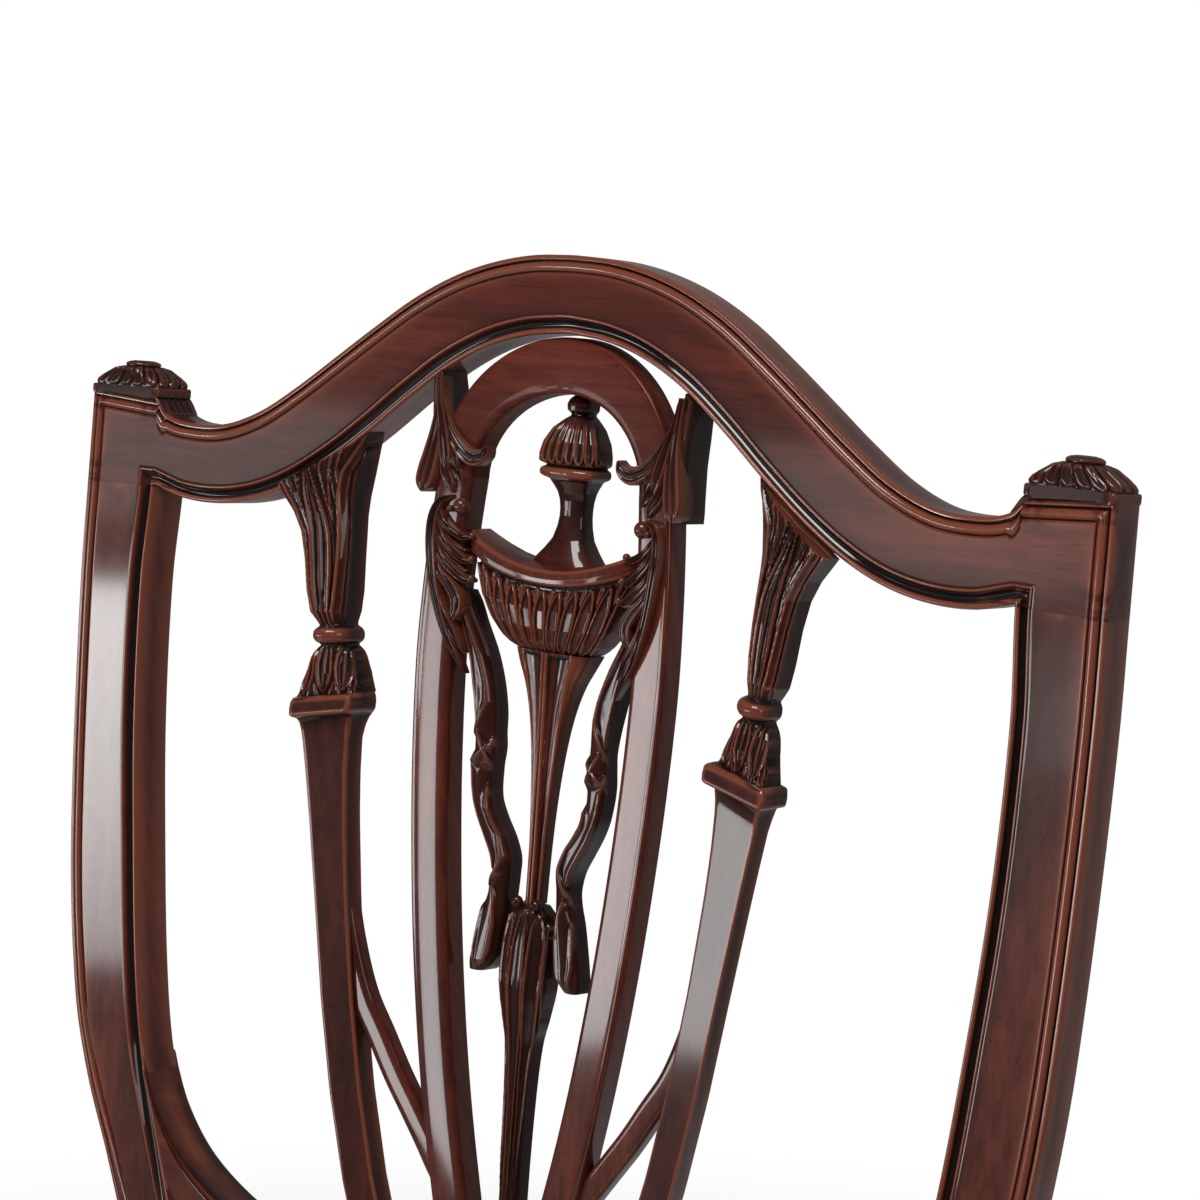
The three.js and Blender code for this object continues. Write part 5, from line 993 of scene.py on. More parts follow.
# %% Hoop and branches
HOOP_RIB = [
    (0.05, 0.1985), (0.1, 0.206), (0.16, 0.212), (0.235, 0.2152), (0.33, 0.2097), (0.42, 0.199), (0.513, 0.1835),
    (0.607, 0.1625), (0.69, 0.139), (0.77, 0.111), (0.85, 0.08), (0.93, 0.046),
]
HOOP_WIDTH, HOOP_DEPTH, ARCH_SPRING, ARCH_INNER, ARCH_OUTER = 17.5, 12.0, -22.0, 38.0, 61.0


def hoop_middle(v):
    return lath(HOOP_RIB, -v / SHIELD_DROP) * SHIELD_HALF


BAR_EDGE = [(0, 2.4), (0.12, 1.5), (0.45, 0.75), (0.95, 0.32), (1.6, 0.1), (2.6, 0)]


def bar_ring(inner, outer, front=0.0, back=HOOP_DEPTH, crown=0.2):
    """The section of a bar between two places of the drawing."""
    width = float(np.hypot(*(outer - inner)))
    way = (outer - inner) / width
    thick, flat = back - front, np.linspace(2.6, width - 2.6, 7)[1:-1]
    xs = [x for x, _ in BAR_EDGE] + list(flat) + [width - x for x, _ in BAR_EDGE[::-1]]
    ds = [d for _, d in BAR_EDGE] + [0] * len(flat) + [d for _, d in BAR_EDGE[::-1]]
    face = len(xs)
    xs += [width, width, width - 0.5, width * 0.7, width * 0.3, 0.5, 0, 0]
    ds += [6, thick - 0.5, thick, thick, thick, thick, thick - 0.5, 6]
    xs, ds = np.array(xs), np.array(ds, float)
    ds[:face] -= crown * np.abs(np.sin(np.pi * xs[:face] / width)) ** 0.8
    at = inner + np.outer(xs, way)
    return np.stack([at[:, 0], at[:, 1], front + ds], -1)


def arch_grid():
    spring = float(hoop_middle(ARCH_SPRING))
    rows = []
    for angle in np.linspace(0, np.pi, 109):
        c, s = math.cos(angle), math.sin(angle)
        inner = np.array([(spring - HOOP_WIDTH / 2) * c, ARCH_SPRING + ARCH_INNER * s])
        outer = np.array([(spring + HOOP_WIDTH / 2) * c, ARCH_SPRING + ARCH_OUTER * s])
        rows.append(bar_ring(inner, outer))
    return np.stack(rows)


def hoop_rib_grid():
    rows = []
    for v in np.linspace(ARCH_SPRING - 0.02, -390, 90):
        middle = float(hoop_middle(v))
        rows.append(bar_ring(np.array([middle - HOOP_WIDTH / 2, v]), np.array([middle + HOOP_WIDTH / 2, v])))
    return trimmed(np.stack(rows), over_base, 12, upper=False)


BRANCH = [
    (0.49, 0.376), (0.545, 0.353), (0.6, 0.319), (0.64, 0.278), (0.675, 0.242), (0.705, 0.207), (0.735, 0.172),
    (0.762, 0.142), (0.79, 0.106), (0.8, 0.094),
]
BRANCH_HALF, BRANCH_FRONT, BRANCH_BACK, BRANCH_CROWN, NEAR_BY = 5.5, 3.6, 10.6, 0.1, 0.004


def branch_grid():
    rows = []
    for at in np.linspace(0.5, 0.788, 56):
        middle = np.array([float(lath(BRANCH, at)) * SHIELD_HALF, -at * SHIELD_DROP])
        ahead = float(lath(BRANCH, at + NEAR_BY) - lath(BRANCH, at - NEAR_BY)) * SHIELD_HALF
        way = np.array([ahead, -2 * NEAR_BY * SHIELD_DROP])
        side = np.array([-way[1], way[0]]) / np.hypot(*way) * BRANCH_HALF
        rows.append(bar_ring(middle - side, middle + side, BRANCH_FRONT, BRANCH_BACK, BRANCH_CROWN))
    return np.stack(rows)


arch = skin("hoop_arch_dressed", laid(arch_grid()))
settle(arch, arch_wood, "mahogany", "hoop_arch")
hoop = skin("hoop_rib_right_dressed", laid(hoop_rib_grid()))
both_sides(hoop, upright_wood)
both_sides(skin("rib_branch_right_dressed", laid(branch_grid())), upright_wood)
print("hoop faces", len(arch.data.polygons) + 2 * len(hoop.data.polygons))

# %% [markdown]
# ## Urn
# The urn is carved in three lengths. The finial has a knob, a dome of round-ended leaves, a ring and a hollow
# neck. The bowl has a plain rim that rises to both ends, and a row of pointed leaves below it. The stem is a
# trumpet with two reeds down its middle and a hollow on each side.

# %% Urn
FINIAL_HEIGHT, BOWL_HEIGHT, STEM_HEIGHT, CALYX_HEIGHT = 71, 33.5, 105, 191.25
FINIAL_HALF, BOWL_HALF, STEM_HALF, CALYX_HALF = 14.6, 46, 19, 11.6
BOWL_SMILE, BOWL_RIM = 13.5, 2.2
KNOB_TOP = ARCH_SPRING + ARCH_INNER - JOINT_GAP
BOWL_TOP = KNOB_TOP - (FINIAL_HEIGHT + JOINT_GAP)
STEM_TOP = BOWL_TOP - (BOWL_HEIGHT + JOINT_GAP)
CALYX_TOP = STEM_TOP - (STEM_HEIGHT + JOINT_GAP)
FINIAL = [
    (0, 0.26, 0.55), (0.02, 0.34, 0.42), (0.05, 0.4, 0.36), (0.085, 0.38, 0.37), (0.104, 0.29, 0.48),
    (0.115, 0.29, 0.48), (0.135, 0.42, 0.38), (0.19, 0.7, 0.22), (0.27, 0.92, 0.06), (0.34, 1, 0), (0.385, 1, 0),
    (0.397, 0.95, 0.04), (0.405, 0.84, 0.13), (0.413, 0.86, 0.12), (0.42, 0.94, 0.05), (0.432, 0.99, 0),
    (0.446, 1, -0.01), (0.46, 0.99, 0), (0.473, 0.93, 0.05), (0.482, 0.8, 0.15), (0.487, 0.74, 0.2),
    (0.51, 0.67, 0.26), (0.532, 0.6, 0.32), (0.56, 0.53, 0.39), (0.604, 0.47, 0.45), (0.65, 0.445, 0.475),
    (0.7, 0.445, 0.48), (0.757, 0.48, 0.45), (0.83, 0.58, 0.38), (0.89, 0.78, 0.27), (0.94, 0.98, 0.17),
    (1, 1.25, 0.08),
]
STEM = [
    (0, 1, 0, 1), (0.06, 0.86, 0.01, 0.9), (0.13, 0.68, 0.04, 0.82), (0.24, 0.5, 0.07, 0.75),
    (0.38, 0.37, 0.1, 0.7), (0.55, 0.28, 0.13, 0.66), (0.75, 0.22, 0.16, 0.64), (1, 0.2, 0.18, 0.62),
]
BOWL = [
    (0, 0.95, 0.1), (0.012, 0.962, 0.035), (0.035, 0.968, 0.012), (0.11, 0.968, 0.0), (0.165, 0.962, 0.01),
    (0.185, 0.945, 0.04), (0.198, 0.9, 0.12), (0.215, 0.875, 0.13), (0.25, 0.86, 0.08), (0.33, 0.83, 0.02),
    (0.5, 0.77, -0.03), (0.72, 0.65, 0.01), (0.88, 0.53, 0.1), (0.95, 0.46, 0.2), (1, 0.4, 0.34),
]


def upright(top, height, wide, shares, section, proud=0):
    """Rows of a piece on the middle line; section gives its half width, front and back as shares."""
    rows = []
    for share in shares:
        half, front, back = section(share)
        front, back = front * CARVING_DEPTH - proud, back * CARVING_DEPTH
        rows.append((-top + share * height, 0, half * wide, front, back, 1, 0, 0))
    return rows


def finial_relief(across, share, down):
    at = KNOB_TOP + down
    if not 9.4 < at < 28.2:
        return 0 * across
    tip = math.sqrt(max(1 - (max(at - 24.6, 0) / 3.4) ** 2, 0))
    pitch = 1 / 8.5
    scale = across[-1] / share[-1]
    nearest = np.round(share / pitch) * pitch
    made = 1.5 * rimmed(share * scale, nearest * scale, 0.45 * pitch * scale * tip, 0.45, 0.5)
    return (made - 0.75) * np.interp(at, [9.4, 14], [0.2, 1])


finial_shares = np.arange(0, 1.0001, 0.0078)
finial_rows = upright(KNOB_TOP, FINIAL_HEIGHT, FINIAL_HALF, finial_shares, lambda share: (*between(FINIAL, share), 1))
finial = carved("urn_finial_dressed", carve(finial_rows, finial_relief, 129), (4, 12))
settle(finial, shaded_carved_wood, "mahogany", "urn_finial")

BOWL_LEAF = [(0.24, 0), (0.28, 1), (0.35, 2.2), (0.47, 3.2), (0.6, 3.6), (0.8, 3.8), (0.93, 3.6), (0.985, 2.2), (1, 0)]
BOWL_DART = [(0.21, 0), (0.27, 1.1), (0.36, 0.9), (0.46, 0)]
BOWL_LEAVES = 10.5


def bowl_relief(across, share, down):
    at = (BOWL_TOP + down) / BOWL_HEIGHT
    if at < 0.21:
        return 0 * across
    half, dart = value_at(BOWL_LEAF, at), value_at(BOWL_DART, at)
    scale = across[-1] / share[-1]
    nearest = np.round(share * BOWL_LEAVES) / BOWL_LEAVES * scale
    between_two = (np.round(share * BOWL_LEAVES - 0.5) + 0.5) / BOWL_LEAVES * scale
    made = 2.2 * rimmed(across, nearest, half * scale / 88, 0.5, 0.5)
    made = np.maximum(made, 0.9 * rimmed(across, between_two, dart * scale / 100))
    return (made - 1.1) * np.interp(at, [0.21, 0.25], [0, 1])


bowl_shares = np.concatenate([np.linspace(0, 0.16, 25), np.linspace(0.17, 1, 84)])
bowl_rows = upright(BOWL_TOP, BOWL_HEIGHT, BOWL_HALF, bowl_shares, lambda share: (*between(BOWL, share), 1), 5)
bowl_grid = carve(bowl_rows, bowl_relief, 361, 9)
bowl_grid[..., 1] += (BOWL_SMILE * (1 - bowl_shares))[:, None] * (bowl_grid[..., 0] / BOWL_HALF) ** 2
inwards = []
for share in (0.04, 0.2, 0.4, 0.6, 0.8, 0.94):
    row = bowl_grid[0] * [share, 1, 1]
    row[:, 1] = BOWL_TOP + BOWL_SMILE * (row[:, 0] / BOWL_HALF) ** 2 + BOWL_RIM * (1 - share)
    row[:, 2] = CARVING_DEPTH / 2 + (bowl_grid[0, :, 2] - CARVING_DEPTH / 2) * (0.3 + 0.7 * share)
    inwards.append(row)
bowl_grid = np.concatenate([np.stack(inwards), bowl_grid])
bowl = carved("urn_bowl_dressed", bowl_grid, (3, 10), shaded=bowl_grid[..., 1] < BOWL_TOP - 6)
settle(bowl, urn_wood, "mahogany", "urn_bowl")


def stem_relief(across, share, down):
    at = (STEM_TOP + down) / STEM_HEIGHT
    side = np.abs(across)
    reed = np.interp(side, [0, 0.18, 0.5, 0.9, 1.4, 1.75, 2.1], [-0.6, 0.1, 0.55, 0.65, 0.3, -0.1, -0.6])
    reach = np.interp(at, [0, 0.1, 0.3, 0.6, 1], [12.5, 10, 7, 5, 4])
    hollow = -np.interp(side, [1.8, 2.4, (2.2 + reach) / 2, reach - 0.6, reach + 0.2], [0, 0.7, 1.5, 0.8, -0.15])
    return np.where(side < 2.1, reed, hollow) * np.interp(at, [0, 0.015, 1], [0.3, 1, 0.8])


stem_line = [(s, *[float(lath(STEM, s, i)) for i in (1, 2, 3)]) for s in np.linspace(0, 1, 41)]
stem_rows = upright(STEM_TOP, STEM_HEIGHT, STEM_HALF, np.linspace(0, 1, 110), lambda share: between(stem_line, share))
stem = carved("urn_stem_dressed", carve(stem_rows, stem_relief, 109), (4, 10))
settle(stem, urn_wood, "mahogany", "urn_stem")
print("urn faces", len(finial.data.polygons) + len(bowl.data.polygons) + len(stem.data.polygons))

# %% [markdown]
# ## Calyx and stalk
# A calyx of long reeded leaves closes round the foot of the urn's stem, with two curled buds in its mouth, and
# runs down as a stalk to the lunette. The leaves are relief, and the buds are balls set into the top.

# %% Calyx
CALYX = [
    (0, 0.5, 0.16, 0.6), (0.02, 0.76, 0, 0.66), (0.06, 0.92, -0.1, 0.7), (0.12, 1, -0.16, 0.72),
    (0.18, 1, -0.16, 0.74), (0.245, 0.82, -0.08, 0.72), (0.31, 0.62, 0, 0.68), (0.42, 0.52, 0.06, 0.66),
    (0.6, 0.48, 0.1, 0.66), (0.8, 0.5, 0.12, 0.7), (1, 0.6, 0.12, 0.72),
]
CALYX_CENTRE = [
    (1, 0), (4, 1.4), (10, 2.9), (20, 4), (35, 4.4), (50, 3.9), (62, 2.9), (80, 2), (120, 1.4), (190, 1.2),
]
CALYX_SIDE = [
    (4, 7.2, 0), (5, 7.4, 1.6), (8, 7.8, 2.9), (16, 8.5, 3.9), (30, 8.3, 4), (50, 6.7, 3), (70, 4.9, 2),
    (100, 4, 1.2), (130, 3.8, 0),
]
CENTRE_UP = [0.5, 0.3, 0.25, 0.35, 0.8, 1, 0.3, 0]
BESIDE_UP = [0.3, 0.25, 0.25, 0.35, 0.8, 1, 0.25, 0]
BUDS = [(4.9, 0.6, 1.4, 2.5), (4.6, 0.4, -0.9, 1.0)]


def calyx_relief(across, share, down):
    at = CALYX_TOP + down
    side = np.abs(across)
    place, half = between(CALYX_SIDE, at)
    made = [leaf(across, 0, value_at(CALYX_CENTRE, at), 1.5, CENTRE_UP),
            leaf(side, place, half * 1.15, 1.6, BESIDE_UP), leaf(side, place + 7.5, half, 1.3)]
    return (np.maximum.reduce(made) - 1) * np.interp(at, [0, 6, 60, 120], [0.3, 1, 1, 0.5])


def ball(name, u, v, d, radius):
    """A small carved ball, its place kept in the mesh."""
    piece = added(name, bpy.ops.mesh.primitive_uv_sphere_add, segments=24, ring_count=14, radius=radius * MM,
                  location=on_splat(np.array(float(u)), v, d) * MM)
    bpy.ops.object.transform_apply(location=True, rotation=True, scale=True)
    bpy.ops.object.shade_smooth()
    return piece


calyx_shares = np.concatenate([np.linspace(0, 0.36, 130), np.linspace(0.37, 1.0, 40)])
calyx_rows = upright(CALYX_TOP, CALYX_HEIGHT, CALYX_HALF, calyx_shares,
                     lambda share: [float(lath(CALYX, share, i)) for i in (1, 2, 3)])
calyx_grid = trimmed(carve(calyx_rows, calyx_relief, 101), over_base, 12, upper=False)
calyx = carved("calyx", calyx_grid, (1.5, 7), 0.25)
buds = [ball("bud", side * u, CALYX_TOP + up, d, radius) for u, up, d, radius in BUDS for side in (-1, 1)]
calyx = joined("calyx_stalk_dressed", [calyx, *buds])
settle(calyx, shaded_carved_wood, "mahogany", "calyx_stalk")
print("calyx faces", len(calyx.data.polygons))

# %% [markdown]
# ## Cloth swags
# From under each end of the bowl hangs a length of carved cloth, twisted, tied in a knot halfway and ending in
# a pointed tail. It is wood, so no cloth is simulated: the folds are lines that wander over the round front,
# each high on one side and falling away on the other.

# %% Swags
SWAG = [
    (69, 47.2, 3.4), (74, 44.6, 4), (82, 41.2, 4.3), (94, 35.8, 5), (106, 32.3, 5.7), (118, 29.8, 5.6),
    (127, 29, 5.2), (133, 28.9, 5.7), (142, 29.6, 5.7), (154, 28.5, 5.2), (162, 25.3, 5.6), (170, 20.8, 6),
    (178, 17.2, 5.5), (186, 16.4, 4.7), (192, 17, 5), (199, 18.4, 6), (207, 19.8, 6.6), (215, 21.2, 7),
    (221, 22.3, 7), (225, 23.6, 6), (227.5, 25, 4.2),
]
FOLDS = [
    (0, [(69, 0.3), (94, 0.42), (115, 0.5), (128, 0.55)]),
    (0, [(72, -0.45), (84, -0.6), (98, -0.75)]),
    (-1, [(72, 0), (94, -0.2), (106, -0.32), (114, -0.22), (121, 0.2), (127, 0.6), (132, 0.95)]),
    (1, [(123, 0.55), (129, 0.15), (136, -0.3), (143, -0.8)]),
    (-1, [(128, -0.8), (133, -0.2), (138, 0.4), (143, 0.9)]),
    (0, [(134, 0.8), (143, 0.42), (155, 0.35), (168, 0.38), (186, 0.35)]),
    (-1, [(148, -0.55), (158, -0.3), (168, -0.42), (177, -0.25), (184, 0.2), (189, 0.7), (194, 0.97)]),
    (1, [(187, 0.35), (196, -0.1), (206, -0.35), (217, -0.4), (226, -0.2)]),
    (0, [(196, 0.65), (206, 0.55), (217, 0.4), (226, 0.1)]),
]


def swag_relief(across, share, down):
    lift = 0 * across
    for high, line in FOLDS:
        if line[0][0] <= down <= line[-1][0]:
            off = share * 2 - value_at(line, down)
            wide = np.where(off * high > 0, 0.5, 0.12) if high else 0.16
            fade = within(min((down - line[0][0]) / 4, (line[-1][0] - down) / 4))
            lift = np.maximum(lift, (1.8 if high else 1.3) * fade * np.exp(-((np.abs(off) / wide) ** 1.4)))
    return lift - 0.8


swag_rows = []
for down in np.arange(69, 227.5, 0.5):
    u, half = float(lath(SWAG, down)), float(lath(SWAG, down, 2))
    swag_rows.append((down, u, half, 3 - 0.28 * half, 12, 0.95, 0, 0))
swag = carved("cloth_swag_right_dressed", carve(swag_rows, swag_relief, 71), (3, 7), 0.35)
both_sides(swag, shaded_carved_wood)
print("swag faces", len(swag.data.polygons))

# %% [markdown]
# ## Leaf sprays and husks
# Over each end of the bowl lies a spray: a ball, a long stem down the inner rib, and feathered leaves that
# curl at their tips. Above it hangs a husk, with a broad outer lobe, pointed leaves, and an inner lobe that
# sweeps over the hoop. Each leaf is a `blade`: a short curved bar with a raised rim and a midrib, laid along
# a few marked places. All the blades of one ornament are joined, and get their painted shade and highlight together.

# %% Blades
BLADE_RELIEF, BLADE_ROWS, BLADE_POINTS = 1.15, 40, 25


def blade(rows):
    """A carved leaf through rows of (u, v, half width, front, root)."""
    table = np.array(rows, float)
    run = run_along(table[:, 0], table[:, 1])
    at = np.linspace(0, run[-1], BLADE_ROWS)
    u, v, half, front, root = (lath(list(zip(run, column)), at) for column in table.T)
    du, dv = np.gradient(u), np.gradient(v)
    size = np.hypot(du, dv)
    angle = np.linspace(0, np.pi, BLADE_POINTS)
    grid = []
    for i in range(BLADE_ROWS):
        h = max(float(half[i]), 0.15)
        x = -h * np.cos(angle)
        up = np.sin(angle) ** 0.15
        lift = BLADE_RELIEF * min(h / 1.6, 1) * (np.interp(np.abs(x) / h, LEAF_AT, LEAF_UP) - 0.35) * up
        d = root[i] - (root[i] - front[i]) * up - lift
        grid.append(np.stack([u[i] - dv[i] / size[i] * x, v[i] + du[i] / size[i] * x, d], -1))
    grid = np.stack(grid)
    return skin("blade", laid(grid), crease=45, depth=grid[..., 2])


def ornament(name, parts, dark):
    """Joins an ornament's parts, lays painted shade and highlight on them together, and settles both sides of it."""
    piece = joined(name, parts)
    paint_shade_and_highlight(piece, dark=dark, least=0.3)
    both_sides(piece, shaded_carved_wood)
    return piece


# %% Sprays
SPRAY_BLADES = [
    [(50, -30.6, 0.9, -2.6, 1), (54.4, -32.4, 1.6, -3.4, 1), (56.9, -38, 2.1, -4.2, 0.5), (57.4, -46, 2.3, -4.6, 0.5),
     (56.4, -56, 2.3, -4.6, 0.5), (54.6, -67, 2.1, -4.2, 0.5), (51.6, -78, 2, -3.4, 0.8), (47.6, -88, 1.7, -2.6, 1.5),
     (43.2, -96, 1.2, -1.6, 3), (39, -103.5, 0.2, 0.4, 4)],
    [(55.6, -35.4, 0.7, -3, 1), (52.5, -41, 1.5, -3.6, 1), (47.5, -44.9, 1.7, -3, 3), (43, -46.8, 1.4, -1.8, 4),
     (40.4, -46.6, 0.6, -1, 4)],
    [(56, -40, 0.8, -3.2, 1), (52.5, -47.5, 1.7, -3.8, 1), (46.8, -53, 2, -3.2, 3), (42, -56.3, 1.6, -2, 4),
     (39.4, -56.6, 0.6, -1.4, 4)],
    [(53.5, -43.5, 0.5, -2.4, 1), (49, -48.8, 1.1, -2.4, 2), (44.6, -51.6, 1.1, -1.4, 4), (42, -52.4, 0.3, -0.8, 4)],
    [(56.2, -47, 0.8, -3.4, 1), (52.6, -55, 1.9, -4, 1), (46.5, -60.6, 2.2, -3.4, 3), (41, -64.2, 1.7, -2.2, 4),
     (38.4, -64.6, 0.6, -1.6, 4)],
    [(53, -51.5, 0.5, -2.6, 1), (48, -56.9, 1.2, -2.6, 2), (43.4, -60, 1.1, -1.6, 4), (41, -60.8, 0.3, -1, 4)],
    [(56, -54, 0.8, -3.4, 1), (52.6, -61.5, 1.9, -4, 1), (46.8, -67.5, 2.6, -3.6, 3), (43.6, -72.5, 2.7, -3.2, 4),
     (43.6, -77.5, 2.5, -3, 4), (46.6, -83, 0.3, -2, 3)],
    [(54.8, -65, 0.7, -3, 1), (52, -74, 1.6, -3.4, 1), (48.2, -81.5, 2.1, -3, 3), (43.8, -88.6, 1.8, -2.2, 4),
     (40, -95, 0.3, -0.6, 4)],
]
SPRAY_BALLS = [
    ("bead", 46.4, -34.2, 0.4, 3.6), ("curl", 39.6, -45.9, -0.4, 1.6), ("curl", 38.8, -55.6, -1, 1.8),
    ("curl", 38, -63.6, -1.2, 1.8), ("curl", 50.6, -35.6, -1.8, 1.5),
]
spray_parts = [blade(rows) for rows in SPRAY_BLADES] + [ball(*row) for row in SPRAY_BALLS]
spray = ornament("leaf_spray_right_dressed", spray_parts, (-2.2, 1.2))

# %% Husks
HUSK_BLOCK = [
    (-41.5, 64.5, 2.6, 1, 17, 0.5, 26, 0), (-19, 63.6, 3, 1, 17, 0.5, 26, 0), (-6, 62, 4.2, 1, 17, 0.5, 26, 0),
    (5, 59.4, 6.2, 1, 17, 0.5, 24, 0), (14.5, 57.6, 8.2, 1.4, 17, 0.5, 20, 0), (20.5, 57, 8.8, 1.6, 17, 0.5, 16, 0),
    (25, 57.4, 8.4, 1.4, 17, 0.4, 12, 0), (28.6, 58, 7.6, 1.4, 17, 0.4, 10, 0),
]
HUSK_BLADES = [
    [(61.4, 19, 1.6, -0.4, 6), (60.8, 12, 1.8, -0.8, 6), (60, 4, 2.5, -1.4, 6), (60.2, -5, 3.4, -2.4, 6),
     (61.2, -14, 4.3, -3.4, 6), (62.4, -21, 4.7, -4, 6), (63.4, -26.5, 3.9, -4.2, 6), (64, -29.6, 0.8, -3.8, 6)],
    [(60.6, 17, 0.8, -1, 4), (59.4, 8, 1.3, -1.8, 4), (57.3, 0, 2, -2.6, 4), (55.2, -8, 2.9, -3.4, 4),
     (53.5, -15, 2.6, -3.8, 4), (52.4, -21.5, 0.25, -3.2, 4)],
    [(57.4, 3, 0.8, -1.2, 4), (53, -6.6, 2, -2.6, 4), (49.8, -14, 2.5, -3.4, 4), (47.8, -19.6, 0.25, -3, 4)],
    [(57.4, -12, 1.4, -0.4, 5), (54.4, -20, 2.7, -1.8, 5), (51.6, -25, 2.2, -2.4, 5), (49.8, -29, 0.25, -2.2, 5)],
    [(53, -13, 1.4, 0, 5), (48.6, -20.6, 2.3, -1.4, 5), (45.6, -25.2, 0.25, -1.4, 5)],
    [(60, 12, 0.8, -0.6, 4), (56, 1.6, 1.7, -1.6, 3), (51.4, -5.8, 2.5, -2.4, 2), (45.8, -11.2, 3.4, -3.2, 1.5),
     (39.8, -13.5, 3.7, -3.8, 1.5), (35.2, -11.6, 2.7, -4, 1.5), (33.2, -8, 0.7, -3.8, 1.5)],
]
husk_rows = rows_at(HUSK_BLOCK, levels((-41, 29, 1.2)))
husk_grid = trimmed(carve(husk_rows, lambda across, share, down: 0 * across, 41), under_crest, 22)
husk_parts = [skin("husk", laid(husk_grid), depth=husk_grid[..., 2])] + [blade(rows) for rows in HUSK_BLADES]
husk = ornament("husk_drop_right_dressed", husk_parts, (-1.4, 1.8))
print("spray faces", len(spray.data.polygons), "husk faces", len(husk.data.polygons))

# %% [markdown]
# ## Ear caps
# Each ear carries a cap: a square slab, a low dome of overlapping round-ended leaves, and a flat button. On the
# inner side the slab runs down to the crest in a hollow with flutes. The cap is turned by eye, not on a
# lathe, so it is built up in rings that go from square at the slab to round at the button.

# %% Ear caps
CAP_POINTS, CAP_DEPTH, CAP_BASE, DOME_FOOT, DOME_HEIGHT, BUTTON_INSET = 240, 11.0, -1.5, 4.1, 9.3, 11.9
SLAB_EDGE = ((0.2, -0.2), (0.7, -0.4), (3, -0.4), (3.6, -0.2), (4, 0.4), (4.1, 1.8))
BUTTON = ((13, 11.9), (13.2, 11.5), (13.8, 11.4), (14.5, 11.8), (15.1, 13), (15.5, 15))
DOME_INSET = [(0, 0.02), (0.25, 0.1), (0.45, 0.28), (0.8, 0.66), (1, 0.9)]
DOME_SQUARE = [(0, 0.25), (0.45, 0.5), (0.8, 0.8), (1, 1)]


def dome_leaves(part, rise):
    """Relief of the round-ended leaves: part goes once round the dome, and rise up its side."""
    off = np.abs((part * 16) % 1 - 0.5) * 2
    tip = math.sqrt(max(1 - (max(0.26 - rise, 0) / 0.26) ** 2, 0.02))
    shape = np.interp(off / tip, [0, 0.1, 0.3, 0.6, 0.8, 0.95, 1.1], [0.8, 0.95, 1, 0.95, 0.65, 0.2, 0])
    return 1.6 * shape * np.interp(rise, [0, 0.05, 0.8, 1], [0.4, 1, 0.8, 0.2]) - 0.8


def cap_ring(height, inset, square, sweep=0, follow=0, rise=None):
    """One ring: sweep draws its inner side down to the crest, and follow lays it on the crest's top."""
    angle = 2 * np.pi * (np.arange(CAP_POINTS) + 0.5) / CAP_POINTS
    reach = EAR_WIDTH / 2 - inset
    x, d = squared(np.cos(angle), square) * reach, squared(np.sin(angle), square) * min(CAP_DEPTH, reach)
    x, d = np.append(x, x[0]), np.append(d, d[0])
    run = run_along(x, d)
    at = np.linspace(0, run[-1], CAP_POINTS + 1)[:-1]
    x, d = np.interp(at, run, x), np.interp(at, run, d)
    raised = 0 * x if rise is None else dome_leaves(at / run[-1], rise)
    size = np.hypot(x, d) + 1e-9
    inner = np.clip(-x / reach, 0, 1) ** 8
    u = EAR_MIDDLE + x + x / size * raised * 0.6 - inner * sweep
    low = CAP_BASE + (crest_top(u) - CAP_BASE) * follow
    flutes = inner * np.abs(np.sin(d * 0.85)) * 0.7 if sweep else 0
    v = low + JOINT_GAP + height + raised * 0.8
    return on_back(u + flutes, v, FRAME_DEPTH / 2 + d + d / size * raised * 0.6)


def cap_rings():
    rings = [cap_ring(0, 0, 0.12, 6 * (1 - t) ** 2, 1 - t) for t in np.linspace(0, 1, 9)]
    rings += [cap_ring(height, inset, 0.12, 0, 0.25 * (1 - height / 5)) for height, inset in SLAB_EDGE]
    for rise in np.linspace(0.02, 0.97, 32):
        inset, square = value_at(DOME_INSET, rise) * BUTTON_INSET, value_at(DOME_SQUARE, rise)
        rings.append(cap_ring(DOME_FOOT + DOME_HEIGHT * rise, inset, square, rise=rise))
    return np.stack(rings + [cap_ring(height, inset, 1) for height, inset in BUTTON])


cap = skin("ear_cap_right_dressed", cap_rings(), crease=40)
paint_shade_and_highlight(cap, reach=0.12, least=0.5)
both_sides(cap, shaded_carved_wood)
print("cap faces", len(cap.data.polygons))

# %% [markdown]
# ## Cloth, beech, steel and brass
# The unseen parts get finishes as well: beech for the seat frame, bright steel for screws and glides, jute for
# webbing and hessian, thin black cloth under the seat, and a cream woven cover. A weave is two rows of fine
# waves, one for each thread direction, so it needs no picture of cloth.

# %% Beech and metals
def timber(name, colour, axis):
    """Unfinished beech: pale, with short dark flecks along the grain."""
    material, tree, shader = new_material(name, 0.6, specular=0.35)
    keep = drawn_out(axis, 0.06)
    broad, flecks = streaks(tree, 30, keep), streaks(tree, 380, keep, detail=2.0)
    pale = ramp(tree, broad, [(0.3, tuple(c * 0.8 for c in colour)), (0.7, colour)])
    marks = ramp(tree, flecks, [(0.55, (1, 1, 1)), (0.68, (0.62, 0.52, 0.42))])
    tree.links.new(mix(tree, 0.7, pale, marks, "MULTIPLY"), shader.inputs["Base Color"])
    bumped(tree, shader, flecks, 0.15, 0.0002)
    return material


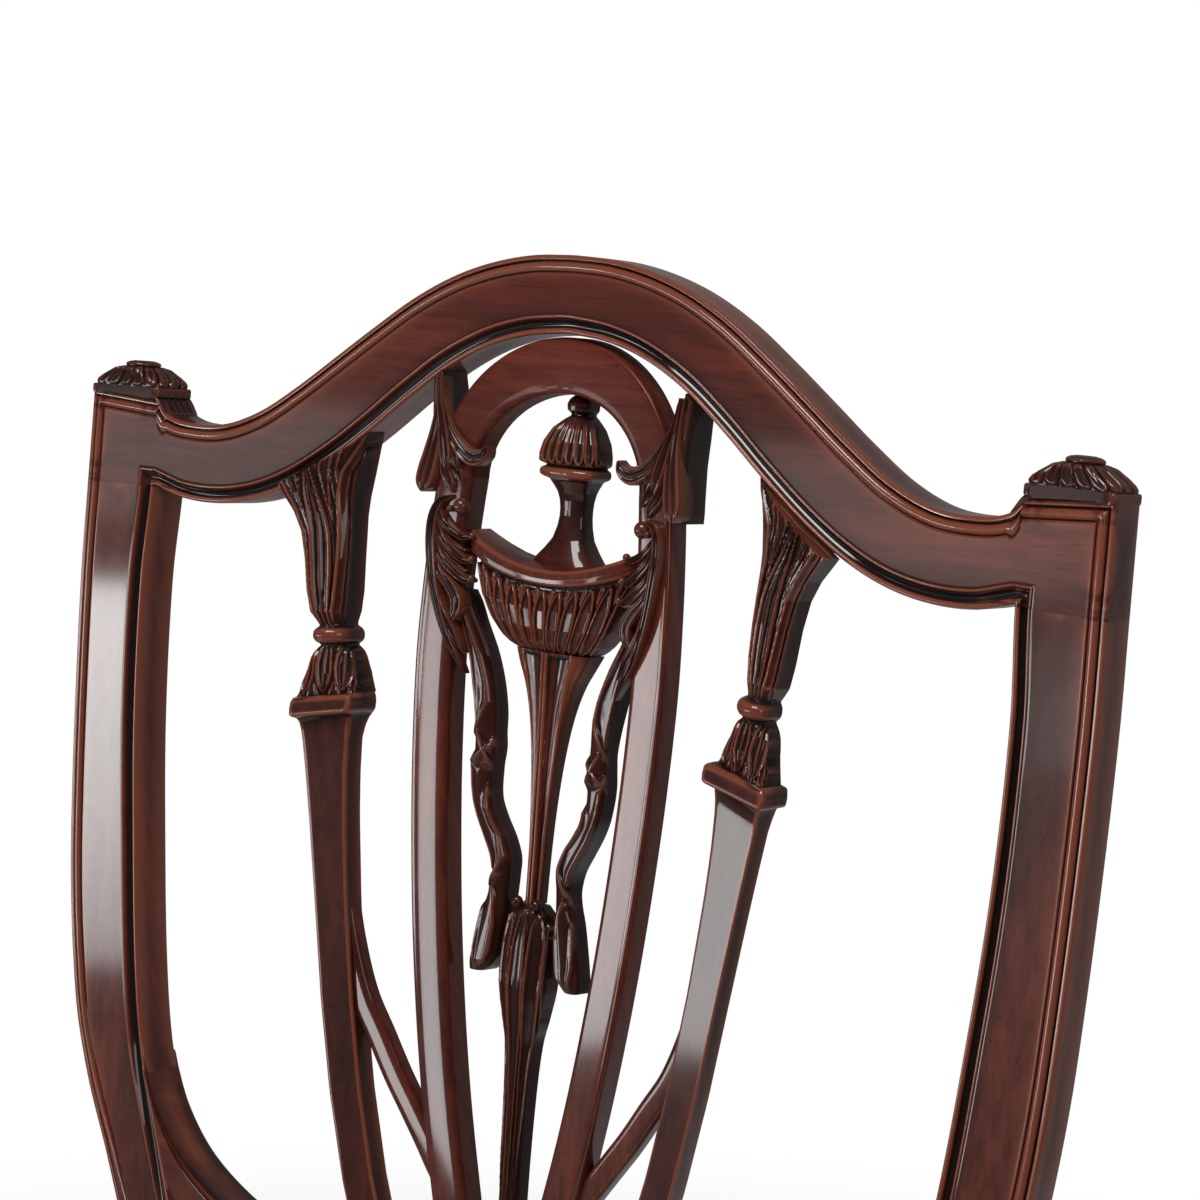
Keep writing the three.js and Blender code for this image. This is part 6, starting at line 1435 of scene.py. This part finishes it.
def metal(name, dark, light, grain, roughness):
    material, tree, shader = new_material(name, roughness)
    shader.inputs["Metallic"].default_value = 1.0
    place = step(tree, "ShaderNodeTexCoord").outputs["Object"]
    marks = step(tree, "ShaderNodeTexNoise", {"Vector": place, "Scale": grain, "Detail": 4.0}).outputs["Fac"]
    tree.links.new(ramp(tree, marks, [(0.35, dark), (0.65, light)]), shader.inputs["Base Color"])
    dull = ramp(tree, marks, [(0.3, (roughness + 0.12,) * 3), (0.7, (roughness - 0.06,) * 3)])
    tree.links.new(dull, shader.inputs["Roughness"])
    return material


def woven(name, dark, light, pitch, depth, sheen=0.0):
    """Cloth with threads both ways, pitch in millimetres."""
    material, tree, shader = new_material(name, 0.85, specular=0.25)
    shader.inputs["Sheen Weight"].default_value = sheen
    place = step(tree, "ShaderNodeTexCoord").outputs["Object"]
    parts = step(tree, "ShaderNodeSeparateXYZ", {"Vector": place})
    turns = 2 * math.pi / (pitch * MM)
    waves = []
    for axis in ("X", "Y", "Z"):
        angle = sums(tree, "MULTIPLY", parts.outputs[axis], turns)
        waves.append(step(tree, "ShaderNodeMath", {0: angle}, operation="SINE").outputs[0])
    weave = sums(tree, "MULTIPLY", sums(tree, "ADD", waves[0], waves[2]), waves[1])
    slub = step(tree, "ShaderNodeTexNoise", {"Vector": place, "Scale": 160.0, "Detail": 3.0}).outputs["Fac"]
    raised = sums(tree, "ADD", sums(tree, "MULTIPLY", weave, 0.25), slub)
    tree.links.new(ramp(tree, raised, [(0.25, dark), (0.75, light)]), shader.inputs["Base Color"])
    bumped(tree, shader, raised, 0.5, depth * MM)
    return material


beech_across = timber("beech_across", (0.47, 0.29, 0.14), "x")
beech_along = timber("beech_along", (0.47, 0.29, 0.14), "y")
steel = metal("bright_steel", (0.32, 0.33, 0.34), (0.58, 0.59, 0.6), 900.0, 0.3)
brass = metal("aged_brass", (0.26, 0.15, 0.05), (0.62, 0.41, 0.16), 500.0, 0.3)
jute = woven("jute", (0.2, 0.125, 0.06), (0.42, 0.3, 0.16), 1.6, 0.4)
black_cloth = woven("black_cloth", (0.008, 0.008, 0.009), (0.028, 0.028, 0.03), 0.9, 0.15)
seat_cloth = woven("seat_cloth", (0.42, 0.34, 0.22), (0.66, 0.57, 0.41), 0.9, 0.25, 0.2)
stuffing = woven("stuffing", (0.5, 0.45, 0.34), (0.78, 0.73, 0.6), 4.0, 0.8)

for name, node in nodes.items():
    finish = None
    if name in ("front_rail", "rear_rail") or "corner_block" in name:
        finish = beech_across
    elif name.startswith("side_rail"):
        finish = beech_along
    elif "screw" in name or "glide" in name:
        finish = steel
    if finish:
        for slot in node.material_slots:
            slot.material = finish
print("finishes on the solids that stay in sight")

# %% [markdown]
# ## Seat outline
# The seat is wider in front than behind, and steps in round the two back posts. `seat_rim` walks round that
# outline with a dense row of points, and says at each how far the cloth may swell and how far it is drawn in.

# %% Seat outline
LEG_BACK_Y, SEAT_MIDDLE_Y = -378.0, -200.0
PAD_TOP, CROWN, ROUND, SWELL, DRAW = 30.0, 16.0, 18.0, 3.0, 3.5
FRONT_FACE, SIDE_FACE, REAR_FACE, NOTCH_Y, NOTCH_X, BACK_FACE = -420.3, 260.3, 197.3, -2.3, 160.7, 29.3


def seat_rim(grow):
    """Points of (x, y, share of the drawing in, share of the swelling) round the seat."""
    front, side, rear = FRONT_FACE - grow, SIDE_FACE + grow, REAR_FACE + grow
    notch_y, notch_x, back = NOTCH_Y + grow, NOTCH_X + grow, BACK_FACE + grow
    half = []
    for t in np.linspace(0, 1, 46):
        half.append((side * t, front, math.cos(math.pi / 2 * t), 1))
    for t in np.linspace(0, 1, 12)[1:-1]:
        half.append((side, front + (LEG_BACK_Y - front) * t, 0, 1))
    for t in np.linspace(0, 1, 60)[:-1]:
        y = LEG_BACK_Y + (notch_y - LEG_BACK_Y) * t
        half.append((side + (rear - side) * t, y, math.sin(math.pi * t), 1 - t**6))
    for t in np.linspace(0, 1, 8)[:-1]:
        half.append((rear + (notch_x - rear) * t, notch_y, 0, 0))
    for t in np.linspace(0, 1, 8)[:-1]:
        half.append((notch_x, notch_y + (back - notch_y) * t, 0, 0))
    for t in np.linspace(0, 1, 30):
        half.append((notch_x * (1 - t), back, 0, min(t * 4, 1)))
    other = [(-x, y, draw, swell) for x, y, draw, swell in half[1:-1][::-1]]
    return np.array(half + other)


def seat_rings(grow, lowest, lift, edges=14, crowns=16):
    """Rings of the stuffed seat, from its lowest level to near the middle of its crown."""
    rim = seat_rim(grow)
    centre = np.array([0, SEAT_MIDDLE_Y])

    def ring(z, inset, out):
        to_middle = centre - rim[:, :2]
        to_middle /= np.hypot(*to_middle.T)[:, None]
        move = inset * ROUND + out * (DRAW * rim[:, 2] - SWELL * rim[:, 3])
        at = rim[:, :2] + to_middle * move[:, None]
        return np.column_stack([at[:, 0], at[:, 1] + SEAT_TO_BACK, np.full(len(at), z)])

    top = RAIL_TOP + PAD_TOP + lift
    rows = [ring(z, 0, 0) for z in lowest]
    for turn in np.linspace(0.05, 1, edges):
        height = math.sin(math.pi / 2 * turn)
        rows.append(ring(RAIL_TOP + (top - RAIL_TOP) * height, (1 - math.cos(math.pi / 2 * turn)) ** 1.3,
                         math.sin(math.pi * min(turn, 0.999))))
    edge = ring(top, 1, 0)
    middle = np.array([0, SEAT_MIDDLE_Y + SEAT_TO_BACK, 0])
    for scale in np.linspace(1, 0.04, crowns)[1:]:
        at = middle + (edge - middle) * scale
        at[:, 2] = top + CROWN * (1 - scale**2)
        rows.append(at)
    return np.stack(rows)


print("points round the seat", len(seat_rim(0)))

# %% [markdown]
# ## Webbing, hessian and dust cover
# Jute webbing is stretched over the rails, four straps each way, over and under. Hessian lies on it and
# holds the stuffing, and a black cloth closes the seat from below. All are thin closed sheets, made flat.

# %% Webbing and hessian
WEB_COUNT, WEB_HALF, WEB_PITCH, WEB_FROM, WEB_TO = 4, 25, 105, -417, -4
WEB_LEVEL, WEB_WAVE, WEB_THICK = 433.3, 0.5, 0.45
WEB_MIDDLE, RIM_FRONT, HALF_FRONT, HALF_BACK = -209, -418.3, 258.3, 195.3


def thin_sheet(name, rows, heights, columns=31):
    """A closed thin sheet through rows of (y, left, right), with a low and a high level for each place."""
    rings = []
    for y, left, right in rows:
        x = np.linspace(left, right, columns)
        low, high = heights(x, y)
        top = np.column_stack([x, np.full(columns, y + SEAT_TO_BACK), high + 0 * x])
        bottom = np.column_stack([x, np.full(columns, y + SEAT_TO_BACK), low + 0 * x])[::-1]
        rings.append(np.vstack([top, bottom]))
    return skin(name, np.stack(rings), crease=50)


def half_at(y):
    """Half the seat's width at a place from back to front."""
    return HALF_BACK + (HALF_FRONT - HALF_BACK) * y / RIM_FRONT


def strap(rows, number, phase, columns):
    """One strap; phase says where on its wave a place lies, and every second strap waves the other way."""
    def heights(x, y):
        level = WEB_LEVEL + WEB_WAVE * (-1) ** number * np.sin(phase(x, y))
        return level - WEB_THICK, level + WEB_THICK
    return thin_sheet("strap", rows, heights, columns)


def straps():
    made, length = [], 0.0
    shares = np.linspace(-1, 1, WEB_COUNT + 1)
    for i in range(WEB_COUNT):
        middle = (shares[i] + shares[i + 1]) / 2 * 0.94
        places = np.linspace(WEB_FROM, WEB_TO, 61)
        rows = [(y, half_at(y) * middle - WEB_HALF, half_at(y) * middle + WEB_HALF) for y in places]
        made.append(strap(rows, i, lambda x, y: np.pi * (y - WEB_MIDDLE) / WEB_PITCH, 5))
        length += WEB_TO - WEB_FROM
    for j in range(WEB_COUNT):
        centre = WEB_MIDDLE + (j - 1.5) * WEB_PITCH
        reach = half_at(centre) - 1
        rows = [(y, -reach, reach) for y in np.linspace(centre - WEB_HALF, centre + WEB_HALF, 5)]
        made.append(strap(rows, j, lambda x, y: np.pi * (x / half_at(WEB_MIDDLE)) * 2 + np.pi / 2, 61))
        length += 2 * reach
    return joined("seat_webbing_dressed", made), length * MM


def area_of(piece):
    """Half of all the faces' area: one side of a thin closed sheet."""
    return sum(face.area for face in piece.data.polygons) / 2


webbing, strap_length = straps()
settle(webbing, jute, "jute", "seat_webbing")

rows = [(y, -half_at(y) - 1.7, half_at(y) + 1.7) for y in np.linspace(-420, -2.6, 40)]
rows += [(y, -160.4, 160.4) for y in (-2.5, 8, 18, 29)]
hessian = thin_sheet("hessian_dressed", rows, lambda x, y: (434.7, 435.5))
settle(hessian, jute, "jute", "hessian")

rows = [(y, -211, 211) for y in np.linspace(-411, -371.5, 6)]
rows += [(y, -reach, reach) for y, reach in ((y, 190 + 58 * (y + 7) / -364) for y in np.linspace(-371, -7.2, 36))]
rows += [(y, -156, 156) for y in (-7, 5, 15, 22)]
dust = thin_sheet("dust_cover_dressed", rows, lambda x, y: (368.7, 369.6))
settle(dust, black_cloth, "black_cloth", "dust_cover")
print("strap length in metres", round(strap_length, 2))

# %% [markdown]
# ## Stuffing
# The stuffing is pressed into its crowned form by the cloth over it. It is made from the seat's rings, remeshed
# to an even net, and blown up a little with Blender's cloth from a slightly smaller start, with its underside
# held. How far a point moves is capped, so it keeps clear of the rails. The result is applied, and nothing
# stays live.

# %% Stuffing
NET, TACKED_BELOW, PRESSURE, SWELL_FRAMES, SWELL_CAP = 0.006, 0.4385, 4.0, 20, 0.0045
pad = skin("seat_pad_dressed", seat_rings(-3.0, [436.2], -5.0, 10, 12))
shaped(pad, "even_net", "REMESH", mode="VOXEL", voxel_size=NET)

start = points_of(pad)
tacked = pad.vertex_groups.new(name="tacked")
tacked.add([int(i) for i in np.nonzero(start[:, 2] < TACKED_BELOW)[0]], 1.0, "REPLACE")
cloth = pad.modifiers.new("swell", "CLOTH")
cloth.settings.use_pressure = True
cloth.settings.uniform_pressure_force = PRESSURE
cloth.settings.effector_weights.gravity = 0
cloth.settings.vertex_group_mass = "tacked"
for number in range(1, SWELL_FRAMES + 1):
    bpy.context.scene.frame_set(number)
only(pad)
bpy.ops.object.modifier_apply(modifier=cloth.name)
moved = points_of(pad) - start
far = np.linalg.norm(moved, axis=1, keepdims=True)
moved *= np.minimum(1, SWELL_CAP / np.maximum(far, 1e-9))
pad.data.vertices.foreach_set("co", (start + moved).ravel())
bpy.context.scene.frame_set(1)
print("stuffing moved by up to", round(float(far.max()) / MM, 1), "mm before the cap")
shaped(pad, "smooth", "SUBSURF", levels=1)
bpy.ops.object.shade_smooth()
settle(pad, stuffing, "stuffing", "seat_pad")
print("stuffing faces", len(pad.data.polygons))

# %% [markdown]
# ## Seat cover
# The cover is one piece of cloth, drawn over the stuffing and nailed to the rails below. It follows the
# stuffing: each point of its top is laid on the swollen pad by a ray from inside the seat. Small pleats take
# up the cloth at the front corners.

# %% Seat cover
over_pad = BVHTree.FromPolygons([v.co for v in pad.data.vertices], [f.vertices for f in pad.data.polygons])


INNER_SHARE, RAY_LEVEL, MEETING_ROWS = 0.8, 440.0, 4
PLEAT_CENTRE, PLEAT_CORNER, PLEAT_REACH, PLEAT_DEPTH, PLEAT_WAVES = (218, -378), (258, -418), 26, 1.3, 11
COVER_FOOT = 371.5


def drawn_over(rings, proud, first_row):
    """Lays the rows from first_row on over the stuffing, this far proud of it."""
    middle_y = SEAT_MIDDLE_Y + SEAT_TO_BACK
    result = rings.copy()
    for row in range(first_row, len(rings)):
        share = min((row - first_row) / MEETING_ROWS, 1)
        for i, at in enumerate(rings[row]):
            start = np.array([at[0] * INNER_SHARE, middle_y + (at[1] - middle_y) * INNER_SHARE, RAY_LEVEL])
            way = at - start
            way /= np.linalg.norm(way)
            hit = over_pad.ray_cast(Vector(start * MM), Vector(way))[0]
            if hit is not None:
                result[row, i] = at + (np.array(hit) / MM + way * proud - at) * share
    return result


def pleated(rings):
    """Two small pleats at each front corner."""
    side, y = np.abs(rings[..., 0]), rings[..., 1] - SEAT_TO_BACK
    turn = np.arctan2(y - PLEAT_CENTRE[1], side - PLEAT_CENTRE[0])
    near = np.exp(-((np.hypot(side - PLEAT_CORNER[0], y - PLEAT_CORNER[1]) / PLEAT_REACH) ** 2))
    tall = np.interp(rings[..., 2], [425, 434, 452, 463], [0, 1, 1, 0])
    depth = near * tall * PLEAT_DEPTH * np.maximum(np.cos((turn + math.pi / 4) * PLEAT_WAVES), -0.2)
    way = np.array([0, SEAT_MIDDLE_Y + SEAT_TO_BACK]) - rings[..., :2]
    way /= np.linalg.norm(way, axis=-1, keepdims=True)
    rings[..., :2] += way * depth[..., None]
    return rings


walls = list(np.linspace(COVER_FOOT, RAIL_TOP, 9))
outer = pleated(drawn_over(seat_rings(2.0, walls, 0), 2.4, len(walls)))
inner = drawn_over(seat_rings(0.0, walls, -2.0), 0.9, len(walls))
softened = (np.roll(outer, 1, 1) + np.roll(outer, -1, 1) + 2 * outer) / 4
cover_rings = np.concatenate([softened[::-1], inner])
cover = skin("seat_cover_dressed", cover_rings, crease=50)
settle(cover, seat_cloth, "seat_cloth", "seat_cover")
print("cover area", round(area_of(cover), 3), "square metres")

# %% [markdown]
# ## Brass nails
# A close row of domed brass nails holds the cover's edge at the front and on both sides. Each nail is a ball
# of few faces that is squashed flat, because there are more than a hundred of them.

# %% Brass nails
NAIL_LEVEL, NAIL_RADIUS, NAIL_FLAT = 378.0, 4.6, 0.42


def nail(x, y, turn):
    piece = added("nail", bpy.ops.mesh.primitive_uv_sphere_add, segments=12, ring_count=6, radius=NAIL_RADIUS * MM)
    piece.data.transform(Matrix.Diagonal((1, NAIL_FLAT, 1, 1)))
    at = Vector((x, y + SEAT_TO_BACK, NAIL_LEVEL)) * MM
    piece.data.transform(Matrix.Translation(at) @ Matrix.Rotation(turn, 4, "Z"))
    return piece


places = [(x, -422.0, 0.0) for x in np.linspace(-254, 254, 51)]
side_way = math.atan2(NOTCH_Y - LEG_BACK_Y, REAR_FACE - SIDE_FACE)
for sign in (1, -1):
    places += [(sign * 262, y, math.pi / 2) for y in np.linspace(-414, -384, 4)]
    for share in np.linspace(0.015, 0.975, 37):
        places.append((sign * (262 + (199 - 262) * share), LEG_BACK_Y + 376 * share, sign * side_way))
nails = joined("brass_nails", [nail(*place) for place in places])
bpy.ops.object.shade_smooth()
settle(nails, brass, None)
print("nails", len(places))

# %% [markdown]
# ## Light
# The photograph is a studio picture on white. Five soft boxes stand at the front left, and their reflections
# lie as pale bands on the faces that turn that way. A weaker one stands at the right, and one hangs above. The
# sky behind the chair is white, and the room on the camera's side is darker, so the lacquer keeps its depth.

# %% Light
ROOM_DARK, ROOM_PALE, WHITE = (0.03,) * 3, (0.18,) * 3, (1.0,) * 3


def room_tone(tree, place, near, far):
    """The room's tone: dark on the camera's side, and paler from near to far behind the chair."""
    depth = step(tree, "ShaderNodeSeparateXYZ", {"Vector": place}).outputs["Y"]
    behind = step(tree, "ShaderNodeMapRange", {"Value": depth, "From Min": near, "From Max": far})
    return mix(tree, behind.outputs["Result"], ROOM_DARK, ROOM_PALE)


bpy.context.scene.view_settings.view_transform = "Standard"
world = bpy.data.worlds.new("studio")
bpy.context.scene.world = world
world.use_nodes = True
tree = world.node_tree
room = room_tone(tree, step(tree, "ShaderNodeTexCoord").outputs["Generated"], 0.15, 0.8)
path = step(tree, "ShaderNodeLightPath").outputs
shiny = sums(tree, "ADD", path["Is Glossy Ray"], path["Is Transmission Ray"], True)
seen = mix(tree, path["Is Camera Ray"], mix(tree, shiny, (0.25,) * 3, room), WHITE)
tree.links.new(seen, tree.nodes["Background"].inputs["Color"])

SOFT_BOXES = {
    "soft_box_near": ((-1.24, -2.32, 0.6), 0.24, 0.95, 5.4),
    "soft_box_middle": ((-1.975, -2.32, 0.58), 0.14, 0.6, 4.2),
    "soft_box_upper": ((-1.57, -2.32, 0.84), 0.22, 0.2, 1.2),
    "soft_box_dim": ((-1.92, -2.32, 1.08), 0.24, 0.2, 0.17),
    "soft_box_far": ((-2.85, -2.32, 0.5), 1.0, 0.9, 20),
    "soft_box_right": ((2.2, -0.9, 1.6), 0.8, 1.2, 7),
    "soft_box_top": ((0.2, -1.1, 3.0), 1.4, 0.8, 44),
}
BACK_MIDDLE = (0, 0.2, 0.75)
for name, (place, width, tall, power) in SOFT_BOXES.items():
    data = bpy.data.lights.new(name, "AREA")
    data.shape, data.size, data.size_y, data.energy = "RECTANGLE", width, tall, power
    lamp = bpy.data.objects.new(name, data)
    bpy.context.scene.collection.objects.link(lamp)
    x, y, z = (a - b for a, b in zip(place, BACK_MIDDLE))
    lamp.location = place
    lamp.rotation_euler = (math.atan2(math.hypot(x, y), z), 0, math.atan2(x, -y))
print("lamps:", len(SOFT_BOXES))

# %% [markdown]
# ## Floor
# A plain white floor, which takes the chair's shadow near it. Farther out it is as white as the sky, so no
# horizon shows.

# %% Floor
floor = added("floor", bpy.ops.mesh.primitive_plane_add, size=120)
floor_white, tree, shader = new_material("floor_white", 0.6, specular=0.2)
place = step(tree, "ShaderNodeTexCoord").outputs["Object"]
mottle = step(tree, "ShaderNodeTexNoise", {"Vector": place, "Scale": 3.0, "Detail": 3.0}).outputs["Fac"]
tree.links.new(ramp(tree, mottle, [(0.3, (0.87,) * 3), (0.7, (0.9,) * 3)]), shader.inputs["Base Color"])
away = step(tree, "ShaderNodeVectorMath", {0: place}, operation="LENGTH").outputs["Value"]
far = step(tree, "ShaderNodeMapRange", {"Value": away, "From Min": 0.9, "From Max": 1.7},
           interpolation_type="SMOOTHSTEP").outputs["Result"]
path = step(tree, "ShaderNodeLightPath").outputs
looked = sums(tree, "ADD", path["Is Camera Ray"], path["Is Glossy Ray"], True)
pale = mix(tree, path["Is Camera Ray"], room_tone(tree, place, 0.3, 1.6), WHITE)
glow = step(tree, "ShaderNodeEmission", {"Color": pale, "Strength": 1.0}).outputs["Emission"]
plain = shader.outputs["BSDF"]
both = step(tree, "ShaderNodeMixShader", {0: sums(tree, "MULTIPLY", far, looked), 1: plain, 2: glow})
tree.links.new(both.outputs["Shader"], tree.nodes["Material Output"].inputs["Surface"])
floor.data.materials.append(floor_white)
print("floor ready")
